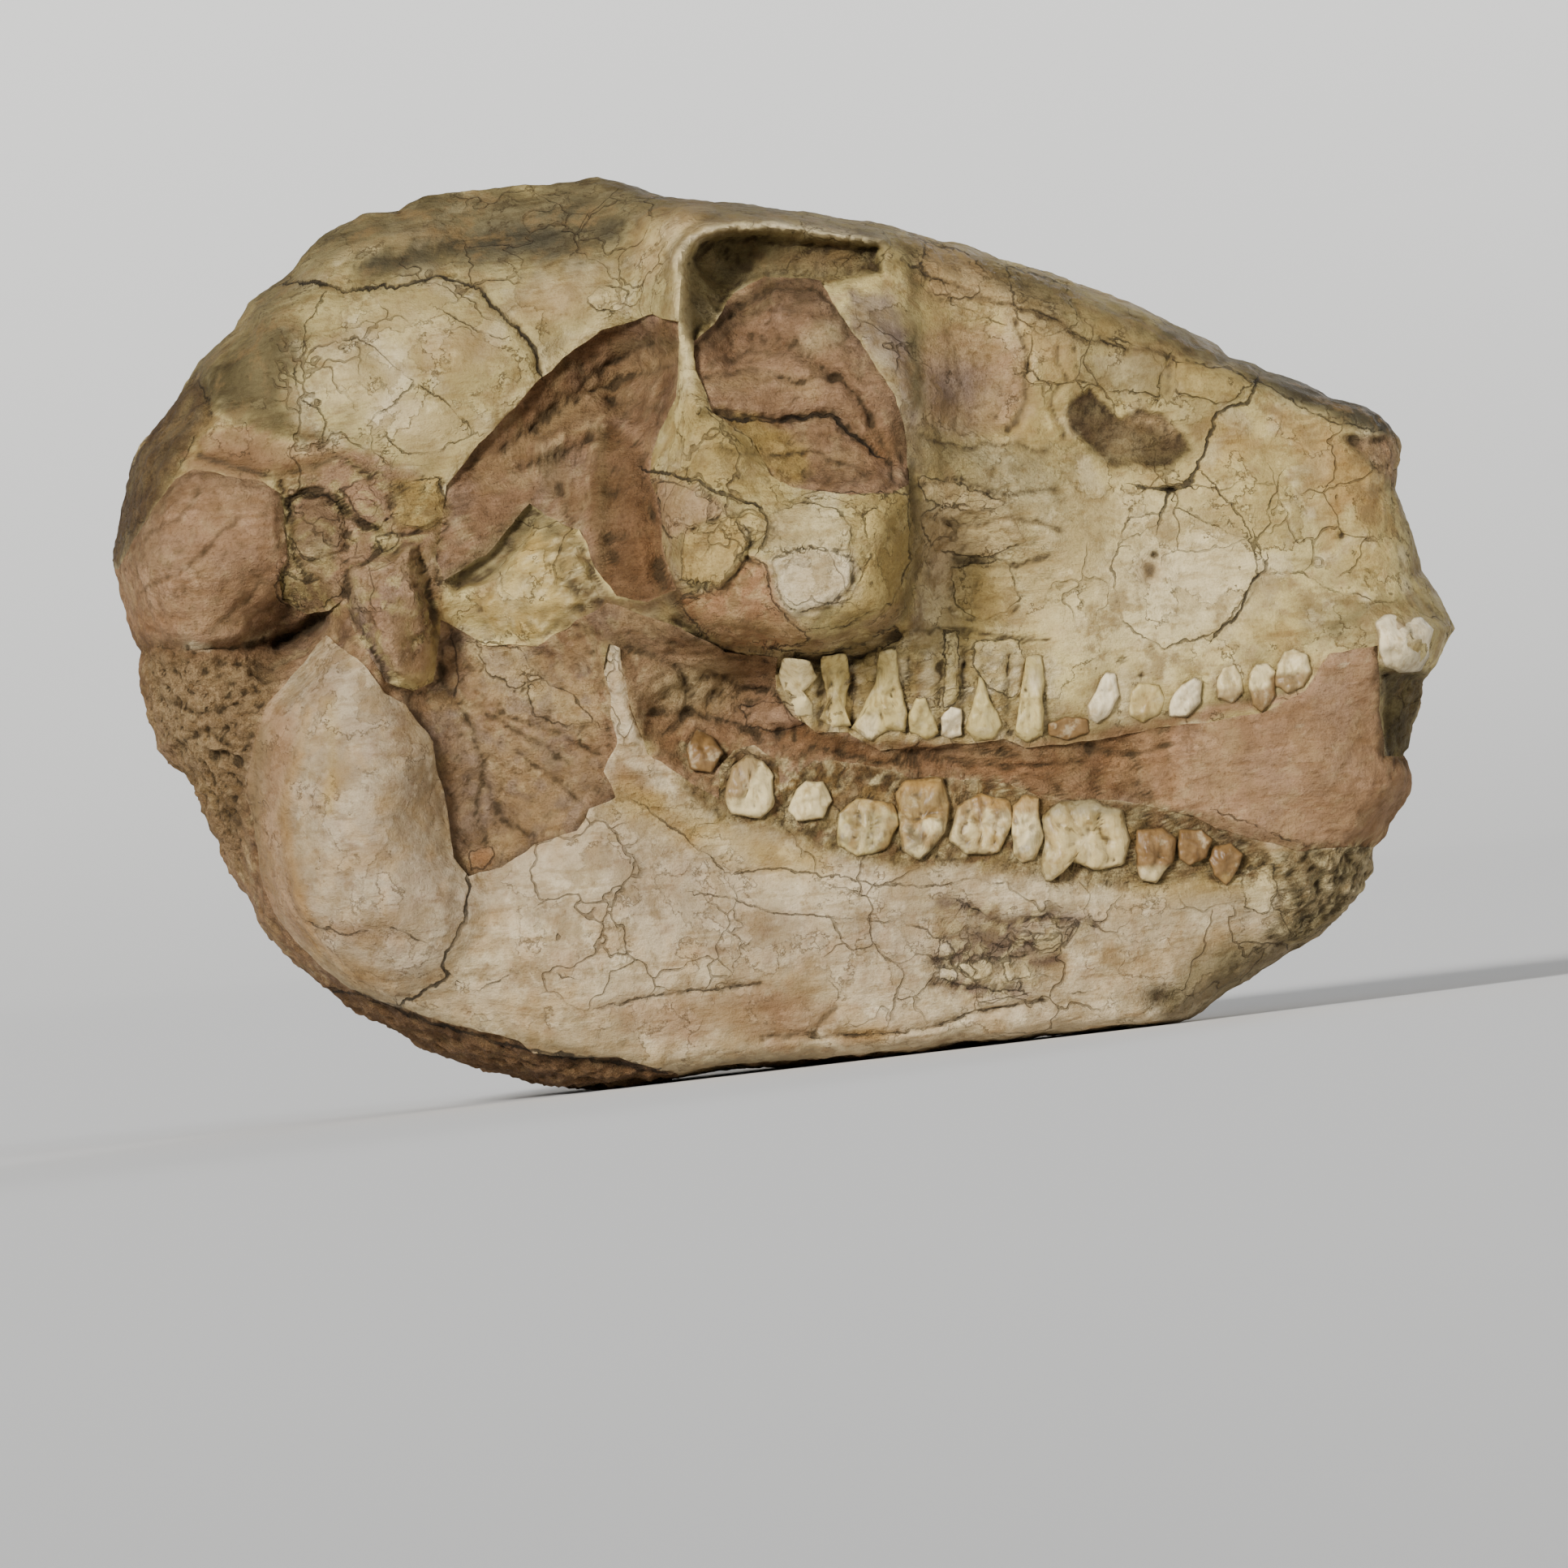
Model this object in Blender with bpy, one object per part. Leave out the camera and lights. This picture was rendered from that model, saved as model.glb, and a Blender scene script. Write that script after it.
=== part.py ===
"""Fossil oreodont skull: cranium, lower jaw, teeth and the rock that still holds them together.

The head is one form, drawn from its side outline and from half-widths across it. Bones and rock
are cut from copies of that form along their own outlines, and the teeth are pegs in sockets.
Side views are read in pixels of a reference picture, x to the right and y down, and PIXEL turns
them into metres. The snout points to +X and the right side of the head faces -Y. The skull
stands on its chin and on the rock between its jaws, so it is tipped from the side view by
the slope of the line under them.
"""
import math

import bmesh
import bpy
import numpy as np
from mathutils import Matrix

MM = 0.001
TAU = 2 * math.pi

# Driving dimensions
SKULL_LENGTH = 214.8 * MM
GAP = 0.3 * MM
TOOTH_ROOT = 6.0 * MM
ORBIT_FLOOR = 27.0 * MM
TEMPLE_FLOOR = 15.0 * MM
FLAT_DEPTH = 0.35 * MM
BEYOND = 90.0 * MM

# The side view, in pixels of the reference picture
OCCIPUT_X = 140
SNOUT_X = 1792
PIXEL = SKULL_LENGTH / (SNOUT_X - OCCIPUT_X)
HUB = np.array((950.0, 790.0))
REST_BACK = (790, 1338)
REST_FRONT = (1440, 1263)

# Facets that meet at less than this are joined
FLAT_ANGLE = math.radians(3)

# Rings of the form from a cheek to the outline, and how many of them lie inside the rim
RINGS = 11
FLAT_RINGS = 8
SMOOTH = 60.0

OUTLINE = [
    (140, 690), (149, 640), (162, 580), (205, 512), (262, 432), (330, 357), (400, 289), (445, 263),
    (490, 262), (520, 242), (600, 233), (680, 227), (735, 218), (800, 238), (880, 250),
    (1000, 265), (1120, 285), (1240, 320), (1360, 361), (1480, 418), (1545, 450), (1640, 491),
    (1700, 510), (1724, 545), (1719, 600), (1765, 725), (1792, 775), (1752, 840), (1735, 920),
    (1740, 955), (1729, 991), (1691, 1044), (1680, 1083), (1657, 1118), (1578, 1182), (1527, 1213),
    (1484, 1241), (1451, 1259), (1382, 1268), (1287, 1275), (1191, 1285), (1080, 1298),
    (1000, 1307), (883, 1318), (825, 1328), (795, 1338), (749, 1340), (691, 1336), (615, 1319),
    (554, 1299), (463, 1255), (387, 1203), (339, 1157), (320, 1136), (310, 1107), (277, 1050),
    (225, 957), (200, 921), (184, 877), (174, 839), (172, 806), (155, 748),
]

# Half-widths of the head in millimetres at points of the side view
HALF_WIDTHS = {
    "crest": [(450, 290, 9), (560, 262, 5), (680, 250, 6), (740, 245, 9), (400, 340, 16),
              (520, 310, 13), (640, 310, 14), (740, 310, 17)],
    "braincase": [(330, 420, 24), (430, 400, 23), (540, 390, 23), (640, 400, 23), (720, 370, 22),
                  (790, 340, 25), (300, 500, 28), (420, 480, 28), (540, 470, 28), (630, 470, 27),
                  (380, 560, 29), (480, 580, 30), (560, 570, 28)],
    "occiput": [(190, 560, 27), (230, 500, 27), (170, 640, 29), (260, 440, 24)],
    "nape rock": [(240, 640, 31), (220, 720, 31), (300, 700, 32), (180, 760, 27), (370, 785, 20),
                  (300, 800, 24), (230, 860, 26), (280, 930, 26), (270, 1000, 20)],
    "ear": [(400, 650, 31), (390, 720, 30), (480, 640, 33), (480, 720, 37), (505, 800, 37),
            (550, 820, 29)],
    "temple": [(700, 480, 22), (800, 440, 23), (760, 420, 20), (640, 540, 26), (560, 640, 32),
               (620, 640, 30), (790, 520, 30), (735, 620, 34), (775, 640, 40), (765, 700, 42),
               (680, 700, 37), (620, 740, 33), (800, 770, 44)],
    "orbit": [(842, 350, 36), (846, 420, 42), (850, 500, 46), (885, 325, 27), (940, 310, 27),
              (1010, 310, 28), (860, 275, 31), (960, 268, 30), (1050, 285, 30), (800, 270, 20),
              (900, 430, 38), (960, 400, 37), (1000, 470, 42), (950, 500, 44), (1060, 540, 44),
              (960, 560, 46)],
    "cheek": [(860, 620, 52), (880, 700, 54), (960, 720, 57), (1040, 720, 57), (1060, 650, 55),
              (1100, 640, 50), (960, 640, 53), (900, 775, 50), (1000, 780, 52), (1080, 755, 52),
              (1140, 660, 37), (1145, 740, 34), (930, 830, 33), (1050, 815, 35)],
    "snout": [(1100, 400, 33), (1060, 370, 33), (1130, 500, 38), (1120, 580, 40), (1190, 460, 27),
              (1200, 520, 28), (1250, 480, 26), (1130, 340, 25), (1230, 370, 22), (1300, 420, 23),
              (1380, 430, 19), (1200, 600, 33), (1300, 560, 26), (1390, 540, 20), (1470, 500, 18),
              (1300, 680, 28), (1400, 640, 22), (1450, 720, 22), (1520, 620, 19), (1560, 520, 14),
              (1600, 600, 16), (1640, 540, 12), (1560, 720, 19), (1650, 680, 16), (1620, 760, 19),
              (1700, 780, 19), (1745, 790, 17), (1700, 700, 14), (1740, 740, 12), (1700, 590, 11),
              (1720, 880, 12)],
    "upper tooth row": [(1000, 850, 35), (1100, 850, 34), (1200, 820, 32), (1280, 850, 29),
                        (1360, 840, 26), (1450, 830, 24), (1540, 820, 22)],
    "rock between the teeth": [(920, 900, 31), (1040, 925, 30), (1150, 930, 28), (1260, 940, 27),
                               (1400, 930, 23), (1520, 930, 21), (1640, 900, 19), (1690, 960, 15),
                               (1600, 1010, 18)],
    "cheek rock": [(600, 850, 31), (680, 820, 34), (620, 950, 32), (700, 950, 34), (600, 1030, 31),
                   (760, 870, 37), (820, 860, 35), (560, 980, 30)],
    "jaw angle": [(400, 830, 33), (440, 900, 39), (500, 950, 39), (420, 1000, 41), (500, 1040, 40),
                  (360, 960, 35), (330, 1000, 28), (340, 1090, 31), (430, 1100, 40),
                  (480, 1180, 38), (390, 1170, 33)],
    "jaw body": [(620, 1110, 37), (720, 1080, 37), (640, 1220, 36), (760, 1200, 36),
                 (820, 1060, 34), (900, 1050, 32), (920, 1160, 33), (1050, 1080, 31),
                 (1060, 1180, 30), (1200, 1100, 28), (1210, 1200, 26), (1350, 1110, 24),
                 (1350, 1200, 22), (1480, 1120, 20), (1470, 1200, 17), (1570, 1110, 16),
                 (1560, 1170, 14), (1640, 1090, 12)],
    "lower tooth row": [(890, 960, 34), (1000, 1000, 32), (1130, 1010, 30), (1240, 1020, 28),
                        (1330, 1030, 26), (1420, 1045, 23), (1500, 1060, 20)],
    "jaw edge": [(700, 1280, 33), (850, 1270, 31), (1000, 1260, 28), (1150, 1250, 26),
                 (1300, 1240, 22), (1420, 1240, 18), (480, 1265, 26), (600, 1300, 27),
                 (740, 1325, 28)],
}

# How the form turns in at its outline: a point of the outline, the turn's depth in millimetres,
# and its squareness, where 2 is round and 3 is nearly flat underneath
RIM = [
    (140, 690, 10, 2.2), (235, 470, 10, 2.0), (500, 250, 6, 1.6), (740, 218, 7, 1.8),
    (960, 259, 8, 2.5), (1200, 308, 9, 2.2), (1500, 426, 7, 2.2), (1722, 560, 6, 2.2),
    (1792, 775, 8, 2.0), (1735, 920, 6, 2.2), (1691, 1044, 7, 2.2), (1510, 1222, 6, 2.4),
    (1400, 1266, 5, 3.2), (1000, 1307, 5, 3.2), (760, 1340, 5, 3.4), (500, 1276, 7, 2.4),
    (300, 1080, 9, 2.2), (200, 921, 10, 2.2),
]

# The lower border of the cranium, from the nape to the front of the upper jaw
CRANIUM_BORDER = [
    (150, 702), (180, 650), (222, 592), (245, 582), (330, 597), (352, 612), (358, 690), (347, 715),
    (352, 742), (380, 757), (410, 752), (432, 738), (442, 780), (480, 842), (513, 853), (537, 842),
    (548, 765), (600, 795), (665, 797), (750, 745), (840, 775), (893, 805), (958, 812), (955, 850),
    (975, 885), (1008, 902), (1045, 903), (1085, 924), (1165, 918), (1235, 911), (1260, 922),
    (1335, 914), (1425, 897), (1480, 890), (1560, 876), (1605, 852), (1634, 806), (1692, 796),
    (1703, 932), (1731, 931),
]

# One side of the lower jaw, clockwise from the top of its hinge end
JAW_OUTLINE = [
    (405, 784), (445, 812), (478, 853), (503, 867), (536, 915), (556, 1010), (562, 1055),
    (580, 1079), (620, 1067), (661, 1040), (714, 1024), (728, 996), (762, 984), (746, 950),
    (762, 915), (747, 825), (750, 797), (765, 800), (775, 860), (800, 930), (850, 962), (885, 985),
    (888, 945), (905, 925), (930, 919), (957, 936), (962, 975), (982, 952), (1003, 936),
    (1050, 940), (1120, 956), (1190, 960), (1245, 966), (1285, 985), (1375, 985), (1467, 1004),
    (1498, 1022), (1596, 1047), (1688, 1042), (1800, 1050), (1800, 1400), (850, 1400),
    (836, 1321), (760, 1302), (660, 1297), (640, 1280), (523, 1250), (490, 1238), (440, 1218),
    (240, 1217), (240, 1085), (302, 1080), (309, 950), (335, 865), (368, 830),
]

# The rock between the two sides of the lower jaw: places along it and half its width there
TONGUE = [(200, 24), (480, 27), (800, 24), (1100, 18), (1300, 12), (1390, 7)]
TONGUE_TOP = 620

ORBIT_ROCK = [
    (855, 425), (880, 405), (905, 365), (940, 345), (1010, 350), (1040, 400), (1100, 490),
    (1116, 545), (1118, 600), (1100, 612), (1050, 615), (975, 605), (950, 592), (925, 545),
    (880, 515), (858, 460),
]

TEMPLE_ROCK = [
    (552, 600), (600, 543), (640, 500), (668, 468), (715, 430), (740, 410), (805, 392), (838, 403),
    (836, 495), (812, 540), (800, 588), (817, 634), (820, 694), (836, 731), (800, 745), (762, 738),
    (735, 700), (716, 655), (673, 636), (656, 622), (602, 685), (552, 716), (541, 690), (548, 655),
]

# Rock that fills a hollow on each side of the head: name, outline, and where its floor lies
FILLINGS = [
    ("orbit_matrix", ORBIT_ROCK, ORBIT_FLOOR),
    ("temple_matrix", TEMPLE_ROCK, TEMPLE_FLOOR),
]

# Teeth: centre in the side view, width, height, lean in degrees, and how far each stands out
UPPER_TEETH = [
    ("upper_canine", 1732, 792, 56, 62, 0, 1.5),
    ("upper_premolar_1", 1588, 825, 40, 46, -10, 1.8),
    ("upper_premolar_2", 1550, 845, 28, 46, -12, 1.5),
    ("upper_premolar_3_front", 1510, 841, 28, 44, -8, 1.5),
    ("upper_premolar_3_back", 1456, 860, 38, 52, -35, 1.6),
    ("upper_premolar_4_front", 1408, 864, 32, 46, 10, 1.2),
    ("upper_premolar_4_back", 1356, 862, 32, 60, -25, 1.8),
    ("upper_molar_1_front", 1314, 894, 40, 24, 0, 1.0),
    ("upper_molar_1_back", 1266, 864, 36, 98, 0, 2.2),
    ("upper_molar_2_front", 1211, 869, 44, 76, 0, 2.0),
    ("upper_molar_2_root", 1172, 893, 20, 34, 0, 1.6),
    ("upper_molar_2_back", 1136, 882, 32, 56, 12, 1.6),
    ("upper_molar_3_front", 1083, 865, 58, 100, 0, 2.4),
    ("upper_molar_3_back", 1028, 852, 38, 84, 6, 2.0),
    ("upper_molar_3_heel", 983, 845, 32, 70, 8, 1.6),
]
BURIED_TEETH = [
    ("lower_molar_3_heel", 866, 926, 38, 52, 0, 1.6),
]
LOWER_TEETH = [
    ("lower_molar_3_back", 922, 970, 54, 74, -20, 2.2),
    ("lower_molar_3_front", 997, 989, 48, 52, -25, 1.8),
    ("lower_molar_2_back", 1070, 1014, 64, 70, 0, 1.6),
    ("lower_molar_2_front", 1136, 1014, 58, 86, 0, 2.4),
    ("lower_molar_1_back", 1208, 1013, 64, 76, 0, 1.8),
    ("lower_molar_1_front", 1262, 1024, 34, 84, 0, 1.6),
    ("lower_premolar_4", 1335, 1036, 92, 88, 0, 2.6),
    ("lower_premolar_3", 1419, 1056, 46, 60, 0, 2.0),
    ("lower_premolar_2", 1467, 1043, 34, 40, 0, 1.6),
    ("lower_premolar_1", 1507, 1064, 34, 46, 0, 1.6),
]
TOOTH_SIDES = 7
TOOTH_TAPER = 0.72

# Finishes: colour, roughness
BONE = ((0.56, 0.50, 0.37), 0.62)
JAW_BONE = ((0.60, 0.53, 0.42), 0.60)
ROCK = ((0.42, 0.27, 0.18), 0.88)
ENAMEL = ((0.62, 0.55, 0.42), 0.38)
BROWN_ENAMEL = ((0.30, 0.14, 0.06), 0.35)
BROWN_TEETH = ("upper_molar_1_front", "lower_molar_3_heel", "lower_premolar_3",
               "lower_premolar_2", "lower_premolar_1")


def kernel(first, second):
    """Smooth distance between every point of one set and every point of another."""
    apart = first[:, None, :] - second[None, :, :]
    return np.sqrt((apart ** 2).sum(axis=2) + SMOOTH ** 2)


def polar(points):
    """Angle about the hub, anticlockwise from the snout, and distance from it, in pixels."""
    offset = (np.asarray(points, float) - HUB) * (1, -1)
    return np.arctan2(offset[:, 1], offset[:, 0]) % TAU, np.hypot(offset[:, 0], offset[:, 1])


def sorted_outline():
    """The outline's corners as angle and distance, in order of angle."""
    angle, distance = polar(OUTLINE)
    order = np.argsort(angle)
    return angle[order], distance[order]


CORNER_ANGLE, CORNER_DISTANCE = sorted_outline()
WIDTH_POINTS = np.array([row[:2] for group in HALF_WIDTHS.values() for row in group], float)
WIDTHS = np.array([row[2] for group in HALF_WIDTHS.values() for row in group], float)
WIDTH_WEIGHTS = np.linalg.solve(kernel(WIDTH_POINTS, WIDTH_POINTS), WIDTHS - WIDTHS.mean())


def edge_distance(angle):
    """Distance from the hub to the outline along each angle, straight between its corners."""
    count = len(CORNER_ANGLE)
    after = np.searchsorted(CORNER_ANGLE, angle) % count
    before = (after - 1) % count
    corners = np.exp(1j * CORNER_ANGLE) * CORNER_DISTANCE
    start, step = corners[before], corners[after] - corners[before]
    ray = np.exp(1j * angle)
    along = -(np.conj(ray) * start).imag / (np.conj(ray) * step).imag
    return np.abs(start + step * along)


def rim_at(angle):
    """Depth of the rim's turn, in pixels, and its squareness, at each angle."""
    angles, _ = polar([row[:2] for row in RIM])
    depths = [row[2] * MM / PIXEL for row in RIM]
    powers = [row[3] for row in RIM]
    return np.interp(angle, angles, depths, period=TAU), np.interp(angle, angles, powers, period=TAU)


def half_width(points):
    """Half-width of the head, in metres, at points of the side view."""
    points = np.atleast_2d(np.asarray(points, float))
    angle, distance = polar(points)
    depth, power = rim_at(angle)
    inwards = np.clip(1 - (edge_distance(angle) - distance) / depth, 0, 1)
    across = WIDTHS.mean() + kernel(points, WIDTH_POINTS) @ WIDTH_WEIGHTS
    return across * (1 - inwards ** power) ** (1 / power) * MM


def side(point):
    """A point of the side view as x and z in metres from the hub."""
    return (point[0] - HUB[0]) * PIXEL, (HUB[1] - point[1]) * PIXEL


def clear_scene():
    for item in list(bpy.data.objects):
        bpy.data.objects.remove(item, do_unlink=True)


def new_collection(name):
    group = bpy.data.collections.new(name)
    bpy.context.scene.collection.children.link(group)
    return group


def new_material(name, finish):
    colour, roughness = finish
    material = bpy.data.materials.new(name)
    material.use_nodes = True
    shader = material.node_tree.nodes["Principled BSDF"]
    shader.inputs["Base Color"].default_value = (*colour, 1)
    shader.inputs["Roughness"].default_value = roughness
    material.diffuse_color = (*colour, 1)
    return material


def add_object(name, mesh, group, rest, material=None):
    item = bpy.data.objects.new(name, mesh)
    item.parent = rest
    group.objects.link(item)
    if material:
        mesh.materials.append(material)
    else:
        item.hide_render = True
        item.display_type = "WIRE"
    return item


def skull_form():
    """The whole head as one closed mesh: a sphere with its poles on the cheeks, moved into shape."""
    mesh = bpy.data.meshes.new("skull form")
    form = bmesh.new()
    count = len(OUTLINE)
    bmesh.ops.create_uvsphere(form, u_segments=count, v_segments=2 * RINGS, radius=1)
    verts = list(form.verts)
    unit = np.array([vert.co[:] for vert in verts])
    turn = np.round(np.arctan2(unit[:, 1], unit[:, 0]) % TAU / TAU * count).astype(int) % count
    height = np.arcsin(np.clip(np.abs(unit[:, 2]), 0, 1))
    ring = np.round((1 - height / (TAU / 4)) * RINGS)
    angle, edge = CORNER_ANGLE[turn], CORNER_DISTANCE[turn]
    depth, power = rim_at(angle)
    turned = np.clip((ring - FLAT_RINGS) / (RINGS - FLAT_RINGS), 0, 1) * TAU / 4
    inner = (edge - depth) * np.minimum(ring / FLAT_RINGS, 1)
    outer = depth * np.sin(turned) ** (2 / power)
    reach = inner + outer
    points = HUB + np.column_stack((np.cos(angle), -np.sin(angle))) * reach[:, None]
    width = half_width(points)
    width[ring == RINGS] = 0
    for vert, point, across, level in zip(verts, points, width, unit[:, 2]):
        x, z = side(point)
        vert.co = (x, -math.copysign(across, level), z)
    bmesh.ops.triangulate(form, faces=form.faces)
    form.to_mesh(mesh)
    form.free()
    return mesh


def grow(outline, by):
    """An outline with each corner moved out by a distance in pixels; clockwise as seen."""
    points = np.array(outline, float)
    steps = np.roll(points, -1, axis=0) - points
    steps /= np.linalg.norm(steps, axis=1)[:, None]
    normals = np.column_stack((steps[:, 1], -steps[:, 0]))
    corner = normals + np.roll(normals, 1, axis=0)
    corner /= np.maximum((corner ** 2).sum(axis=1), 1.0)[:, None] / 2
    return points + corner * by


def flat_outline(name, outline, half_depth):
    """A closed flat outline of x and y as a solid plate, welded, with its middle at z = 0."""
    curve = bpy.data.curves.new(name, "CURVE")
    curve.dimensions = "2D"
    curve.fill_mode = "BOTH"
    curve.extrude = half_depth
    spline = curve.splines.new("POLY")
    spline.points.add(len(outline) - 1)
    for point, (x, y) in zip(spline.points, outline):
        point.co = (x, y, 0, 1)
    spline.use_cyclic_u = True
    drawn = bpy.data.objects.new(name, curve)
    bpy.context.scene.collection.objects.link(drawn)
    graph = bpy.context.evaluated_depsgraph_get()
    mesh = bpy.data.meshes.new_from_object(drawn.evaluated_get(graph))
    bpy.data.objects.remove(drawn, do_unlink=True)
    plate = bmesh.new()
    plate.from_mesh(mesh)
    bmesh.ops.remove_doubles(plate, verts=plate.verts, dist=1e-6)
    plate.to_mesh(mesh)
    plate.free()
    return mesh


def side_prism(name, outline, near, far, group, rest):
    """A plate with a side-view outline, from y = near to y = far."""
    mesh = flat_outline(name, [side(point) for point in outline], abs(far - near) / 2)
    upright = Matrix.Rotation(TAU / 4, 4, "X")
    mesh.transform(Matrix.Translation((0, (near + far) / 2, 0)) @ upright)
    return add_object(name, mesh, group, rest)


def tongue_prism(name, spare, group, rest):
    """The space between the two sides of the lower jaw, drawn from above."""
    right = [(side((x, 0))[0], -(width * MM + spare)) for x, width in TONGUE]
    right[-1] = (right[-1][0] + spare, right[-1][1])
    left = [(x, -y) for x, y in reversed(right)]
    top = side((0, TONGUE_TOP))[1]
    mesh = flat_outline(name, right + left, BEYOND / 2)
    mesh.transform(Matrix.Translation((0, 0, top - BEYOND / 2)))
    return add_object(name, mesh, group, rest)


def boolean(item, operation, cutter):
    step = item.modifiers.new(operation.lower(), "BOOLEAN")
    step.operation = operation
    step.solver = "EXACT"
    if isinstance(cutter, bpy.types.Collection):
        step.operand_type = "COLLECTION"
        step.collection = cutter
    else:
        step.object = cutter


def merge_flats(item):
    """Joins neighbouring facets that lie almost in one plane."""
    step = item.modifiers.new("flats", "DECIMATE")
    step.decimate_type = "DISSOLVE"
    step.angle_limit = FLAT_ANGLE


def peg(width, height, lean, centre, near, far, taper, mirrored):
    """A peg with its axis across the head, from y = -near out to y = -far."""
    mesh = bpy.data.meshes.new("peg")
    form = bmesh.new()
    bmesh.ops.create_cone(form, cap_ends=True, segments=TOOTH_SIDES, radius1=0.5,
                          radius2=0.5 * taper, depth=1)
    shape = Matrix.Diagonal((width, height, far - near, 1))
    upright = Matrix.Rotation(TAU / 4, 4, "X")
    leaning = Matrix.Rotation(math.radians(lean), 4, "Y")
    place = Matrix.Translation((centre[0], -(near + far) / 2, centre[1]))
    form.transform(place @ leaning @ upright @ shape)
    if mirrored:
        form.transform(Matrix.Diagonal((1, -1, 1, 1)))
        bmesh.ops.reverse_faces(form, faces=form.faces)
    bmesh.ops.triangulate(form, faces=form.faces)
    form.to_mesh(mesh)
    form.free()
    return mesh


def add_tooth(row, mirrored, group, sockets, rest, material):
    """One tooth, and the straight-sided cutter of a socket that clears it all round."""
    name, px, py, width, height, lean, proud = row
    centre = side((px, py))
    surface = float(half_width((px, py))[0])
    ending = "left" if mirrored else "right"
    wide, high = width * PIXEL - 2 * GAP, height * PIXEL - 2 * GAP
    near, far = surface - TOOTH_ROOT, surface + proud * MM
    tooth = peg(wide, high, lean, centre, near, far, TOOTH_TAPER, mirrored)
    add_object(f"{name}_{ending}", tooth, group, rest, material)
    socket = peg(wide + 2 * GAP, high + 2 * GAP, lean, centre, near - GAP, far + TOOTH_ROOT, 1,
                 mirrored)
    add_object(f"{name}_{ending} socket", socket, sockets, rest)


def add_teeth(rows, holder, group, rest):
    """Both sides' teeth of some rows, and their sockets in the piece that holds them."""
    sockets = new_collection(f"{holder.name} sockets")
    for row in rows:
        finish = BROWN_ENAMEL if row[0] in BROWN_TEETH else ENAMEL
        for mirrored in (False, True):
            add_tooth(row, mirrored, group, sockets, rest, new_material(row[0], finish))
    boolean(holder, "DIFFERENCE", sockets)


def rest_frame():
    """An empty that tips the side view onto the skull's resting line and centres it."""
    rise = REST_BACK[1] - REST_FRONT[1]
    tip = math.atan2(rise, REST_FRONT[0] - REST_BACK[0])
    turn = Matrix.Rotation(tip, 4, "Y")
    corners = [turn @ Matrix.Translation((x, 0, z)).translation for x, z in map(side, OUTLINE)]
    middle = (min(c.x for c in corners) + max(c.x for c in corners)) / 2
    lowest = min(c.z for c in corners)
    rest = bpy.data.objects.new("rest", None)
    bpy.context.scene.collection.objects.link(rest)
    rest.rotation_euler = (0, tip, 0)
    rest.location = (-middle, 0, -lowest - FLAT_DEPTH)
    return rest


def floor_cutter(group):
    """A block under the resting plane, which leaves flats where the skull stands."""
    mesh = bpy.data.meshes.new("floor")
    block = bmesh.new()
    bmesh.ops.create_cube(block, size=1)
    size = Matrix.Diagonal((4 * BEYOND, 2 * BEYOND, BEYOND, 1))
    block.transform(Matrix.Translation((0, 0, -BEYOND / 2)) @ size)
    block.to_mesh(mesh)
    block.free()
    return add_object("floor", mesh, group, None)


def main():
    clear_scene()
    fossil = new_collection("fossil oreodont skull")
    cutters = new_collection("cutters")
    rest = rest_frame()
    form = skull_form()
    gap = GAP / PIXEL

    floor = floor_cutter(cutters)
    cranium_outline = CRANIUM_BORDER[::-1] + [(40, 702), (40, 100), (1900, 100), (1900, 931)]
    head = side_prism("cranium outline", cranium_outline, -BEYOND, BEYOND, cutters, rest)
    head_space = side_prism("cranium space", grow(cranium_outline, gap), -BEYOND, BEYOND, cutters,
                            rest)
    jaw = side_prism("jaw outline", JAW_OUTLINE, -BEYOND, BEYOND, cutters, rest)
    jaw_space = side_prism("jaw space", grow(JAW_OUTLINE, gap), -BEYOND, BEYOND, cutters, rest)
    tongue = tongue_prism("tongue", 0, cutters, rest)
    tongue_space = tongue_prism("tongue space", GAP, cutters, rest)
    boolean(jaw_space, "DIFFERENCE", tongue)

    cranium = add_object("cranium", form.copy(), fossil, rest, new_material("cranium", BONE))
    boolean(cranium, "INTERSECT", head)
    mandible = add_object("mandible", form.copy(), fossil, rest,
                          new_material("mandible", JAW_BONE))
    boolean(mandible, "INTERSECT", jaw)
    boolean(mandible, "DIFFERENCE", tongue_space)
    rock = add_object("jaw_matrix", form.copy(), fossil, rest, new_material("jaw_matrix", ROCK))
    boolean(rock, "DIFFERENCE", head_space)
    boolean(rock, "DIFFERENCE", jaw_space)

    for name, outline, level in FILLINGS:
        for ending, facing in (("right", -1), ("left", 1)):
            near, far = facing * level, facing * BEYOND
            pocket = side_prism(f"{name}_{ending} pocket", grow(outline, gap), near, far, cutters,
                                rest)
            boolean(cranium, "DIFFERENCE", pocket)
            plug = side_prism(f"{name}_{ending} plug", outline, near + facing * GAP, far, cutters,
                              rest)
            filling = add_object(f"{name}_{ending}", form.copy(), fossil, rest,
                                 new_material(f"{name}_{ending}", ROCK))
            boolean(filling, "INTERSECT", plug)

    add_teeth(UPPER_TEETH, cranium, fossil, rest)
    add_teeth(LOWER_TEETH, mandible, fossil, rest)
    add_teeth(BURIED_TEETH, rock, fossil, rest)
    for item in (cranium, mandible, rock):
        merge_flats(item)
    boolean(mandible, "DIFFERENCE", floor)
    boolean(rock, "DIFFERENCE", floor)


main()
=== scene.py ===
"""Looks of the fossil oreodont skull: weathered bone, the rock that fills it, and its teeth.

The head is one form, drawn from its side outline and from half-widths across it. Each bone and
each mass of rock is cut from its own copy of that form, with its own relief, and painted with
patches and cracks drawn on the side view. Side views are in pixels of a reference picture, x to
the right and y down, and PIXEL turns them into metres.
"""
import math
from functools import lru_cache

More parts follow.
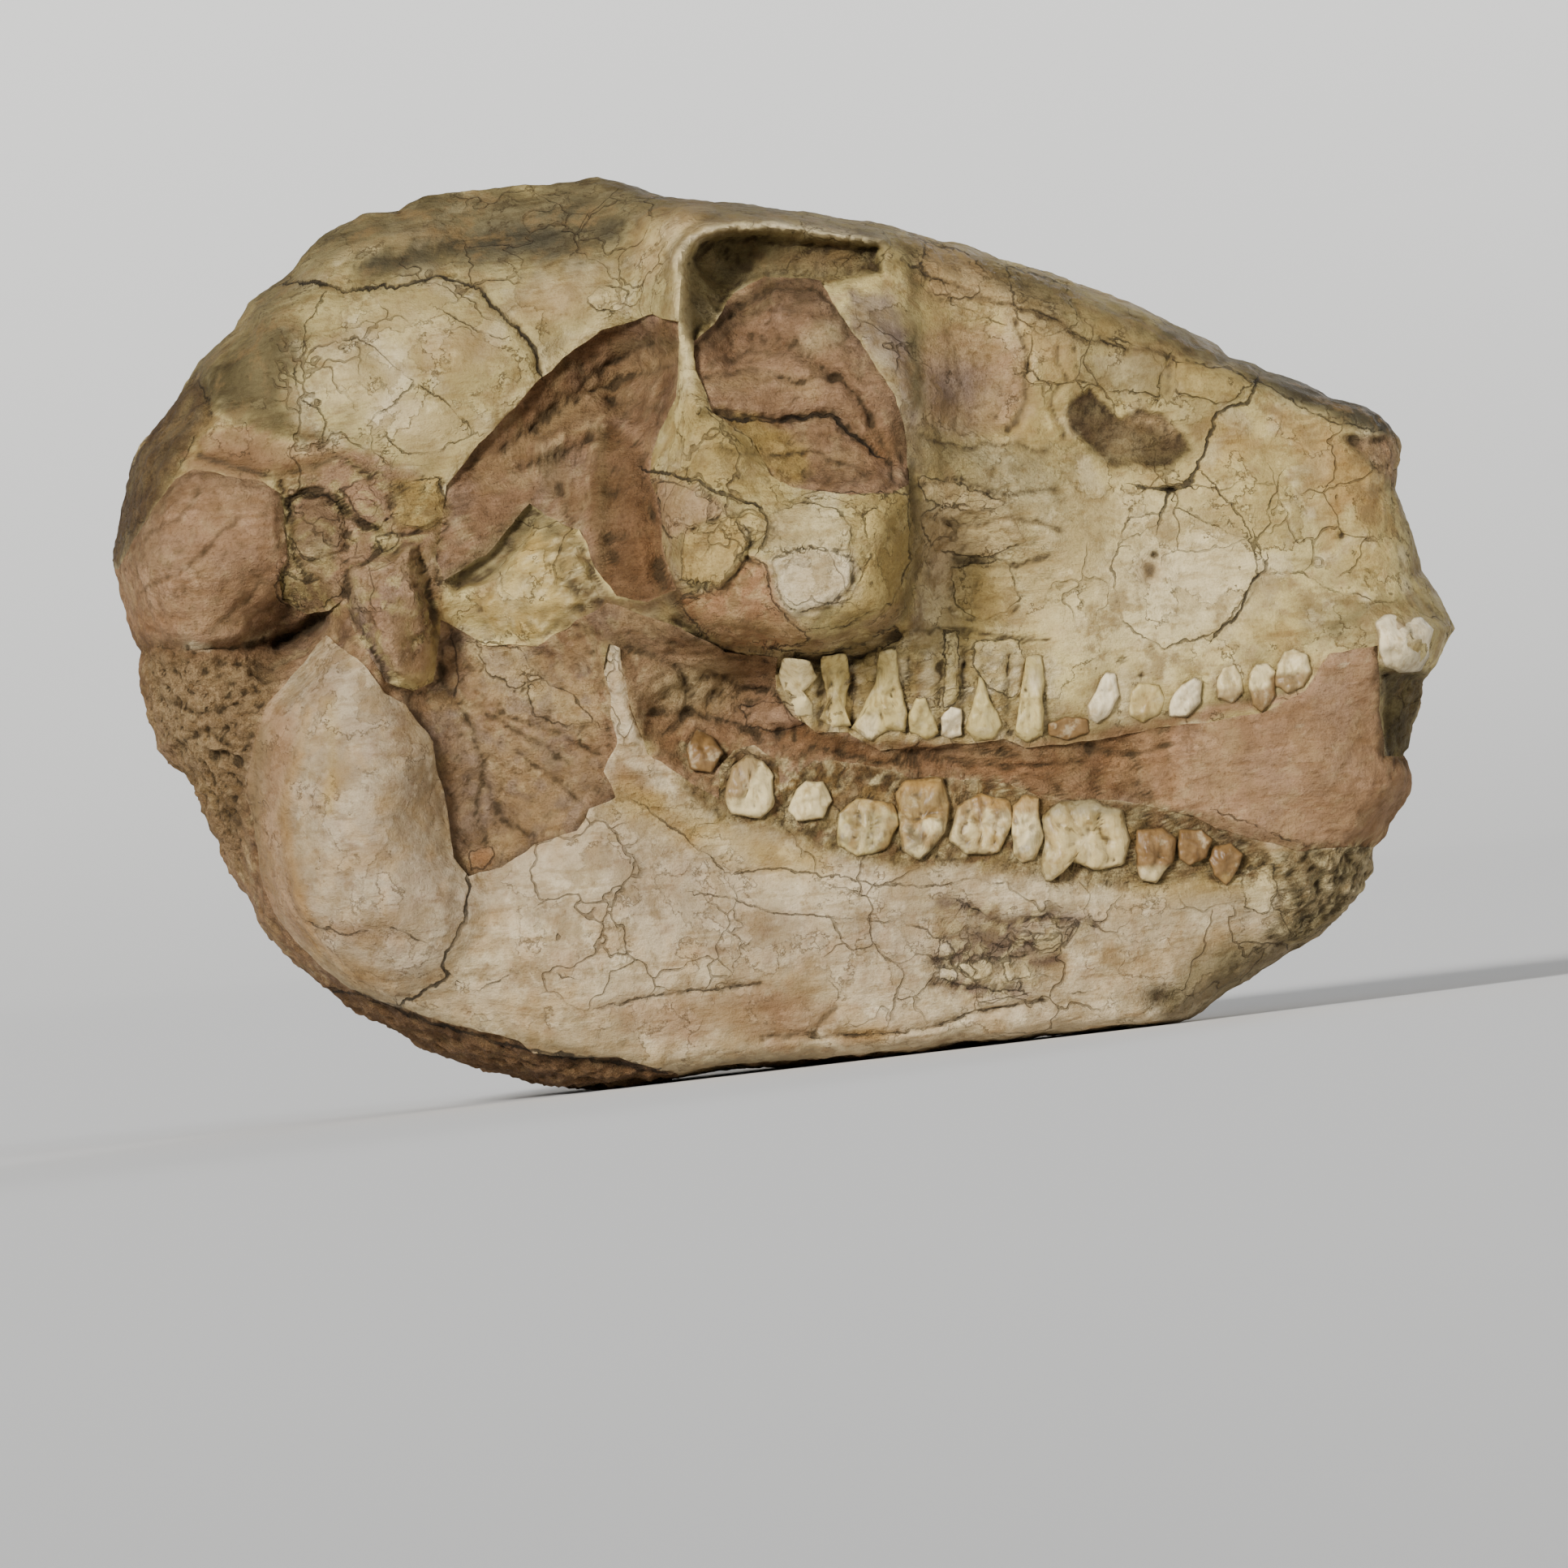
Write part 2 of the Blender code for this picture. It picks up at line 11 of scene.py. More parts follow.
import bmesh
import bpy
import numpy as np
from bpy.props import FloatProperty, FloatVectorProperty, IntProperty, PointerProperty
from mathutils import Matrix, Vector, noise


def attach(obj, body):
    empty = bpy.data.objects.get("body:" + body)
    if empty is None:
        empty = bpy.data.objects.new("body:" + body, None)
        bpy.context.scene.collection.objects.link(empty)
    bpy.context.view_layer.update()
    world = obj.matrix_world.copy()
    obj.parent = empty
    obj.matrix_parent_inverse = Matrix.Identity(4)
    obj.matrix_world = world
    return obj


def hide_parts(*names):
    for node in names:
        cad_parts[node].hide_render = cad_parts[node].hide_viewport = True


bl_info = {
    "name": "Fossil Oreodont Skull",
    "version": (1, 0, 0),
    "blender": (4, 5, 0),
    "location": "View3D > Sidebar > Fossil",
    "description": "Dresses the solids of a fossil skull with bone, rock and teeth",
    "category": "Add Mesh",
}

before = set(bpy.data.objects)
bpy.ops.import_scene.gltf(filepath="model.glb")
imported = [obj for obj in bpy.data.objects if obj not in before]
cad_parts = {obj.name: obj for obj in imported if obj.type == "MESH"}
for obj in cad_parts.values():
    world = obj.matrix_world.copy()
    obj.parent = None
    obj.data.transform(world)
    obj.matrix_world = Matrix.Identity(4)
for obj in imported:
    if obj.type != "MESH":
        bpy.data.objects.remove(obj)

MM = 0.001
TAU = 2 * math.pi
BODY = "root"

# The side view and how it stands
SKULL_LENGTH = 214.8 * MM
OCCIPUT = (140, 690)
SNOUT = (1792, 775)
PIXEL = SKULL_LENGTH / (SNOUT[0] - OCCIPUT[0])
HUB = np.array((950.0, 790.0))
REST_BACK = (790, 1338)
REST_FRONT = (1440, 1263)
LOWEST = (795, 1338)
FLAT_DEPTH = 0.35 * MM
PICTURE_CENTRE = (966, 966)
PICTURE_WIDTH = 1932
CAMERA_DISTANCE = 4.0
SENSOR_WIDTH = 36.0

# Depths across the head
BEYOND = 90.0 * MM
ORBIT_FLOOR = 27.0 * MM
TEMPLE_FLOOR = 15.0 * MM
TOOTH_ROOT = 5.0 * MM

# Softness of the half-width map in pixels, and the share of the grid that lies inside the rim
SMOOTH = 60.0
RIM_START = 0.74
ASPECT = 0.68

OUTLINE = [
    (140, 690), (146, 660), (149, 640), (155, 615), (162, 580), (170, 560), (182, 540), (205, 512),
    (222, 486), (235, 470), (245, 447), (262, 432), (290, 405), (306, 373), (330, 357), (354, 338),
    (365, 325), (388, 300), (400, 289), (420, 278), (445, 263), (480, 260), (490, 262), (505, 250),
    (520, 242), (560, 239), (600, 233), (640, 229), (680, 227), (715, 221), (735, 218), (760, 225),
    (800, 238), (820, 243), (880, 250), (960, 259), (1040, 271), (1120, 285), (1160, 297),
    (1200, 308), (1240, 321), (1300, 341), (1350, 358), (1400, 376), (1440, 397), (1480, 418),
    (1500, 426), (1515, 440), (1545, 450), (1560, 460), (1600, 470), (1640, 491), (1680, 500),
    (1700, 510), (1712, 522), (1722, 540), (1724, 560), (1722, 590), (1719, 600), (1730, 632),
    (1738, 655), (1752, 705), (1765, 725), (1780, 750), (1792, 775), (1782, 795), (1770, 820),
    (1752, 840), (1745, 870), (1735, 920), (1731, 932), (1740, 955), (1737, 975), (1729, 991),
    (1710, 1012), (1704, 1029), (1691, 1044), (1688, 1062), (1680, 1083), (1670, 1103),
    (1657, 1118), (1640, 1139), (1617, 1154), (1596, 1167), (1578, 1182), (1553, 1197),
    (1527, 1213), (1510, 1222), (1484, 1241), (1464, 1255), (1451, 1259), (1428, 1264),
    (1382, 1267), (1332, 1272), (1287, 1275), (1191, 1286), (1080, 1299), (1000, 1308),
    (940, 1313), (883, 1318), (825, 1328), (795, 1338), (749, 1340), (691, 1336), (615, 1319),
    (554, 1299), (507, 1279), (463, 1255), (416, 1227), (387, 1203), (339, 1157), (320, 1136),
    (310, 1107), (291, 1078), (277, 1050), (248, 992), (231, 961), (220, 949), (200, 921),
    (184, 877), (174, 839), (172, 806), (155, 748), (146, 715),
]

# Half-widths of the head in millimetres at points of the side view
HALF_WIDTHS = {
    "crest": [(450, 290, 9), (560, 262, 5), (680, 250, 6), (740, 245, 9), (400, 340, 16),
              (520, 310, 13), (640, 310, 14), (740, 310, 17)],
    "braincase": [(330, 420, 24), (430, 400, 23), (540, 390, 23), (640, 400, 23), (720, 370, 22),
                  (790, 340, 25), (300, 500, 28), (420, 480, 28), (540, 470, 28), (630, 470, 27),
                  (380, 560, 29), (480, 580, 30), (560, 570, 28)],
    "occiput": [(190, 560, 27), (230, 500, 27), (170, 640, 29), (260, 440, 24)],
    "nape rock": [(240, 640, 31), (220, 720, 31), (300, 700, 32), (180, 760, 27), (370, 785, 20),
                  (300, 800, 24), (230, 860, 26), (280, 930, 26), (270, 1000, 20)],
    "ear": [(400, 650, 31), (390, 720, 30), (480, 640, 33), (480, 720, 37), (505, 800, 37),
            (550, 820, 29)],
    "temple": [(700, 480, 22), (800, 440, 23), (760, 420, 20), (640, 540, 26), (560, 640, 32),
               (620, 640, 30), (790, 520, 30), (735, 620, 34), (775, 640, 40), (765, 700, 42),
               (680, 700, 37), (620, 740, 33), (800, 770, 44)],
    "orbit": [(842, 350, 36), (846, 420, 42), (850, 500, 46), (885, 325, 27), (940, 310, 27),
              (1010, 310, 28), (860, 275, 31), (960, 268, 30), (1050, 285, 30), (800, 270, 20),
              (900, 430, 38), (960, 400, 37), (1000, 470, 42), (950, 500, 44), (1060, 540, 44),
              (960, 560, 46)],
    "cheek": [(860, 620, 52), (880, 700, 54), (960, 720, 57), (1040, 720, 57), (1060, 650, 55),
              (1100, 640, 50), (960, 640, 53), (900, 775, 50), (1000, 780, 52), (1080, 755, 52),
              (1140, 660, 37), (1145, 740, 34), (930, 830, 33), (1050, 815, 35)],
    "snout": [(1100, 400, 33), (1060, 370, 33), (1130, 500, 38), (1120, 580, 40), (1190, 460, 27),
              (1200, 520, 28), (1250, 480, 26), (1130, 340, 25), (1230, 370, 22), (1300, 420, 23),
              (1380, 430, 19), (1200, 600, 33), (1300, 560, 26), (1390, 540, 20), (1470, 500, 18),
              (1300, 680, 28), (1400, 640, 22), (1450, 720, 22), (1520, 620, 19), (1560, 520, 14),
              (1600, 600, 16), (1640, 540, 12), (1560, 720, 19), (1650, 680, 16), (1620, 760, 19),
              (1700, 780, 19), (1745, 790, 17), (1700, 700, 14), (1740, 740, 12), (1700, 590, 11),
              (1720, 880, 12)],
    "upper tooth row": [(1000, 850, 35), (1100, 850, 34), (1200, 820, 32), (1280, 850, 29),
                        (1360, 840, 26), (1450, 830, 24), (1540, 820, 22)],
    "rock between the teeth": [(920, 900, 31), (1040, 925, 30), (1150, 930, 28), (1260, 940, 27),
                               (1400, 930, 23), (1520, 930, 21), (1640, 900, 19), (1690, 960, 15),
                               (1600, 1010, 18)],
    "cheek rock": [(600, 850, 31), (680, 820, 34), (620, 950, 32), (700, 950, 34), (600, 1030, 31),
                   (760, 870, 37), (820, 860, 35), (560, 980, 30)],
    "jaw angle": [(400, 830, 33), (440, 900, 39), (500, 950, 39), (420, 1000, 41), (500, 1040, 40),
                  (360, 960, 35), (330, 1000, 28), (340, 1090, 31), (430, 1100, 40),
                  (480, 1180, 38), (390, 1170, 33)],
    "jaw body": [(620, 1110, 37), (720, 1080, 37), (640, 1220, 36), (760, 1200, 36),
                 (820, 1060, 34), (900, 1050, 32), (920, 1160, 33), (1050, 1080, 31),
                 (1060, 1180, 30), (1200, 1100, 28), (1210, 1200, 26), (1350, 1110, 24),
                 (1350, 1200, 22), (1480, 1120, 20), (1470, 1200, 17), (1570, 1110, 16),
                 (1560, 1170, 14), (1640, 1090, 12)],
    "lower tooth row": [(890, 960, 34), (1000, 1000, 32), (1130, 1010, 30), (1240, 1020, 28),
                        (1330, 1030, 26), (1420, 1045, 23), (1500, 1060, 20)],
    "jaw edge": [(700, 1280, 33), (850, 1270, 31), (1000, 1260, 28), (1150, 1250, 26),
                 (1300, 1240, 22), (1420, 1240, 18), (480, 1265, 26), (600, 1300, 27),
                 (740, 1325, 28)],
}

# How the form turns in at its outline: a point of the outline, the turn's depth in millimetres,
# and its squareness, where 2 is round and 3 is nearly flat underneath
RIM = [
    (140, 690, 10, 2.2), (235, 470, 10, 2.0), (500, 250, 6, 1.6), (740, 218, 7, 1.8),
    (960, 259, 8, 2.5), (1200, 308, 9, 2.2), (1500, 426, 7, 2.2), (1722, 560, 6, 2.2),
    (1792, 775, 8, 2.0), (1735, 920, 6, 2.2), (1691, 1044, 7, 2.2), (1510, 1222, 6, 2.4),
    (1400, 1266, 5, 3.2), (1000, 1307, 5, 3.2), (760, 1340, 5, 3.4), (500, 1276, 7, 2.4),
    (300, 1080, 9, 2.2), (200, 921, 10, 2.2),
]

# The lower border of the cranium, from the nape to the front of the upper jaw
CRANIUM_BORDER = [
    (150, 702), (180, 650), (222, 592), (245, 582), (330, 597), (352, 612), (358, 690), (347, 715),
    (352, 742), (380, 757), (410, 752), (432, 738), (442, 780), (480, 842), (513, 853), (537, 842),
    (548, 765), (600, 795), (665, 797), (750, 745), (840, 775), (893, 805), (958, 812), (955, 850),
    (975, 885), (1008, 902), (1045, 903), (1085, 924), (1165, 918), (1235, 911), (1260, 922),
    (1335, 914), (1425, 897), (1480, 890), (1560, 876), (1605, 852), (1634, 806), (1692, 796),
    (1703, 932), (1731, 931),
]

# One side of the lower jaw, clockwise from the top of its hinge end
JAW_OUTLINE = [
    (405, 784), (445, 812), (478, 853), (503, 867), (536, 915), (556, 1010), (562, 1055),
    (580, 1079), (620, 1067), (661, 1040), (714, 1024), (728, 996), (762, 984), (746, 950),
    (762, 915), (747, 825), (750, 797), (765, 800), (775, 860), (800, 930), (850, 962), (885, 985),
    (888, 945), (905, 925), (930, 919), (957, 936), (962, 975), (982, 952), (1003, 936),
    (1050, 940), (1120, 956), (1190, 960), (1245, 966), (1285, 985), (1375, 985), (1467, 1004),
    (1498, 1022), (1596, 1047), (1688, 1042), (1800, 1050), (1800, 1400), (850, 1400),
    (836, 1321), (760, 1302), (660, 1297), (640, 1280), (523, 1250), (490, 1238), (440, 1218),
    (240, 1217), (240, 1085), (302, 1080), (309, 950), (335, 865), (368, 830),
]

# The rock between the two sides of the lower jaw: places along it and half its width there
TONGUE = [(200, 24), (480, 27), (800, 24), (1100, 18), (1300, 12), (1390, 7)]
TONGUE_TOP = 620

ORBIT_ROCK = [
    (855, 425), (880, 405), (905, 365), (940, 345), (1010, 350), (1040, 400), (1100, 490),
    (1116, 545), (1118, 600), (1100, 612), (1050, 615), (975, 605), (950, 592), (925, 545),
    (880, 515), (858, 460),
]
TEMPLE_ROCK = [
    (552, 600), (600, 543), (640, 500), (668, 468), (715, 430), (740, 410), (805, 392), (838, 403),
    (836, 495), (812, 540), (800, 588), (817, 634), (820, 694), (836, 731), (800, 745), (762, 738),
    (735, 700), (716, 655), (673, 636), (656, 622), (602, 685), (552, 716), (541, 690), (548, 655),
]

# Lines and areas of the side view that both relief and paint follow
SUTURE = [
    (350, 350), (390, 350), (425, 361), (460, 357), (500, 355), (540, 343), (570, 350), (595, 362),
    (612, 385), (640, 408), (660, 435), (668, 462),
]
FOSSA_EDGE = [
    (550, 598), (580, 558), (600, 543), (615, 520), (640, 500), (660, 485), (670, 465), (690, 455),
    (715, 430), (740, 410), (775, 397), (805, 392), (838, 403),
]
BRAINCASE = SUTURE + FOSSA_EDGE[5::-1] + [
    (520, 600), (470, 590), (404, 545), (330, 525), (262, 500), (250, 470), (290, 412), (330, 365),
]
GREY_BAND = [
    (440, 320), (480, 285), (540, 262), (640, 245), (740, 240), (790, 262), (770, 300), (700, 330),
    (620, 335), (560, 328), (500, 345), (440, 350),
]
NUCHAL_STRIP = [
    (250, 478), (262, 500), (265, 520), (235, 560), (222, 592), (200, 620), (190, 640), (175, 660),
    (160, 685), (150, 700), (130, 690), (140, 620), (170, 545), (215, 485), (240, 455),
]
NAPE_LUMP = [
    (245, 582), (300, 590), (345, 605), (350, 660), (358, 705), (347, 745), (345, 765), (300, 790),
    (260, 798), (200, 790), (165, 780), (152, 740), (150, 705), (185, 650), (222, 600),
]
CONGLOMERATE = [
    (172, 800), (240, 805), (310, 812), (350, 840), (320, 900), (306, 980), (304, 1080),
    (280, 1060), (230, 960), (190, 890),
]
EAR_ROCK = [
    (345, 597), (450, 560), (545, 600), (552, 640), (541, 690), (552, 716), (540, 780), (480, 845),
    (430, 760), (380, 757), (352, 700), (356, 640),
]
ROD = [
    (440, 702), (476, 690), (512, 676), (526, 740), (538, 822), (524, 846), (498, 842), (470, 795),
    (440, 748),
]
ORBIT_RECESS = [
    (846, 328), (862, 306), (890, 295), (940, 290), (1000, 298), (1082, 306), (1082, 338),
    (1040, 346), (1010, 352), (940, 346), (905, 366), (880, 405), (855, 425), (846, 405),
]
CHEEK_LUMP = [
    (806, 592), (830, 560), (858, 500), (925, 560), (975, 590), (1050, 600), (1117, 581),
    (1121, 640), (1126, 658), (1124, 696), (1110, 752), (1082, 767), (1033, 795), (1002, 802),
    (952, 790), (889, 795), (868, 781), (836, 748), (820, 694), (817, 634),
]
YELLOW_PLATE = [
    (845, 663), (868, 654), (900, 640), (917, 658), (924, 672), (907, 696), (889, 724), (840, 717),
]
WHITE_PLATE = [
    (951, 696), (966, 686), (998, 679), (1030, 682), (1051, 696), (1047, 724), (1016, 749),
    (980, 760), (963, 742),
]
FACET = [
    (751, 522), (788, 550), (800, 588), (817, 634), (820, 694), (837, 731), (785, 748), (748, 737),
    (734, 694), (728, 611), (735, 560),
]
YELLOW_CHEEK = [
    (593, 763), (622, 708), (645, 674), (673, 639), (716, 651), (728, 700), (748, 737), (688, 760),
    (665, 789), (616, 777),
]
OLIVE_HOLLOW = [
    (550, 720), (602, 685), (656, 622), (676, 636), (645, 668), (616, 708), (587, 725), (565, 730),
]
PREORBITAL = [
    (1122, 440), (1150, 408), (1210, 398), (1258, 430), (1268, 490), (1240, 530), (1180, 540),
    (1140, 520),
]
SNOUT_PATCH = [
    (1312, 510), (1320, 495), (1340, 482), (1360, 500), (1380, 520), (1400, 505), (1430, 515),
    (1455, 540), (1468, 557), (1440, 575), (1415, 577), (1390, 575), (1370, 580), (1345, 555),
    (1318, 528),
]
NASAL_ROCK = [
    (1655, 540), (1722, 538), (1735, 560), (1730, 590), (1718, 600), (1690, 575), (1675, 560),
]
NASAL = [
    (1500, 420), (1560, 450), (1650, 485), (1720, 512), (1730, 536), (1700, 532), (1640, 522),
    (1590, 495), (1565, 478), (1545, 470),
]
CANINE_RECESS = [
    (1697, 826), (1760, 826), (1750, 870), (1735, 935), (1703, 936),
]
ROOT_ZONE = [
    (958, 812), (1000, 815), (1050, 800), (1110, 790), (1160, 800), (1200, 800), (1290, 800),
    (1300, 880), (1260, 922), (1165, 918), (1085, 924), (1008, 902), (955, 850),
]
ANGLE_PLATE = [
    (406, 790), (372, 835), (345, 870), (335, 920), (330, 1000), (340, 1090), (370, 1160),
    (440, 1215), (500, 1232), (547, 1188), (577, 1135), (580, 1085), (556, 1010), (531, 911),
    (502, 868), (464, 849), (430, 808),
]
RETICULATE = [
    (1150, 1120), (1200, 1108), (1290, 1118), (1345, 1135), (1320, 1170), (1270, 1215),
    (1220, 1240), (1170, 1220), (1148, 1180),
]
CHIN_RUBBLE = [
    (1560, 1055), (1600, 1045), (1690, 1035), (1695, 1080), (1650, 1130), (1600, 1165),
    (1560, 1150), (1575, 1105),
]
FRONT_BLOCK = [
    (1400, 905), (1480, 890), (1560, 876), (1605, 852), (1634, 806), (1692, 796), (1700, 930),
    (1745, 955), (1700, 1035), (1596, 1047), (1498, 1022), (1420, 995),
]
TOOTH_BAND = [
    (830, 790), (893, 805), (958, 812), (975, 885), (1085, 924), (1235, 911), (1335, 914),
    (1440, 895), (1450, 1000), (1375, 985), (1285, 985), (1120, 956), (1003, 936), (930, 919),
    (850, 960), (790, 900),
]
GUMS = [
    (838, 905), (900, 918), (960, 934), (1000, 934), (1120, 950), (1245, 962), (1290, 985),
    (1400, 988), (1470, 1003), (1540, 1036), (1562, 1060), (1540, 1092), (1470, 1082), (1400, 1096),
    (1300, 1088), (1200, 1066), (1100, 1066), (1020, 1050), (960, 1022), (890, 1012), (838, 962),
]
CHEEK_GAP = [
    (838, 745), (890, 728), (922, 690), (944, 700), (952, 745), (985, 780), (1010, 795), (950, 800),
    (895, 800), (868, 784),
]
CHEEK_ROCK = [
    (548, 765), (600, 795), (665, 797), (748, 830), (762, 915), (762, 984), (728, 996), (714, 1024),
    (661, 1040), (580, 1079), (556, 1010), (536, 915), (505, 870), (540, 840),
]
UNDER_STRIP = [
    (400, 1210), (490, 1238), (523, 1250), (640, 1280), (660, 1297), (760, 1302), (836, 1321),
    (850, 1345), (690, 1350), (540, 1310), (400, 1235),
]

# Fine cracks, and the few that gape
CRACKS = [
    [(403, 362), (393, 390), (380, 400), (379, 440)],
    [(379, 440), (400, 430), (440, 418), (455, 423), (480, 445), (517, 476), (490, 500), (462, 522)],
    [(379, 440), (368, 452), (366, 465), (376, 495), (403, 515), (405, 530), (404, 545)],
    [(517, 476), (545, 495), (575, 520), (590, 535)],
    [(462, 522), (462, 555), (475, 570)],
    [(480, 540), (498, 562), (520, 563), (545, 558), (590, 535)],
    [(545, 385), (590, 410), (620, 418)],
    [(250, 478), (262, 500), (265, 520), (235, 560), (222, 592)],
    [(358, 697), (345, 725), (348, 740), (365, 750), (385, 757)],
    [(549, 757), (564, 797), (566, 837), (559, 871)],
    [(858, 600), (870, 610), (890, 625), (900, 640), (912, 655), (925, 668), (925, 674)],
    [(925, 678), (908, 690), (900, 705), (890, 725)],
    [(842, 718), (865, 725), (890, 728)],
    [(840, 740), (860, 732), (880, 725)],
    [(975, 620), (1008, 609), (1060, 614), (1110, 610)],
    [(1077, 665), (1080, 695)],
    [(1440, 440), (1433, 460), (1425, 490)],
    [(1425, 648), (1395, 662), (1380, 668)],
    [(1480, 585), (1520, 630), (1545, 670), (1557, 695)],
    [(1575, 590), (1557, 632), (1560, 645), (1545, 672)],
    [(1555, 707), (1600, 706), (1640, 728), (1680, 738), (1700, 745)],
    [(1545, 470), (1565, 478), (1590, 495), (1640, 522), (1700, 532)],
    [(1725, 765), (1733, 775), (1740, 785)],
    [(905, 1075), (960, 1068), (1000, 1076), (1035, 1078)],
    [(1040, 1080), (1080, 1090), (1140, 1092), (1200, 1083), (1250, 1090)],
    [(860, 1100), (900, 1105), (940, 1120), (980, 1127), (1060, 1130), (1110, 1133), (1160, 1155)],
    [(790, 990), (820, 1012), (850, 1035), (870, 1052), (890, 1070)],
    [(1180, 1110), (1240, 1140), (1290, 1125), (1345, 1140)],
    [(1200, 1150), (1230, 1165), (1300, 1155)],
    [(1150, 1180), (1200, 1176), (1250, 1185), (1300, 1205)],
    [(1150, 1205), (1200, 1216), (1260, 1220)],
    [(1185, 1110), (1160, 1150), (1150, 1205)],
    [(1250, 1140), (1240, 1180), (1262, 1220)],
    [(740, 1240), (800, 1225), (850, 1218), (935, 1210)],
    [(1000, 1275), (1100, 1272), (1150, 1262), (1190, 1247), (1230, 1238), (1280, 1230), (1330, 1220)],
    [(1120, 330), (1160, 350), (1175, 380), (1230, 400)],
    [(1260, 380), (1300, 395), (1330, 420), (1390, 432)],
    [(1270, 420), (1265, 460), (1290, 480)],
    [(600, 1215), (650, 1190), (700, 1200)],
    [(1500, 1000), (1550, 1020), (1600, 1040)],
    [(390, 1135), (430, 1152), (480, 1140), (520, 1155)],
]
OPEN_CRACKS = [
    [(880, 515), (890, 522), (960, 523), (1010, 516), (1025, 518), (1060, 548), (1080, 565)],
    [(800, 583), (830, 590), (858, 598), (885, 612), (905, 617), (930, 625), (945, 640), (948, 655),
     (944, 670), (938, 678)],
    [(1547, 470), (1535, 500), (1515, 502), (1500, 512), (1490, 535), (1474, 578), (1465, 595),
     (1440, 605), (1425, 648)],
    [(1400, 600), (1440, 605), (1465, 598)],
    [(1557, 695), (1555, 705), (1540, 720), (1525, 755), (1495, 785)],
    [(580, 1079), (582, 1090), (578, 1105), (577, 1135), (570, 1150), (562, 1160), (553, 1175),
     (547, 1188), (560, 1200), (540, 1212), (525, 1220), (510, 1230), (500, 1236)],
]


# Loose plates and lumps: height in millimetres, colour, how strong, outline
PLATES = [
    (0.9, "yellow", 0.6, YELLOW_PLATE),
    (0.8, "yellow", 0.7, [(908, 645), (921, 632), (944, 638), (948, 660), (930, 672)]),
    (0.6, "white", 0.5, WHITE_PLATE),
    (0.5, "pale", 0.6, [(952, 636), (985, 624), (1030, 630), (1048, 655), (1046, 690), (1000, 678), (964, 686)]),
    (-1.2, "orange", 0.6, CHEEK_GAP),
    (0.6, "yellow", 0.5, [(1062, 640), (1095, 610), (1118, 616), (1120, 690), (1098, 745), (1040, 775),
                          (1010, 778), (1050, 735), (1072, 690)]),
    (0.7, "pink", 0.5, [(806, 596), (850, 604), (895, 636), (860, 655), (838, 668), (822, 664)]),
    (-0.6, "rust", 0.5, [(868, 784), (900, 796), (950, 800), (1010, 806), (1060, 796), (1100, 772),
                         (1108, 786), (1060, 812), (980, 822), (900, 812)]),
    (0.8, "brown", 0.35, [(362, 622), (384, 610), (410, 614), (428, 634), (432, 670), (410, 690),
                          (376, 690), (360, 660)]),
    (0.9, "pink", 0.5, [(424, 606), (470, 586), (484, 594), (486, 640), (470, 654), (446, 640)]),
    (0.5, "yellow", 0.5, [(486, 596), (545, 592), (556, 636), (530, 654), (490, 648)]),
    (0.5, "cream", 0.5, [(466, 664), (490, 658), (496, 674), (478, 682)]),
    (0.8, "brown", 0.3, [(354, 706), (384, 722), (420, 708), (426, 730), (400, 752), (372, 752), (350, 738)]),
    (0.6, "sand", 0.4, [(590, 790), (640, 800), (668, 836), (640, 850), (600, 830)]),
    (0.6, "sand", 0.4, [(650, 830), (700, 850), (736, 890), (700, 896), (660, 880)]),
    (0.5, "orange", 0.5, [(582, 1050), (604, 1040), (616, 1052), (600, 1070), (586, 1068)]),
    (0.7, "pink", 0.4, [(914, 872), (950, 864), (986, 872), (992, 892), (960, 902), (920, 896)]),
    (-0.5, "mauve", 0.6, [(1160, 1150), (1210, 1140), (1290, 1150), (1330, 1140), (1300, 1172), (1240, 1180),
                          (1180, 1176)]),
    (0.5, "pale", 0.7, [(1180, 1186), (1214, 1180), (1226, 1196), (1196, 1206)]),
    (0.5, "pale", 0.7, [(1230, 1182), (1262, 1184), (1270, 1204), (1240, 1208)]),
    (0.5, "pale", 0.7, [(1270, 1150), (1306, 1150), (1310, 1168), (1280, 1176)]),
    (0.5, "white", 0.5, [(1150, 1186), (1174, 1190), (1180, 1204), (1156, 1206)]),
    (0.5, "pale", 0.6, [(1528, 1072), (1566, 1064), (1572, 1100), (1556, 1128), (1532, 1118)]),
    (0.6, "pale", 0.5, [(744, 352), (776, 362), (770, 384), (736, 388), (722, 372)]),
    (0.5, "sand", 0.6, [(1140, 300), (1190, 312), (1216, 340), (1196, 372), (1150, 366), (1134, 330)]),
    (0.4, "olive", 0.4, [(1240, 330), (1310, 352), (1330, 400), (1290, 420), (1252, 396)]),
    (0.5, "olive", 0.35, [(1320, 420), (1380, 420), (1436, 442), (1424, 490), (1360, 482), (1324, 470)]),
    (0.5, "yellow", 0.4, [(1446, 446), (1520, 458), (1540, 476), (1510, 500), (1450, 486)]),
    (0.4, "pale", 0.5, [(1390, 640), (1450, 628), (1540, 670), (1548, 710), (1500, 780), (1430, 800),
                        (1380, 770), (1366, 700)]),
    (0.5, "sand", 0.5, [(1130, 640), (1170, 622), (1250, 640), (1262, 670), (1210, 690), (1150, 680)]),
    (0.5, "yellow", 0.5, [(1170, 700), (1240, 690), (1256, 740), (1210, 770), (1176, 750)]),
    (0.5, "sand", 0.5, [(1128, 590), (1180, 600), (1240, 622), (1200, 634), (1140, 622)]),
    (0.6, "pale", 0.5, [(1200, 792), (1254, 788), (1262, 830), (1244, 862), (1212, 846), (1196, 820)]),
    (0.8, "cream", 0.5, [(1162, 779), (1178, 779), (1180, 870), (1160, 874)]),
]
CRACKS.extend(outline + outline[:1] for _, _, _, outline in PLATES)
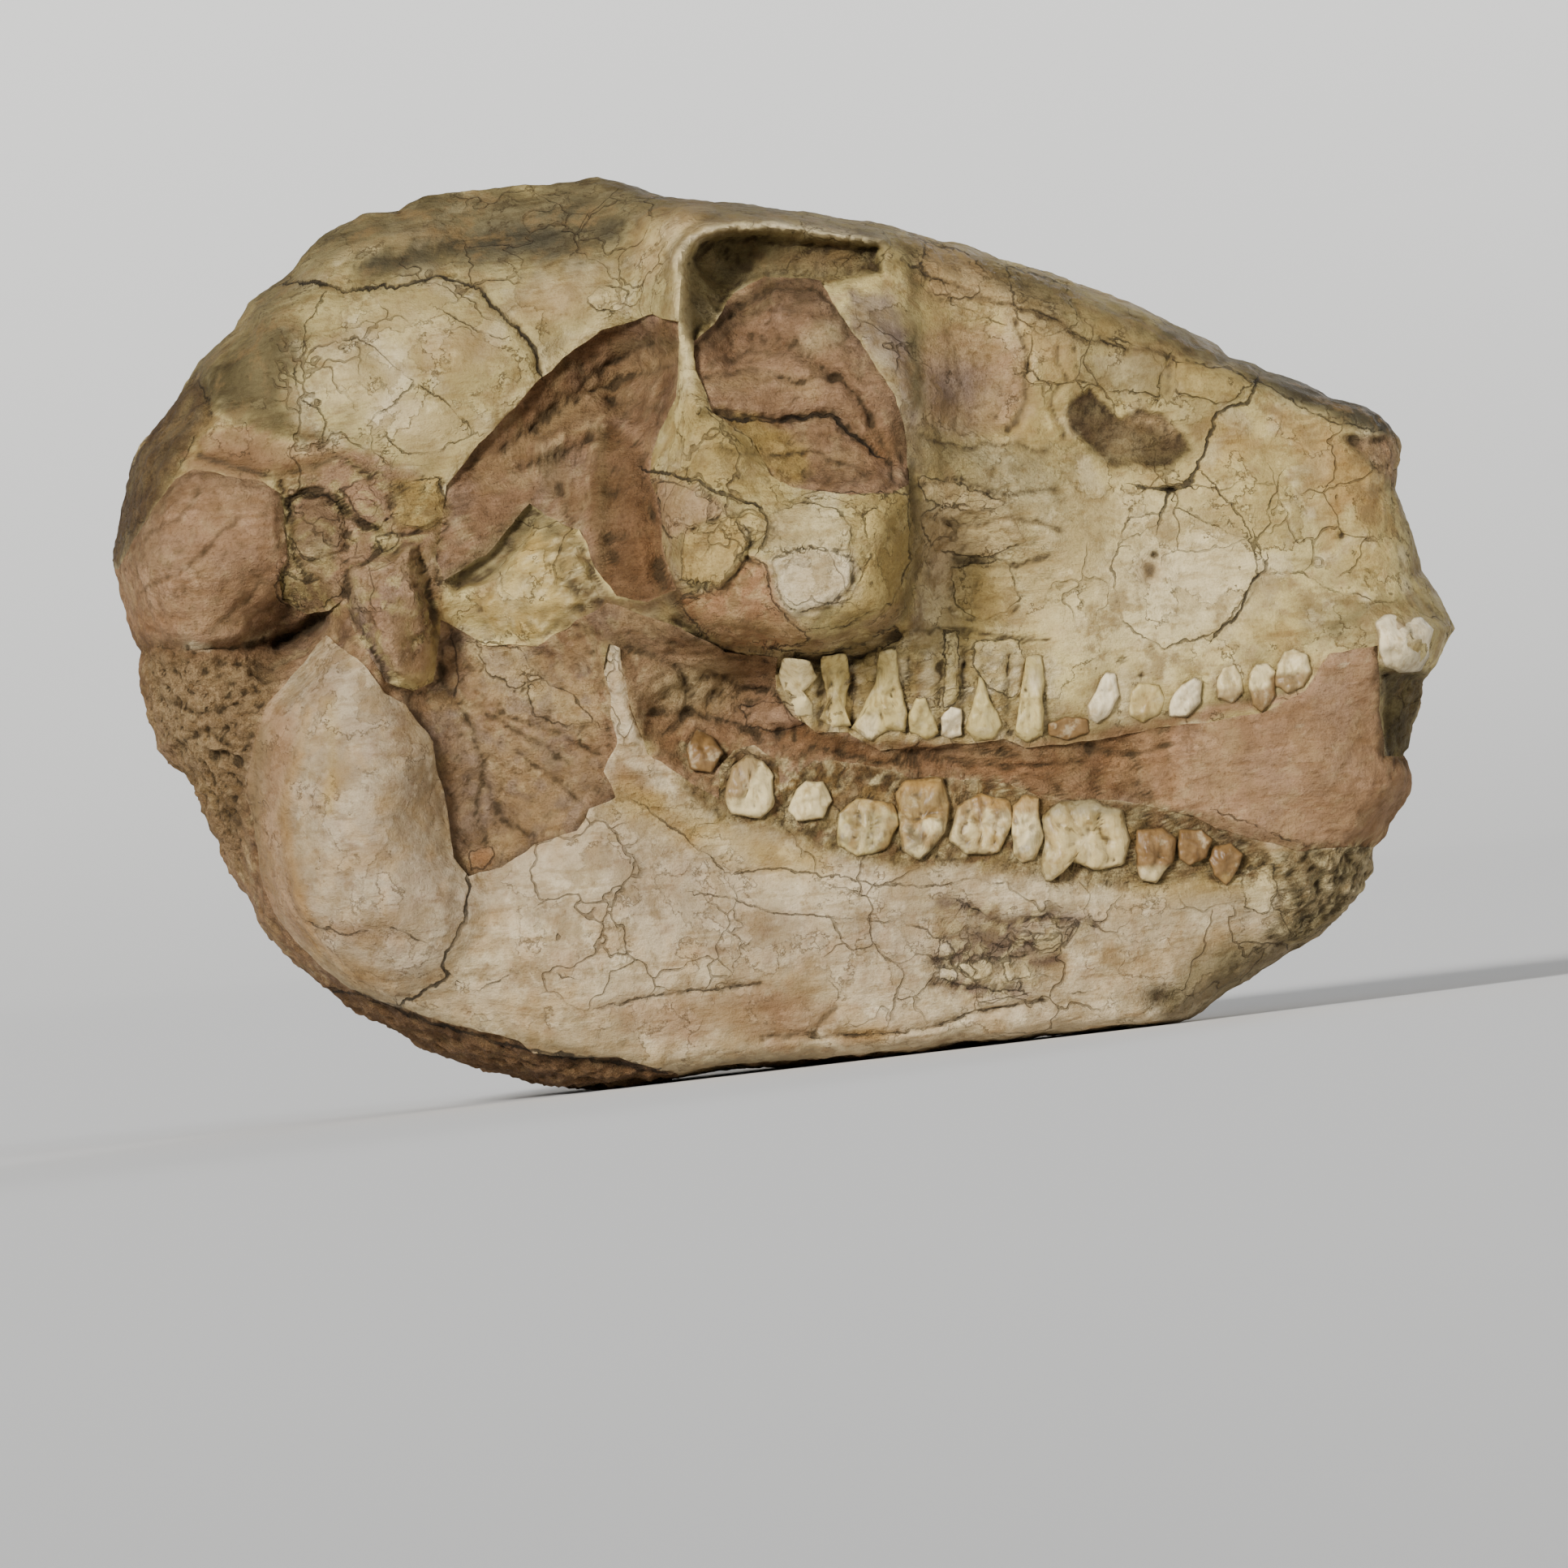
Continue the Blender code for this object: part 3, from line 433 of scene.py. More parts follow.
OPEN_CRACKS.append(SUTURE)
OPEN_CRACKS.append([(404, 1218), (440, 1222), (490, 1238), (530, 1256), (600, 1276), (645, 1290), (700, 1298),
                    (760, 1306), (820, 1318)])

# Creases in the rock and between lumps: depth in millimetres, width in pixels, course
CREASES = [
    (-0.7, 4, [(360, 644), (362, 620), (385, 610), (412, 614), (432, 636), (456, 652), (472, 656)]),
    (-0.9, 5, [(430, 740), (436, 706), (470, 684), (512, 672), (526, 700), (540, 760), (548, 840)]),
    (-1.0, 5, [(434, 752), (462, 800), (486, 846), (514, 858), (540, 842)]),
    (-0.9, 5, [(352, 600), (362, 650), (370, 696), (388, 716)]),
    (-0.8, 5, [(470, 656), (500, 664), (545, 650)]),
    (-0.8, 6, [(250, 566), (300, 580), (350, 590), (420, 566), (470, 590)]),
    (-0.8, 5, [(548, 600), (552, 650), (540, 700), (548, 740)]),
    (-1.0, 6, [(860, 430), (905, 390), (945, 362), (1010, 364), (1046, 410)]),
    (-0.7, 5, [(870, 470), (930, 460), (980, 476), (1030, 470)]),
    (-0.8, 5, [(1030, 470), (1062, 500), (1090, 560), (1100, 600)]),
    (-0.6, 5, [(890, 560), (950, 570), (1000, 560), (1070, 590)]),
    (-0.6, 4, [(640, 580), (700, 556), (748, 540)]),
    (-0.7, 5, [(620, 560), (690, 500), (750, 450), (800, 430)]),
    (-0.7, 5, [(660, 530), (720, 490), (780, 466), (836, 452)]),
    (-0.6, 5, [(660, 620), (690, 660), (700, 710), (720, 750)]),
    (-0.8, 6, [(690, 600), (704, 650), (730, 700), (744, 740)]),
    (-0.6, 4, [(600, 880), (640, 900), (700, 940)]),
    (-0.7, 5, [(640, 930), (690, 960), (720, 990)]),
    (-0.7, 5, [(600, 960), (620, 1010), (660, 1030)]),
    (-0.8, 5, [(620, 880), (680, 900), (740, 930)]),
    (-0.6, 5, [(576, 880), (600, 940), (590, 1000), (604, 1040)]),
    (-0.8, 6, [(780, 800), (830, 820), (860, 860), (830, 900)]),
    (-0.8, 5, [(880, 830), (920, 850), (950, 850), (975, 884)]),
    (-0.8, 5, [(800, 880), (850, 880), (900, 890), (930, 905)]),
    (-0.7, 5, [(1000, 920), (1080, 940), (1160, 936), (1240, 944), (1330, 940)]),
    (-0.6, 5, [(1060, 915), (1100, 926), (1180, 926), (1250, 930)]),
    (-0.6, 5, [(1340, 925), (1400, 930), (1440, 915)]),
    (-0.3, 4, [(190, 660), (230, 640), (250, 610)]),
    (-0.3, 4, [(180, 730), (240, 700), (300, 640)]),
    (-0.3, 4, [(260, 780), (310, 740), (340, 700)]),
    (-1.0, 6, [(265, 930), (305, 940)]),
    (-1.0, 6, [(280, 1000), (300, 1015)]),
    (-0.9, 6, [(200, 860), (250, 880), (300, 870)]),
    (-0.9, 6, [(220, 920), (260, 900), (290, 920)]),
    (-0.5, 5, [(1128, 604), (1180, 596), (1240, 612), (1300, 606)]),
    (-0.5, 5, [(1136, 640), (1190, 650), (1250, 640), (1310, 656)]),
    (-0.5, 5, [(1170, 690), (1230, 700), (1290, 690)]),
    (-0.6, 5, [(1120, 780), (1170, 776), (1220, 784), (1290, 790)]),
    (-0.4, 4, [(1130, 540), (1180, 556), (1230, 548), (1290, 560)]),
    (-0.5, 5, [(1110, 300), (1140, 340), (1210, 372), (1250, 380)]),
    (-0.6, 6, [(1250, 400), (1262, 440), (1262, 500), (1240, 536)]),
    (-0.5, 5, [(1262, 384), (1300, 396), (1326, 424), (1390, 432), (1440, 440)]),
    (-0.5, 4, [(1300, 430), (1310, 470), (1290, 500), (1310, 540)]),
    (-0.5, 5, [(940, 1276), (1000, 1270), (1030, 1240)]),
]


def smooth(value):
    """0 below 0, 1 above 1, and a soft step between."""
    value = np.clip(value, 0, 1)
    return value * value * (3 - 2 * value)


def fractal(points, size, octaves=3):
    """Smooth noise of about -1 to 1 at points in space, with lumps of a size in pixels."""
    return np.array([noise.fractal(point, 1.0, 2.0, octaves) for point in (points / size).tolist()])


def cells(points, size):
    """How far points are from the middle of the pebble they lie in, 0 to about 1."""
    return np.array([noise.voronoi(point)[0][0] for point in (points / size).tolist()])


def line_distance(points, line, closed=False):
    """Distance in pixels from points to a line of corners, positive to the right of its course."""
    line = np.asarray(line, float)
    ends = np.roll(line, -1, axis=0) if closed else line[1:]
    nearest = np.full(len(points), np.inf)
    turned = np.ones(len(points))
    for start, end in zip(line, ends):
        step = end - start
        offset = points - start
        along = np.clip(offset @ step / (step @ step), 0, 1)
        apart = np.hypot(*(offset - along[:, None] * step).T)
        side_of = np.where(step[0] * offset[:, 1] - step[1] * offset[:, 0] >= 0, 1.0, -1.0)
        closer = apart < nearest
        turned = np.where(closer, side_of, turned)
        nearest = np.minimum(nearest, apart)
    return nearest * turned


def inside_distance(points, outline):
    """Distance in pixels from points to a closed outline, positive inside."""
    corners = np.asarray(outline, float)
    within = np.zeros(len(points), bool)
    for (x1, y1), (x2, y2) in zip(corners, np.roll(corners, -1, axis=0)):
        if y1 == y2:
            continue
        crosses = (y1 > points[:, 1]) != (y2 > points[:, 1])
        within ^= crosses & (points[:, 0] < (x2 - x1) * (points[:, 1] - y1) / (y2 - y1) + x1)
    return np.abs(line_distance(points, corners, closed=True)) * np.where(within, 1, -1)


def near_box(points, corners, margin):
    """Which points lie within a margin of the box around some corners."""
    corners = np.asarray(corners, float)
    low, high = corners.min(axis=0) - margin, corners.max(axis=0) + margin
    return np.flatnonzero(((points > low) & (points < high)).all(axis=1))


class Chart:
    """Points of the side view on the head's surface, with the noise that roughens what is drawn."""

    def __init__(self, points, across):
        solid = np.column_stack((points, across))
        left = across > 0
        self.solid = solid
        self.ragged = fractal(solid, 16)
        self.patchy = fractal(solid + 500, 55)
        bend = np.column_stack((fractal(solid + 900, 110, 4), fractal(solid - 900, 110, 4)))
        crown = np.clip(1 - np.abs(across) / 80, 0, 1) * smooth((1450 - points[:, 0]) / 200)
        amount = np.where(left, 22, 0) + 45 * crown
        self.points = points + bend * amount[:, None]
        self.left = left


class Area:
    """A closed outline whose border is soft and ragged by some pixels."""

    def __init__(self, outline, soft=8, ragged=4):
        self.outline, self.soft, self.ragged = outline, soft, ragged

    def cover(self, chart):
        amount = np.zeros(len(chart.points))
        near = near_box(chart.points, self.outline, self.soft + self.ragged)
        depth = inside_distance(chart.points[near], self.outline) + self.ragged * chart.ragged[near]
        amount[near] = smooth(0.5 + depth / (2 * self.soft))
        return amount


class Line:
    """A stroke along a line of corners, fading out sideways over some pixels."""

    def __init__(self, line, width, ragged=2):
        self.line, self.width, self.ragged = line, width, ragged

    def cover(self, chart):
        amount = np.zeros(len(chart.points))
        near = near_box(chart.points, self.line, 3 * self.width)
        apart = line_distance(chart.points[near], self.line) + self.ragged * chart.ragged[near]
        amount[near] = np.exp(-(apart / self.width) ** 2)
        return amount


class Spot:
    """An oval that fades out from its middle, with two radii and a lean in degrees."""

    def __init__(self, x, y, wide, high, lean=0):
        self.middle, self.radii, self.lean = np.array((x, y)), np.array((wide, high)), lean

    def cover(self, chart):
        reach = max(self.radii)
        amount = np.zeros(len(chart.points))
        near = near_box(chart.points, [self.middle], reach)
        turn = math.radians(self.lean)
        offset = chart.points[near] - self.middle
        offset = offset @ np.array(((math.cos(turn), -math.sin(turn)), (math.sin(turn), math.cos(turn))))
        amount[near] = smooth(1 - np.hypot(*(offset / self.radii).T))
        return amount


class Blotch:
    """Patches of a size in pixels, scattered over everything by noise."""

    def __init__(self, size, seed, low=0.05, high=0.4):
        self.size, self.seed, self.low, self.high = size, seed, low, high

    def cover(self, chart):
        lumps = fractal(chart.solid + self.seed, self.size, 4)
        return smooth((lumps - self.low) / (self.high - self.low))


class Within:
    """Patches inside an area."""

    def __init__(self, area, patches):
        self.area, self.patches = area, patches

    def cover(self, chart):
        return self.area.cover(chart) * self.patches.cover(chart)


# Relief in millimetres, outwards, over the smooth form
CRANIUM_RELIEF = [
    (-1.6, Spot(610, 300, 170, 50, -4)),
    (0.9, Line([(500, 266), (600, 250), (700, 242), (745, 234)], 12)),
    (-1.1, Line(SUTURE, 6)),
    (1.2, Area(BRAINCASE, 14)),
    (0.8, Spot(432, 466, 74, 50, 10)),
    (0.8, Spot(528, 528, 74, 44, -5)),
    (0.5, Spot(560, 440, 74, 50)),
    (1.0, Line(FOSSA_EDGE, 16)),
    (-2.6, Spot(300, 486, 64, 50)),
    (-1.2, Line([(250, 478), (262, 500), (265, 520), (235, 560), (222, 592)], 8)),
    (4.5, Line([(842, 316), (838, 360), (841, 430), (846, 470), (856, 510)], 15)),
    (-1.5, Spot(790, 440, 50, 60)),
    (3.2, Line([(834, 330), (846, 304), (875, 288), (940, 280), (1000, 289), (1082, 300)], 10)),
    (-7.0, Area(ORBIT_RECESS, 9)),
    (-1.6, Area(PREORBITAL, 16)),
    (-0.9, Area(SNOUT_PATCH, 5)),
    (-1.6, Spot(1412, 706, 22, 26)),
    (-1.2, Spot(1420, 685, 8, 8)),
    (-1.0, Spot(1650, 662, 8, 11)),
    (-2.0, Spot(1440, 605, 16, 8)),
    (-0.8, Spot(1380, 814, 6, 6)),
    (-0.8, Spot(1403, 833, 6, 6)),
    (-1.4, Area(NASAL_ROCK, 6)),
    (0.6, Area(NASAL, 6)),
    (-4.0, Area(CANINE_RECESS, 9)),
    (1.5, Spot(1732, 790, 60, 50)),
    (3.5, Area(CHEEK_LUMP, 10)),
    (-3.0, Line([(838, 768), (875, 796), (920, 818), (960, 824), (1010, 818), (1060, 808), (1105, 782)], 9)),
    (-0.6, Line([(1132, 600), (1138, 660), (1136, 700), (1120, 760)], 9)),
    (0.7, Area(YELLOW_PLATE, 4)),
    (0.7, Area(WHITE_PLATE, 4)),
    (2.0, Spot(394, 652, 44, 54)),
    (2.0, Spot(452, 620, 40, 40)),
    (-0.7, Line([(360, 620), (375, 612), (400, 608), (430, 630), (455, 652), (470, 650)], 5)),
    (4.5, Area(ROD, 12)),
    (-2.5, Area(OLIVE_HOLLOW, 8)),
    (1.2, Area(YELLOW_CHEEK, 7)),
    (0.6, Line([(1000, 812), (1000, 895)], 8)),
    (0.9, Line([(1028, 812), (1030, 895)], 9)),
    (-0.8, Line([(1012, 815), (1010, 895)], 5)),
    (-0.8, Line([(1048, 812), (1050, 895)], 5)),
    (-0.8, Line([(1118, 812), (1116, 905)], 5)),
    (-0.8, Line([(1157, 820), (1157, 905)], 5)),
    (-0.8, Line([(1186, 820), (1184, 905)], 5)),
    (-0.8, Line([(1240, 810), (1240, 905)], 5)),
    (0.8, Line([(1150, 560), (1200, 590), (1260, 640), (1330, 690), (1390, 740)], 30)),
]
MANDIBLE_RELIEF = [
    (2.8, Area(ANGLE_PLATE, 30)),
    (0.5, Line([(387, 877), (373, 935), (358, 983), (354, 1007), (373, 1102), (387, 1141)], 7)),
    (-0.6, Line([(390, 1140), (430, 1152), (480, 1143), (520, 1155)], 10)),
    (1.0, Line([(440, 1214), (490, 1230), (560, 1258), (640, 1276), (714, 1288), (806, 1304)], 12)),
    (1.5, Line([(760, 800), (762, 850), (780, 910)], 10)),
    (-0.6, Line([(1180, 1114), (1240, 1140), (1290, 1127), (1345, 1140)], 7)),
    (-0.6, Line([(1150, 1182), (1250, 1187)], 6)),
    (-0.6, Line([(1150, 1210), (1260, 1220)], 8)),
    (0.8, Area(CHIN_RUBBLE, 8)),
    (-0.7, Line([(740, 1240), (800, 1226), (850, 1219), (935, 1211)], 6)),
    (-0.9, Line([(1000, 1275), (1100, 1272), (1150, 1262), (1190, 1247), (1280, 1230)], 6)),
    (-1.0, Spot(1432, 1230, 34, 30)),
]
ROCK_RELIEF = [
    (-1.0, Area(CHEEK_ROCK, 10)),
    (2.5, Area(NAPE_LUMP, 16)),
    (-5.0, Line([(410, 740), (398, 764), (375, 780), (345, 792)], 9)),
    (-1.6, Line([(170, 792), (240, 801), (300, 798), (330, 790)], 6)),
    (-1.0, Area(UNDER_STRIP, 8)),
    (1.8, Spot(950, 884, 50, 26)),
    (-0.8, Area(TOOTH_BAND, 8)),
    (0.8, Area(FRONT_BLOCK, 10)),
    (2.0, Line([(752, 800), (768, 850), (785, 905)], 12)),
]
ORBIT_RELIEF = [
    (-3.0, Spot(900, 400, 70, 70)),
    (2.5, Area(CHEEK_LUMP, 12)),
    (-1.8, Line([(880, 515), (960, 523), (1010, 516), (1025, 518), (1060, 548), (1080, 565)], 7)),
    (1.2, Spot(950, 480, 90, 40)),
    (1.0, Spot(980, 560, 80, 36)),
    (-1.0, Line([(930, 420), (980, 430), (1040, 480), (1075, 520)], 8)),
]
TEMPLE_RELIEF = [
    (-1.2, Line(FOSSA_EDGE[2:], 40)),
    (-0.6, Line([(640, 560), (700, 510), (760, 470), (830, 450)], 14)),
    (2.0, Line([(670, 556), (700, 540), (740, 520), (738, 600), (738, 690)], 14)),
    (-4.0, Line([(798, 560), (810, 640), (820, 710)], 18)),
    (-1.8, Line([(758, 505), (800, 520), (836, 540)], 9)),
    (-1.0, Line([(750, 496), (790, 500), (836, 515)], 6)),
    (1.2, Spot(600, 630, 60, 40, -40)),
    (0.8, Spot(700, 610, 30, 70)),
]

# How rough a surface is, from 0 for smooth bone to 1 for broken rock
CRANIUM_GRIT = [
    (0.10, Area([(0, 0), (1932, 0), (1932, 1932), (0, 1932)])),
    (0.45, Area(ORBIT_RECESS)),
    (0.60, Area(EAR_ROCK, 12)),
    (0.40, Area(NUCHAL_STRIP, 12)),
    (0.45, Area(SNOUT_PATCH)),
    (0.25, Area(CHEEK_LUMP, 12)),
    (0.35, Line([(838, 768), (960, 824), (1105, 782)], 22)),
    (0.45, Area(NASAL_ROCK)),
    (0.30, Area(ROOT_ZONE, 12)),
    (0.30, Area([(1110, 540), (1330, 560), (1330, 640), (1260, 800), (1110, 800)], 30)),
    (0.30, Area([(1120, 290), (1330, 345), (1340, 440), (1250, 400), (1120, 380)], 20)),
    (0.50, Area(CANINE_RECESS)),
    (0.25, Area(PREORBITAL, 20)),
]
MANDIBLE_GRIT = [
    (0.10, Area([(0, 0), (1932, 0), (1932, 1932), (0, 1932)])),
    (0.90, Area(CHIN_RUBBLE, 12)),
    (0.70, Area(GUMS, 12)),
    (0.30, Area(RETICULATE, 12)),
    (0.50, Spot(1430, 1230, 60, 40)),
    (0.30, Spot(1550, 1180, 70, 40, -35)),
    (0.30, Spot(1060, 1276, 60, 16)),
    (0.25, Spot(470, 1150, 90, 30)),
    (0.30, Line([(745, 985), (800, 980), (850, 1000)], 30)),
]
ROCK_GRIT = [
    (0.55, Area([(0, 0), (1932, 0), (1932, 1932), (0, 1932)])),
    (0.60, Area(CONGLOMERATE, 12)),
    (-0.35, Area(FRONT_BLOCK, 12)),
    (-0.20, Area(NAPE_LUMP, 16)),
    (0.35, Area(UNDER_STRIP, 12)),
    (0.15, Area(TOOTH_BAND, 12)),
]
FILLING_GRIT = [
    (0.60, Area([(0, 0), (1932, 0), (1932, 1932), (0, 1932)])),
]

# Colours laid over the base one: colour, strength, where. Some rows are painted shade or painted light, as noted above
# them.
CRANIUM_PAINT = [
    ("yellow", 0.30, Area([(838, 250), (1500, 400), (1560, 600), (1300, 800), (1120, 780), (1120, 400)], 50, 30)),
    ("olive", 0.35, Area(BRAINCASE, 30)),
    ("olive", 0.55, Area([(560, 345), (640, 330), (790, 300), (836, 330), (836, 400), (740, 408),
                          (668, 460), (640, 408)], 24, 12)),
    ("sand", 0.6, Spot(690, 370, 90, 50, -20)),
    ("sand", 0.6, Spot(560, 430, 90, 50)),
    ("pale", 0.8, Spot(430, 466, 80, 56, 10)),
    ("pale", 0.8, Spot(535, 530, 84, 52, -5)),
    ("pale", 0.5, Spot(500, 395, 90, 40)),
    ("white", 0.6, Line([(460, 420), (500, 470), (470, 520)], 14)),
    ("pale", 0.6, Line([(560, 590), (600, 548), (650, 495), (680, 462), (740, 400)], 12)),
    # These grey and dark grey crest rows are weathered grey bone, made darker as partly painted shade of the top rim
    ("grey", 1.0, Area(GREY_BAND, 22, 16)),
    ("dark_grey", 0.9, Line([(460, 328), (560, 304), (650, 292), (750, 284)], 20, 16)),
    ("grey", 0.85, Line([(410, 300), (520, 262), (620, 252), (735, 244), (810, 256)], 26, 10)),
    ("sand", 0.4, Line([(430, 310), (480, 300), (540, 288)], 8, 8)),
    ("dark_grey", 0.6, Spot(700, 262, 80, 18, -8)),
    # These two lines darken the back and top outline: partly olive stain, partly painted shade where the light falls
    # off at the rim
    ("olive", 0.8, Line([(150, 690), (200, 560), (300, 400), (360, 345), (420, 290), (520, 250), (620, 240),
                         (735, 228), (860, 255), (960, 266), (1080, 284)], 30)),
    ("dark_olive", 0.7, Line([(150, 660), (190, 545), (240, 455), (310, 370), (400, 290), (500, 252),
                              (620, 232), (735, 220), (820, 246), (960, 260)], 16)),
    ("dark_olive", 1.0, Area([(262, 470), (290, 420), (330, 385), (372, 400), (374, 450), (345, 500),
                              (365, 530), (320, 520), (270, 505)], 16, 14)),
    ("dark_olive", 0.8, Line([(262, 478), (290, 470), (320, 480), (350, 510)], 20, 12)),
    ("dark_olive", 0.5, Line([(250, 480), (320, 520), (400, 545)], 12)),
    ("olive", 0.7, Line([(330, 365), (320, 430), (330, 500)], 26)),
    ("brown", 1.0, Area(NUCHAL_STRIP, 8, 5)),
    ("tan", 0.9, Area([(226, 595), (262, 530), (300, 528), (360, 550), (440, 560), (440, 592),
                       (345, 602), (290, 592)], 8, 14)),
    ("sand", 0.4, Line([(270, 520), (300, 536), (350, 552), (420, 556)], 6, 8)),
    ("rust", 0.6, Area([(226, 595), (262, 530), (300, 528), (360, 550), (440, 560), (345, 602)], 12, 14)),
    ("rust", 0.7, Line([(240, 570), (290, 560), (330, 578), (400, 572)], 8, 10)),
    ("dark_olive", 0.6, Line([(266, 500), (300, 520), (345, 535), (404, 545)], 5, 6)),
    ("pink", 0.95, Area(EAR_ROCK, 9, 8)),
    ("brown", 0.5, Spot(396, 645, 44, 50)),
    ("cream", 0.9, Line([(340, 592), (354, 620), (360, 660), (368, 695), (384, 714)], 8, 4)),
    ("pale", 0.8, Spot(400, 684, 26, 30)),
    ("brown", 0.5, Spot(385, 735, 46, 26)),
    ("orange", 0.35, Spot(450, 612, 34, 34)),
    ("yellow", 0.8, Area([(485, 595), (545, 590), (556, 640), (530, 655), (490, 650)], 7, 5)),
    ("cream", 0.8, Spot(482, 668, 24, 18)),
    ("sand", 0.5, Area(ROD, 6)),
    ("lavender", 0.7, Line([(440, 740), (458, 790), (480, 845)], 12, 4)),
    ("brown", 0.6, Line([(532, 735), (546, 800), (548, 850)], 10, 4)),
    ("dark_olive", 0.6, Line([(360, 640), (362, 617), (385, 608), (410, 612), (430, 635), (455, 650), (475, 656)], 3)),
    ("pink", 0.8, Spot(400, 640, 40, 36)),
    ("ochre", 0.7, Line([(546, 740), (552, 800), (552, 860), (552, 900)], 10, 6)),
    ("pink", 0.9, Area([(442, 706), (476, 692), (512, 678), (524, 740), (534, 822), (500, 838), (472, 790)], 6, 4)),
    ("lavender", 0.4, Spot(490, 740, 30, 60)),
    ("olive", 1.0, Area(OLIVE_HOLLOW, 7, 3)),
    ("yellow", 0.75, Area(YELLOW_CHEEK, 8, 6)),
    ("olive", 0.6, Line([(660, 640), (700, 660), (720, 700), (740, 740)], 14, 6)),
    ("pale", 0.6, Spot(640, 740, 46, 30, -30)),
    ("olive", 0.9, Area(ORBIT_RECESS, 8, 4)),
    ("dark_olive", 0.6, Line([(900, 350), (940, 322), (1010, 318), (1080, 330)], 12, 8)),
    ("rust", 0.55, Spot(1010, 326, 80, 26, 5)),
    ("white", 0.7, Line([(836, 330), (846, 305), (875, 288), (940, 281), (1000, 287), (1080, 299)], 6)),
    ("pale", 0.7, Line([(842, 316), (838, 360), (841, 430), (848, 480)], 10)),
    ("sand", 0.7, Line([(800, 330), (815, 290), (860, 268)], 18)),
    ("brown", 0.6, Line([(820, 345), (826, 318), (850, 288), (868, 277), (960, 270), (1080, 296)], 5, 4)),
    # Darker along the top outline: partly olive stain, partly painted shade of the rim
    ("olive", 0.6, Line([(865, 262), (960, 266), (1080, 287), (1200, 320)], 16)),
    ("lavender", 0.95, Area([(1040, 400), (1050, 365), (1100, 370), (1130, 430), (1135, 520), (1125, 585),
                             (1100, 490)], 14, 8)),
    ("pink", 0.85, Area(PREORBITAL, 20, 10)),
    ("lavender", 0.85, Spot(1175, 480, 70, 60)),
    ("lavender", 0.6, Spot(1180, 530, 60, 26)),
    ("olive", 0.9, Line([(1125, 300), (1124, 400), (1128, 500)], 12)),
    ("olive", 0.9, Area([(1130, 530), (1200, 545), (1290, 560), (1300, 620), (1240, 640), (1160, 600),
                         (1125, 580)], 20, 14)),
    ("sand", 0.7, Area([(1130, 300), (1230, 330), (1300, 360), (1330, 440), (1290, 470), (1260, 400),
                        (1140, 370)], 16, 14)),
    ("olive", 0.5, Area([(1200, 320), (1300, 345), (1420, 390), (1500, 440), (1440, 440), (1330, 420),
                         (1250, 380)], 14, 10)),
    ("ochre", 0.4, Line([(1250, 390), (1290, 440), (1320, 470)], 12, 10)),
    ("brown", 0.5, Line([(1262, 384), (1300, 396), (1326, 424), (1390, 432), (1440, 440)], 5, 8)),
    ("pale", 0.6, Spot(1170, 345, 40, 22)),
    ("yellow", 0.75, Area([(850, 500), (925, 545), (975, 600), (960, 640), (930, 620), (860, 600),
                           (830, 560)], 14, 8)),
    ("pink", 0.7, Area([(806, 592), (850, 600), (900, 632), (840, 662), (822, 660)], 8, 6)),
    ("olive", 0.2, Area(CHEEK_LUMP, 10, 6)),
    ("yellow", 0.45, Area([(1040, 620), (1117, 600), (1124, 696), (1105, 752), (1040, 780), (1060, 720)], 14, 8)),
    ("ochre", 0.8, Area(YELLOW_PLATE, 4, 2)),
    ("pale", 0.4, Area(YELLOW_PLATE, 8, 2)),
    ("white", 0.9, Area(WHITE_PLATE, 12, 12)),
    ("pale", 0.7, Area([(945, 640), (1000, 625), (1040, 650), (1040, 690), (990, 680), (955, 690)], 8, 6)),
    ("pink", 0.9, Area([(838, 745), (890, 728), (925, 690), (948, 700), (965, 755), (1010, 790),
                        (950, 795), (880, 790)], 8, 6)),
    ("rust", 0.9, Line([(804, 596), (810, 650), (822, 710), (850, 756)], 12, 4)),
    # Painted shadow along the underside of the cheek lump
    ("shade_and_dirt", 0.75, Line([(838, 765), (880, 794), (950, 808), (1010, 812), (1070, 790), (1108, 764)], 6, 6)),
    ("tan", 0.7, Area([(836, 760), (868, 770), (930, 790), (1000, 792), (1060, 776), (1108, 740), (1104, 770),
                       (1010, 806), (900, 800)], 7, 8)),
    ("sand", 0.7, Area([(985, 690), (1020, 684), (1046, 700), (1040, 730), (1000, 752), (975, 735)], 14, 10)),
    # Painted shade along the cheek lump's right edge, where it drops to the snout
    ("shade_and_dirt", 0.8, Line([(1112, 545), (1120, 600), (1127, 650), (1126, 700), (1112, 756)], 7)),
    ("lavender", 0.7, Area([(1132, 620), (1160, 630), (1175, 700), (1150, 780), (1120, 780), (1134, 700)], 10, 8)),
    # Painted shadow in the hollow under the cheek lump
    ("dark_olive", 0.7, Line([(870, 800), (920, 822), (960, 830), (1080, 806)], 8)),
    # Painted light: lightens the strip beside the cheek lump to offset the shade the lump throws
    ("pale", 0.8, Area([(1134, 610), (1180, 620), (1200, 700), (1180, 780), (1136, 790), (1140, 700)], 12, 12)),
    ("pink", 0.5, Spot(1160, 690, 40, 90)),
    ("pale", 0.75, Area([(1230, 560), (1330, 600), (1480, 610), (1560, 720), (1520, 800),
                         (1420, 830), (1300, 800), (1220, 720), (1180, 640)], 50, 16)),
    ("white", 0.7, Spot(1450, 730, 130, 90)),
    ("olive", 0.5, Spot(1200, 700, 60, 50)),
    ("olive", 0.45, Area([(1330, 440), (1420, 440), (1540, 480), (1480, 560), (1400, 500), (1320, 480)], 20, 14)),
    ("ochre", 0.7, Spot(1520, 540, 60, 34, 30)),
    ("ochre", 0.9, Area([(1560, 500), (1640, 530), (1700, 590), (1710, 650), (1660, 620), (1640, 660),
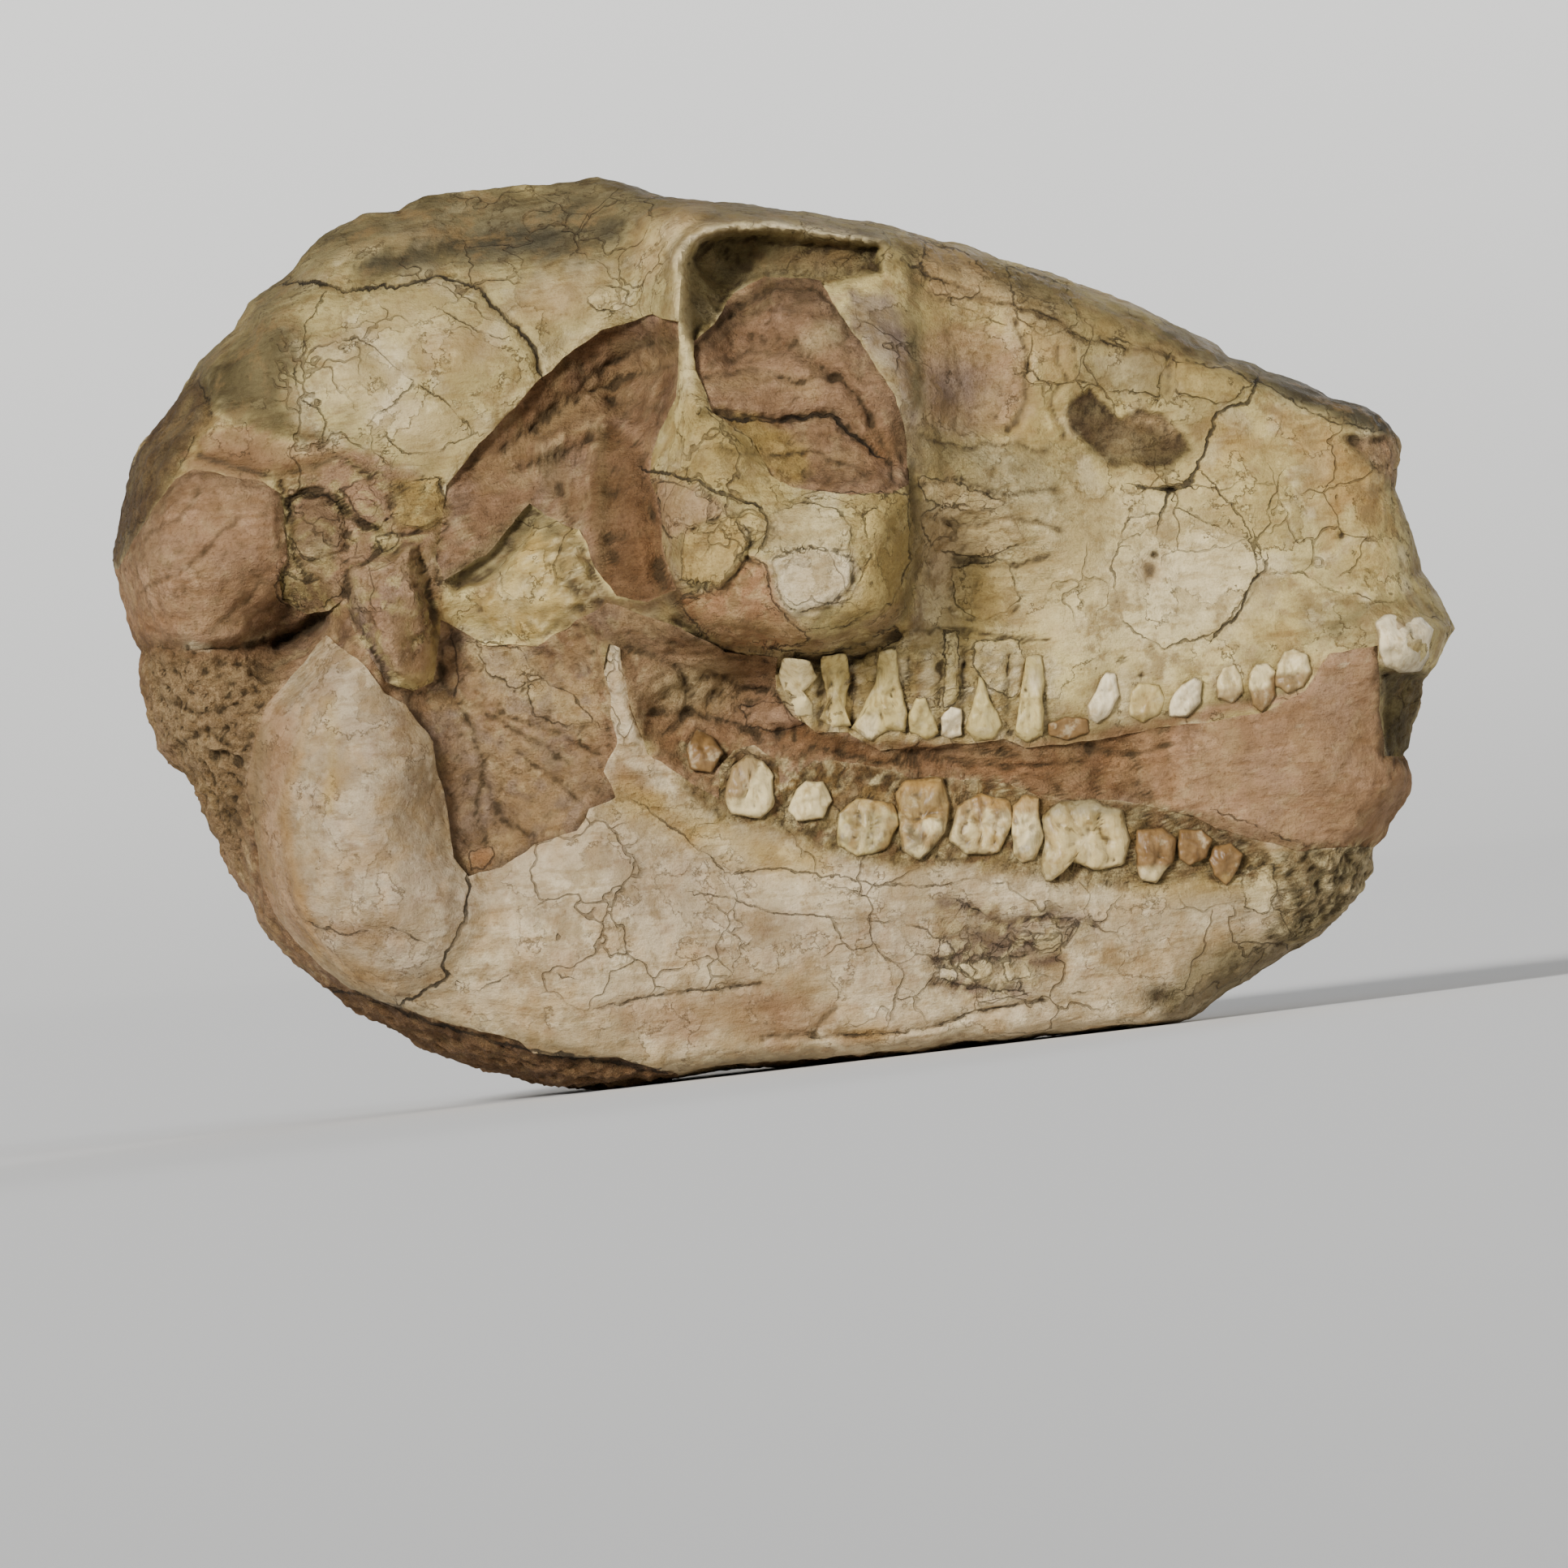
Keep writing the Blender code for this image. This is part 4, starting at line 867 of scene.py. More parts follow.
                         (1610, 600)], 20, 14)),
    ("yellow", 0.6, Spot(1680, 680, 60, 70, 20)),
    ("olive", 0.6, Area([(1600, 745), (1660, 735), (1690, 760), (1690, 800), (1630, 800), (1600, 790)], 12, 8)),
    ("yellow", 0.5, Spot(1560, 780, 90, 26)),
    ("brown", 1.0, Area(SNOUT_PATCH, 4, 4)),
    ("olive", 0.6, Spot(1350, 505, 30, 20)),
    ("dark_olive", 0.6, Line([(1345, 555), (1390, 575), (1440, 572), (1466, 556)], 9)),
    ("sand", 0.7, Line([(1390, 520), (1420, 520), (1445, 535)], 7)),
    ("rust", 0.5, Spot(1412, 706, 26, 30)),
    ("pink", 0.8, Spot(1412, 706, 26, 30)),
    ("dark_olive", 0.8, Spot(1420, 685, 12, 12)),
    ("dark_olive", 0.8, Spot(1650, 662, 9, 11)),
    ("dark", 0.9, Spot(1440, 605, 22, 9)),
    ("dark", 0.8, Spot(1380, 814, 8, 6)),
    ("dark", 0.8, Spot(1403, 833, 8, 6)),
    ("dark_grey", 0.9, Area(NASAL, 6, 4)),
    # Painted shade on the snout's top edge, laid over the nasals' own dark grey
    ("dark_grey", 0.9, Line([(1440, 414), (1500, 442), (1560, 468), (1600, 482), (1650, 500), (1712, 524)], 22, 6)),
    # Painted shade along the snout's top edge
    ("dark_olive", 0.6, Line([(1060, 290), (1150, 318), (1240, 345), (1330, 372), (1400, 400)], 12, 8)),
    ("brown", 0.9, Line([(708, 722), (732, 738), (765, 750), (800, 748), (832, 736)], 10, 3)),
    ("rust", 0.6, Line([(740, 742), (768, 752), (800, 749)], 5, 3)),
    # Painted shade on the nasals' upward-facing top edge
    ("dark", 0.6, Line([(1560, 462), (1600, 474), (1650, 492), (1712, 516)], 12, 8)),
    ("grey", 0.6, Line([(1575, 480), (1620, 500), (1660, 512)], 4, 5)),
    ("grey", 0.5, Line([(1560, 462), (1640, 492), (1710, 520)], 9, 4)),
    ("pink", 0.9, Area(NASAL_ROCK, 6, 3)),
    ("brown", 0.5, Line([(1655, 540), (1680, 565), (1715, 600)], 6, 4)),
    # Darker along the top outline: partly olive stain, partly painted shade of the rim
    ("olive", 0.6, Line([(1200, 312), (1300, 346), (1400, 380), (1500, 430), (1560, 462)], 14)),
    ("dark_olive", 0.6, Line([(1640, 775), (1680, 752), (1700, 745), (1745, 740), (1765, 760)], 9, 4)),
    ("olive", 0.6, Line([(1724, 610), (1750, 700), (1785, 775)], 16)),
    ("dark_olive", 0.9, Area(CANINE_RECESS, 8, 4)),
    ("pale", 0.5, Area(ROOT_ZONE, 14, 8)),
    ("yellow", 0.5, Area(ROOT_ZONE, 14, 16)),
    ("rust", 0.85, Line([(1000, 904), (1060, 922), (1100, 918), (1165, 922), (1240, 924), (1300, 922),
                         (1400, 904)], 8, 6)),
    ("rust", 0.7, Line([(1128, 820), (1134, 850), (1128, 870)], 5, 3)),
    ("rust", 0.7, Line([(1044, 820), (1052, 850), (1050, 868)], 5, 3)),
    ("olive", 0.7, Line([(1186, 812), (1184, 850), (1188, 880)], 5, 3)),
    ("olive", 0.7, Line([(1240, 880), (1236, 850), (1250, 820)], 5, 3)),
    ("brown", 0.7, Area([(690, 765), (728, 740), (760, 736), (800, 743), (836, 729), (875, 792), (838, 778),
                         (760, 796), (700, 796)], 7, 6)),
    ("pale", 0.6, Line([(1096, 800), (1098, 890)], 8)),
    ("olive", 0.8, Line([(1262, 905), (1340, 900), (1430, 885), (1500, 868), (1600, 850)], 9, 4)),
    ("rust", 0.7, Spot(1312, 878, 40, 26)),
    ("rust", 0.6, Spot(1405, 880, 40, 24)),
    ("brown", 0.5, Spot(1530, 860, 50, 20)),
]
MANDIBLE_PAINT = [
    ("lavender", 0.25, Area(ANGLE_PLATE, 20, 8)),
    ("lavender", 0.2, Area(ANGLE_PLATE, 20, 8)),
    ("sand", 0.4, Blotch(30, 2500, 0.1, 0.4)),
    ("lavender", 0.3, Line([(600, 1100), (760, 1080), (900, 1120), (1100, 1150)], 60, 20)),
    ("ochre", 0.5, Spot(420, 968, 26, 40)),
    ("ochre", 0.55, Spot(482, 990, 30, 20)),
    ("ochre", 0.45, Spot(450, 1060, 60, 26)),
    ("yellow", 0.5, Line([(412, 870), (416, 930), (410, 1000)], 8, 5)),
    # These two tan areas darken the back edge of the jaw's angle: partly rock-brown stain, partly painted shade where
    # the angle turns away
    ("tan", 0.6, Area([(290, 900), (345, 850), (380, 900), (365, 1000), (380, 1090), (405, 1170),
                       (320, 1160), (285, 1080)], 12, 8)),
    ("tan", 1.0, Area([(290, 900), (345, 850), (366, 900), (350, 1000), (366, 1090), (395, 1165),
                       (320, 1150), (285, 1080)], 12, 8)),
    ("rust", 0.3, Line([(325, 890), (312, 980), (322, 1080), (350, 1140)], 14, 8)),
    ("olive", 0.5, Line([(330, 900), (316, 980), (318, 1080)], 12)),
    ("ochre", 0.6, Line([(387, 877), (373, 935), (358, 983), (354, 1007), (373, 1102), (397, 1174)], 8)),
    ("tan", 0.8, Spot(450, 1148, 100, 24, 8)),
    ("ochre", 0.7, Spot(440, 1196, 110, 30, 20)),
    ("ochre", 0.55, Spot(620, 1130, 40, 26)),
    ("tan", 0.75, Spot(690, 1182, 70, 34)),
    ("ochre", 0.5, Spot(650, 1240, 80, 26)),
    ("tan", 0.75, Spot(880, 1172, 44, 18)),
    ("brown", 0.6, Spot(886, 1168, 26, 10)),
    ("tan", 0.8, Area([(740, 1240), (820, 1222), (935, 1210), (1030, 1230), (1024, 1268), (960, 1290),
                       (900, 1270), (850, 1285), (780, 1270)], 12, 14)),
    ("sand", 0.5, Spot(900, 1250, 60, 20)),
    ("ochre", 0.9, Spot(1060, 1274, 64, 18)),
    ("rust", 0.6, Spot(1050, 1278, 36, 9)),
    ("yellow", 0.8, Area(GUMS, 12, 10)),
    ("rust", 0.85, Line([(838, 908), (900, 926), (960, 942), (1010, 942), (1120, 958), (1245, 970),
                         (1290, 988), (1400, 996), (1470, 1010), (1540, 1040)], 9, 8)),
    ("ochre", 0.6, Line([(900, 960), (1000, 960), (1120, 1000), (1240, 1010), (1400, 1030), (1540, 1070)], 16, 12)),
    ("brown", 0.6, Line([(955, 950), (965, 990), (985, 1020), (1040, 1040)], 10, 8)),
    ("brown", 0.6, Line([(1040, 960), (1080, 966), (1110, 960), (1180, 975), (1240, 970)], 8, 8)),
    ("brown", 0.7, Line([(1386, 1000), (1400, 1015), (1450, 1012), (1500, 1030), (1545, 1052)], 10, 6)),
    ("olive", 0.55, Line([(880, 975), (960, 1000), (1040, 1030), (1120, 1035), (1200, 1035), (1290, 1050),
                          (1400, 1062), (1530, 1085)], 34, 10)),
    ("ochre", 0.7, Line([(960, 955), (1040, 965), (1120, 970), (1240, 985), (1290, 1000)], 16, 8)),
    ("brown", 0.6, Line([(958, 945), (985, 958), (1040, 955), (1110, 962)], 8, 6)),
    ("ochre", 0.9, Line([(765, 960), (800, 985), (850, 1030)], 16, 6)),
    ("rust", 0.7, Line([(770, 950), (790, 960), (800, 985), (830, 1010)], 9, 6)),
    ("yellow", 0.7, Line([(760, 990), (830, 1000), (900, 1040), (1000, 1062)], 22, 8)),
    ("mauve", 0.95, Line([(1160, 1112), (1190, 1116), (1240, 1140), (1290, 1126), (1345, 1140)], 9, 5)),
    ("mauve", 0.9, Line([(1200, 1152), (1230, 1165), (1300, 1156)], 6, 4)),
    ("mauve", 0.95, Line([(1150, 1182), (1200, 1177), (1250, 1187), (1300, 1180)], 7, 4)),
    ("mauve", 0.95, Line([(1150, 1208), (1200, 1216), (1260, 1222)], 8, 4)),
    ("brown", 0.5, Spot(1220, 1160, 80, 50)),
    ("brown", 0.8, Spot(1430, 1228, 44, 26)),
    ("dark", 0.6, Spot(1425, 1222, 18, 10)),
    ("ochre", 0.5, Spot(1400, 1190, 90, 30, -20)),
    ("olive", 0.85, Area([(1480, 1170), (1560, 1140), (1620, 1150), (1560, 1190), (1500, 1225), (1440, 1250),
                          (1420, 1225)], 16, 12)),
    ("dark_olive", 0.5, Line([(1640, 1130), (1580, 1175), (1510, 1215), (1440, 1255)], 12, 6)),
    ("pale", 0.6, Area(CHIN_RUBBLE, 10, 8)),
    ("ochre", 0.5, Spot(1610, 1060, 60, 30)),
    ("dark_olive", 0.7, Line([(1565, 1070), (1600, 1095), (1580, 1130), (1560, 1150)], 6, 10)),
    ("dark_olive", 0.7, Line([(1600, 1050), (1625, 1085), (1670, 1076)], 6, 10)),
    ("dark_olive", 0.7, Line([(1590, 1110), (1620, 1130), (1650, 1105)], 6, 10)),
    ("dark_olive", 0.6, Line([(1540, 1068), (1548, 1100), (1536, 1128)], 5, 6)),
    ("white", 0.5, Spot(1330, 1100, 150, 30)),
    ("white", 0.4, Spot(1000, 1100, 220, 40)),
    ("white", 0.5, Spot(900, 1045, 50, 26, 25)),
    ("white", 0.4, Spot(700, 1090, 80, 40)),
    ("yellow", 0.6, Line([(1560, 1080), (1450, 1095), (1380, 1090)], 16)),
    ("olive", 0.5, Line([(400, 1205), (500, 1240), (640, 1275), (806, 1308), (1000, 1306)], 9, 4)),
]
ROCK_PAINT = [
    ("pink", 0.7, Area(NAPE_LUMP, 14, 8)),
    ("brown", 0.45, Line([(175, 690), (200, 630), (245, 590), (330, 600)], 16, 8)),
    ("orange", 0.4, Spot(190, 770, 60, 24)),
    ("sand", 0.7, Area(CONGLOMERATE, 14, 8)),
    ("rust", 0.4, Spot(300, 880, 50, 90)),
    ("brown", 0.5, Spot(290, 1000, 34, 60)),
    ("rust", 0.7, Line([(170, 796), (240, 806), (320, 800), (380, 780)], 13, 5)),
    # These two rows are painted shade in the deep groove under the ear's lumps, dark at its deep end and brown where
    # it runs on down
    ("dark", 0.8, Line([(410, 740), (398, 762), (380, 776)], 9, 6)),
    ("brown", 0.7, Line([(380, 776), (345, 800), (325, 830)], 12, 8)),
    ("sand", 0.85, Area([(575, 780), (660, 800), (735, 850), (745, 900), (690, 900), (620, 880),
                         (575, 820)], 12, 12)),
    ("pale", 0.5, Area([(580, 790), (640, 800), (690, 850), (720, 890), (660, 870), (600, 840)], 8, 10)),
    ("sand", 0.5, Area([(560, 900), (640, 900), (750, 950), (720, 1020), (580, 1075)], 18, 14)),
    ("lavender", 0.4, Area([(560, 880), (600, 960), (640, 1000), (600, 1060), (562, 1040)], 14, 10)),
    ("orange", 0.7, Spot(596, 1056, 22, 14)),
    # The next two rows are painted shade, with dirt, in the seam where the lower jaw meets the rock
    ("shade_and_dirt", 0.8, Line([(505, 862), (536, 915), (556, 1010), (562, 1055), (580, 1079)], 7, 3)),
    ("shade_and_dirt", 0.8, Line([(580, 1079), (620, 1067), (661, 1040), (714, 1024), (728, 996), (762, 984)], 5, 3)),
    ("cream", 0.8, Line([(748, 800), (756, 830), (768, 860), (785, 905), (800, 925)], 8, 4)),
    ("pale", 0.7, Line([(756, 835), (766, 865)], 5, 2)),
    # Brown of the rock under the cheek lump, partly painted shadow of the lump
    ("brown", 0.7, Line([(760, 790), (840, 785), (900, 812), (955, 822)], 18, 8)),
    ("pink", 0.6, Area(FRONT_BLOCK, 20, 8)),
    ("orange", 0.4, Area(TOOTH_BAND, 10, 12)),
    ("rust", 0.4, Line([(960, 895), (1060, 925), (1180, 935), (1300, 935), (1400, 925)], 12, 8)),
    ("orange", 0.4, Line([(980, 900), (1100, 940), (1250, 945), (1400, 940)], 10, 6)),
    ("pink", 0.8, Area([(800, 800), (880, 815), (950, 830), (960, 890), (900, 905), (830, 890)], 14, 10)),
    # Painted light: these two spots lighten the rock below the cheek lump to offset its shadow
    ("sand", 0.8, Spot(850, 850, 90, 60)),
    ("pale", 0.5, Spot(860, 850, 80, 50)),
    ("pink", 0.8, Spot(950, 884, 44, 22)),
    ("rust", 0.75, Area(UNDER_STRIP, 6, 6)),
    # These two dark lines are painted shadow under the jaw's proud lower edge
    ("dark", 0.8, Line([(640, 1284), (700, 1300), (790, 1306)], 8)),
    ("dark", 0.5, Line([(440, 1222), (520, 1255), (620, 1282)], 5)),
    ("white", 0.7, Line([(235, 797), (262, 799)], 4)),
    ("white", 0.7, Line([(308, 795), (332, 781)], 4)),
    ("brown", 0.6, Line([(1420, 995), (1500, 1010), (1560, 1030), (1610, 1045)], 5, 4)),
    # Painted shade, with dirt, in the seam where the rock meets the front of the upper jaw
    ("shade_and_dirt", 0.6, Line([(1692, 800), (1700, 850), (1702, 930), (1735, 940)], 6)),
]
ORBIT_PAINT = [
    ("tan", 0.5, Area([(858, 425), (1118, 330), (1118, 620), (860, 620)], 14, 10)),
    ("pink", 0.8, Area([(858, 425), (940, 380), (1010, 420), (1060, 500), (1010, 516), (880, 515)], 14, 10)),
    ("brown", 0.75, Line([(860, 428), (905, 385), (945, 358), (1010, 360)], 14, 8)),
    ("sand", 0.5, Spot(950, 560, 80, 30)),
    ("rust", 0.6, Line([(930, 420), (980, 430), (1040, 480), (1090, 560)], 16, 8)),
    ("rust", 0.6, Line([(1110, 540), (1080, 580), (1020, 600)], 14, 8)),
    ("orange", 0.5, Spot(1080, 560, 40, 50)),
    ("yellow", 0.9, Area([(850, 500), (880, 512), (930, 520), (985, 545), (1000, 585), (975, 605), (900, 570)],
                         12, 10)),
    ("olive", 0.5, Spot(900, 540, 40, 26)),
    # The next three rows are painted shade, with dirt, along the rock's creases and steps
    ("shade_and_dirt", 0.6, Line([(862, 425), (900, 388), (940, 352), (1000, 350), (1036, 352)], 6, 10)),
    ("shade_and_dirt", 0.5, Line([(890, 420), (930, 390), (985, 384), (1040, 420)], 4, 10)),
    ("shade_and_dirt", 0.5, Line([(1000, 400), (1050, 440), (1090, 500), (1104, 560)], 4, 10)),
    ("brown", 0.6, Line([(866, 440), (910, 400), (950, 374), (1010, 372), (1040, 400)], 6, 8)),
    # Painted shade, with dirt, along a step in the rock
    ("shade_and_dirt", 0.6, Line([(880, 452), (930, 440), (980, 446), (1040, 480)], 4, 6)),
    ("sand", 0.6, Line([(880, 480), (940, 470), (1000, 486)], 12, 8)),
    ("pale", 0.5, Spot(1010, 420, 50, 30, -30)),
    # Painted shade, with dirt, in the seam against the bone
    ("shade_and_dirt", 0.5, Line([(1040, 400), (1100, 490), (1118, 560)], 6)),
]
TEMPLE_PAINT = [
    ("rust", 0.65, Area([(560, 600), (600, 543), (668, 468), (740, 410), (838, 400), (836, 495),
                        (812, 545), (750, 515), (700, 540), (660, 560), (600, 600)], 8, 5)),
    ("sand", 0.6, Line([(600, 590), (680, 520), (760, 470), (836, 440)], 14, 8)),
    ("brown", 0.5, Line([(610, 560), (690, 495), (750, 445), (800, 420)], 7, 8)),
    ("olive", 0.5, Line([(760, 430), (800, 425), (836, 430)], 10, 6)),
    ("brown", 0.5, Line([(752, 500), (800, 506), (836, 512)], 6, 4)),
    ("olive", 0.6, Spot(680, 580, 30, 60)),
    ("rust", 0.9, Area(FACET, 5, 2)),
    ("orange", 0.25, Area(FACET, 12, 8)),
    ("brown", 0.3, Area(FACET, 5, 2)),
    ("olive", 0.4, Line([(740, 530), (745, 620), (742, 700)], 9, 4)),
    ("orange", 0.35, Spot(800, 680, 26, 60)),
    ("pink", 0.6, Spot(620, 620, 80, 46, -40)),
    ("sand", 0.9, Line([(668, 555), (700, 540), (742, 519)], 2.5, 4)),
    ("sand", 0.5, Line([(600, 608), (630, 600), (660, 592)], 5, 4)),
    ("tan", 0.5, Spot(700, 600, 40, 60)),
]

# Teeth: outline in the side view, how far each stands out in millimetres, colour, grooves
TEETH = {
    "upper_canine": ([(1694, 770), (1706, 759), (1722, 757), (1728, 764), (1745, 762), (1760, 775),
                      (1758, 806), (1748, 824), (1722, 828), (1706, 822), (1696, 800)], 2.4, "white",
                     [[(1725, 765), (1733, 775), (1736, 800)]]),
    "upper_premolar_1": ([(1570, 822), (1580, 806), (1592, 802), (1606, 808), (1611, 828), (1602, 846),
                          (1584, 854), (1568, 846)], 1.8, "pale", []),
    "upper_premolar_2": ([(1538, 834), (1546, 820), (1558, 820), (1566, 830), (1566, 858), (1554, 876),
                          (1541, 868), (1536, 850)], 1.6, "pale", []),
    "upper_premolar_3_front": ([(1497, 840), (1504, 824), (1518, 820), (1526, 834), (1526, 852),
                                (1514, 865), (1499, 861)], 1.5, "pale", []),
    "upper_premolar_3_back": ([(1438, 882), (1440, 864), (1452, 846), (1468, 835), (1478, 842),
                               (1476, 866), (1458, 884)], 1.8, "white", []),
    "upper_premolar_4_front": ([(1392, 852), (1402, 842), (1424, 846), (1430, 860), (1424, 880),
                                (1406, 890), (1392, 880)], 1.2, "cream", []),
    "upper_premolar_4_back": ([(1342, 886), (1340, 868), (1350, 846), (1362, 830), (1373, 833),
                               (1373, 858), (1362, 884), (1350, 892)], 2.0, "white", []),
    "upper_molar_1_front": ([(1290, 892), (1312, 884), (1336, 888), (1336, 904), (1312, 911),
                             (1292, 906)], 0.9, "brown_dentine", []),
    "upper_molar_1_back": ([(1247, 903), (1254, 868), (1262, 812), (1281, 812), (1283, 850),
                            (1282, 904), (1264, 914)], 2.0, "cream", [[(1258, 830), (1254, 900)]]),
    "upper_molar_2_front": ([(1189, 896), (1197, 868), (1206, 832), (1214, 850), (1222, 870),
                             (1231, 896), (1222, 909), (1200, 911)], 1.6, "cream", []),
    "upper_molar_2_root": ([(1160, 884), (1170, 872), (1181, 876), (1182, 904), (1170, 911),
                            (1160, 906)], 1.6, "white", []),
    "upper_molar_2_back": ([(1120, 880), (1126, 862), (1138, 862), (1150, 884), (1155, 902),
                            (1140, 911), (1122, 903)], 1.5, "cream", []),
    "upper_molar_3_front": ([(1050, 896), (1064, 872), (1078, 840), (1082, 806), (1099, 802),
                             (1106, 842), (1114, 880), (1112, 900), (1094, 898), (1074, 910)], 2.2,
                            "cream", [[(1091, 850), (1084, 905)], [(1098, 830), (1104, 895)]]),
    "upper_molar_3_back": ([(1009, 884), (1020, 866), (1014, 830), (1012, 812), (1042, 811),
                            (1046, 842), (1040, 872), (1047, 893), (1026, 897)], 2.0, "cream",
                           [[(1022, 830), (1026, 890)]]),
    "upper_molar_3_heel": ([(966, 814), (998, 818), (1006, 836), (988, 854), (1001, 868), (1000, 882),
                            (980, 884), (968, 862), (962, 832)], 1.6, "pale",
                           [[(962, 858), (1002, 858)]]),
    "lower_molar_3_heel": ([(846, 922), (861, 900), (876, 908), (891, 930), (876, 952), (855, 946)],
                           1.8, "brown_dentine", []),
    "lower_molar_3_back": ([(895, 980), (904, 946), (922, 933), (938, 938), (952, 956), (950, 992),
                            (938, 1007), (902, 1003)], 2.2, "pale", [[(936, 940), (914, 984)]]),
    "lower_molar_3_front": ([(973, 996), (984, 974), (994, 963), (1012, 963), (1022, 986),
                             (1012, 1008), (980, 1011)], 1.8, "pale", []),
    "lower_molar_2_back": ([(1036, 1040), (1036, 1002), (1056, 985), (1098, 990), (1104, 1016),
                            (1086, 1046), (1056, 1053)], 1.4, "cream",
                           [[(1058, 990), (1052, 1048)], [(1082, 990), (1070, 1045)]]),
    "lower_molar_2_front": ([(1108, 1008), (1106, 976), (1118, 961), (1156, 961), (1166, 990),
                             (1160, 1026), (1132, 1059), (1112, 1044)], 2.2, "pale",
                            [[(1104, 1003), (1168, 1000)]]),
    "lower_molar_1_back": ([(1172, 1036), (1180, 996), (1206, 980), (1238, 986), (1244, 1012),
                            (1228, 1048), (1190, 1050)], 1.6, "pale",
                           [[(1192, 985), (1186, 1040)], [(1208, 985), (1206, 1045)],
                            [(1226, 985), (1222, 1040)]]),
    "lower_molar_1_front": ([(1248, 1050), (1246, 996), (1258, 980), (1278, 986), (1281, 1030),
                             (1272, 1058), (1258, 1060)], 1.6, "pale", []),
    "lower_premolar_4": ([(1286, 1070), (1288, 1008), (1306, 990), (1345, 988), (1376, 1000),
                          (1385, 1035), (1378, 1064), (1345, 1068), (1322, 1060), (1300, 1082),
                          (1290, 1082)], 2.4, "pale", [[(1316, 1000), (1322, 1055)],
                                                       [(1346, 1000), (1362, 1055)]]),
    "lower_premolar_3": ([(1396, 1044), (1400, 1024), (1430, 1020), (1444, 1036), (1442, 1060),
                          (1422, 1086), (1404, 1082)], 2.0, "brown_dentine", []),
    "lower_premolar_2": ([(1449, 1042), (1454, 1024), (1476, 1023), (1488, 1036), (1482, 1056),
                          (1464, 1064), (1452, 1056)], 1.6, "brown_dentine", []),
    "lower_premolar_1": ([(1488, 1058), (1494, 1044), (1514, 1041), (1527, 1052), (1520, 1072),
                          (1508, 1088), (1495, 1078)], 1.6, "brown_dentine", []),
}
BROWN_TEETH = ("upper_molar_1_front", "lower_molar_3_heel", "lower_premolar_3", "lower_premolar_2",
               "lower_premolar_1")
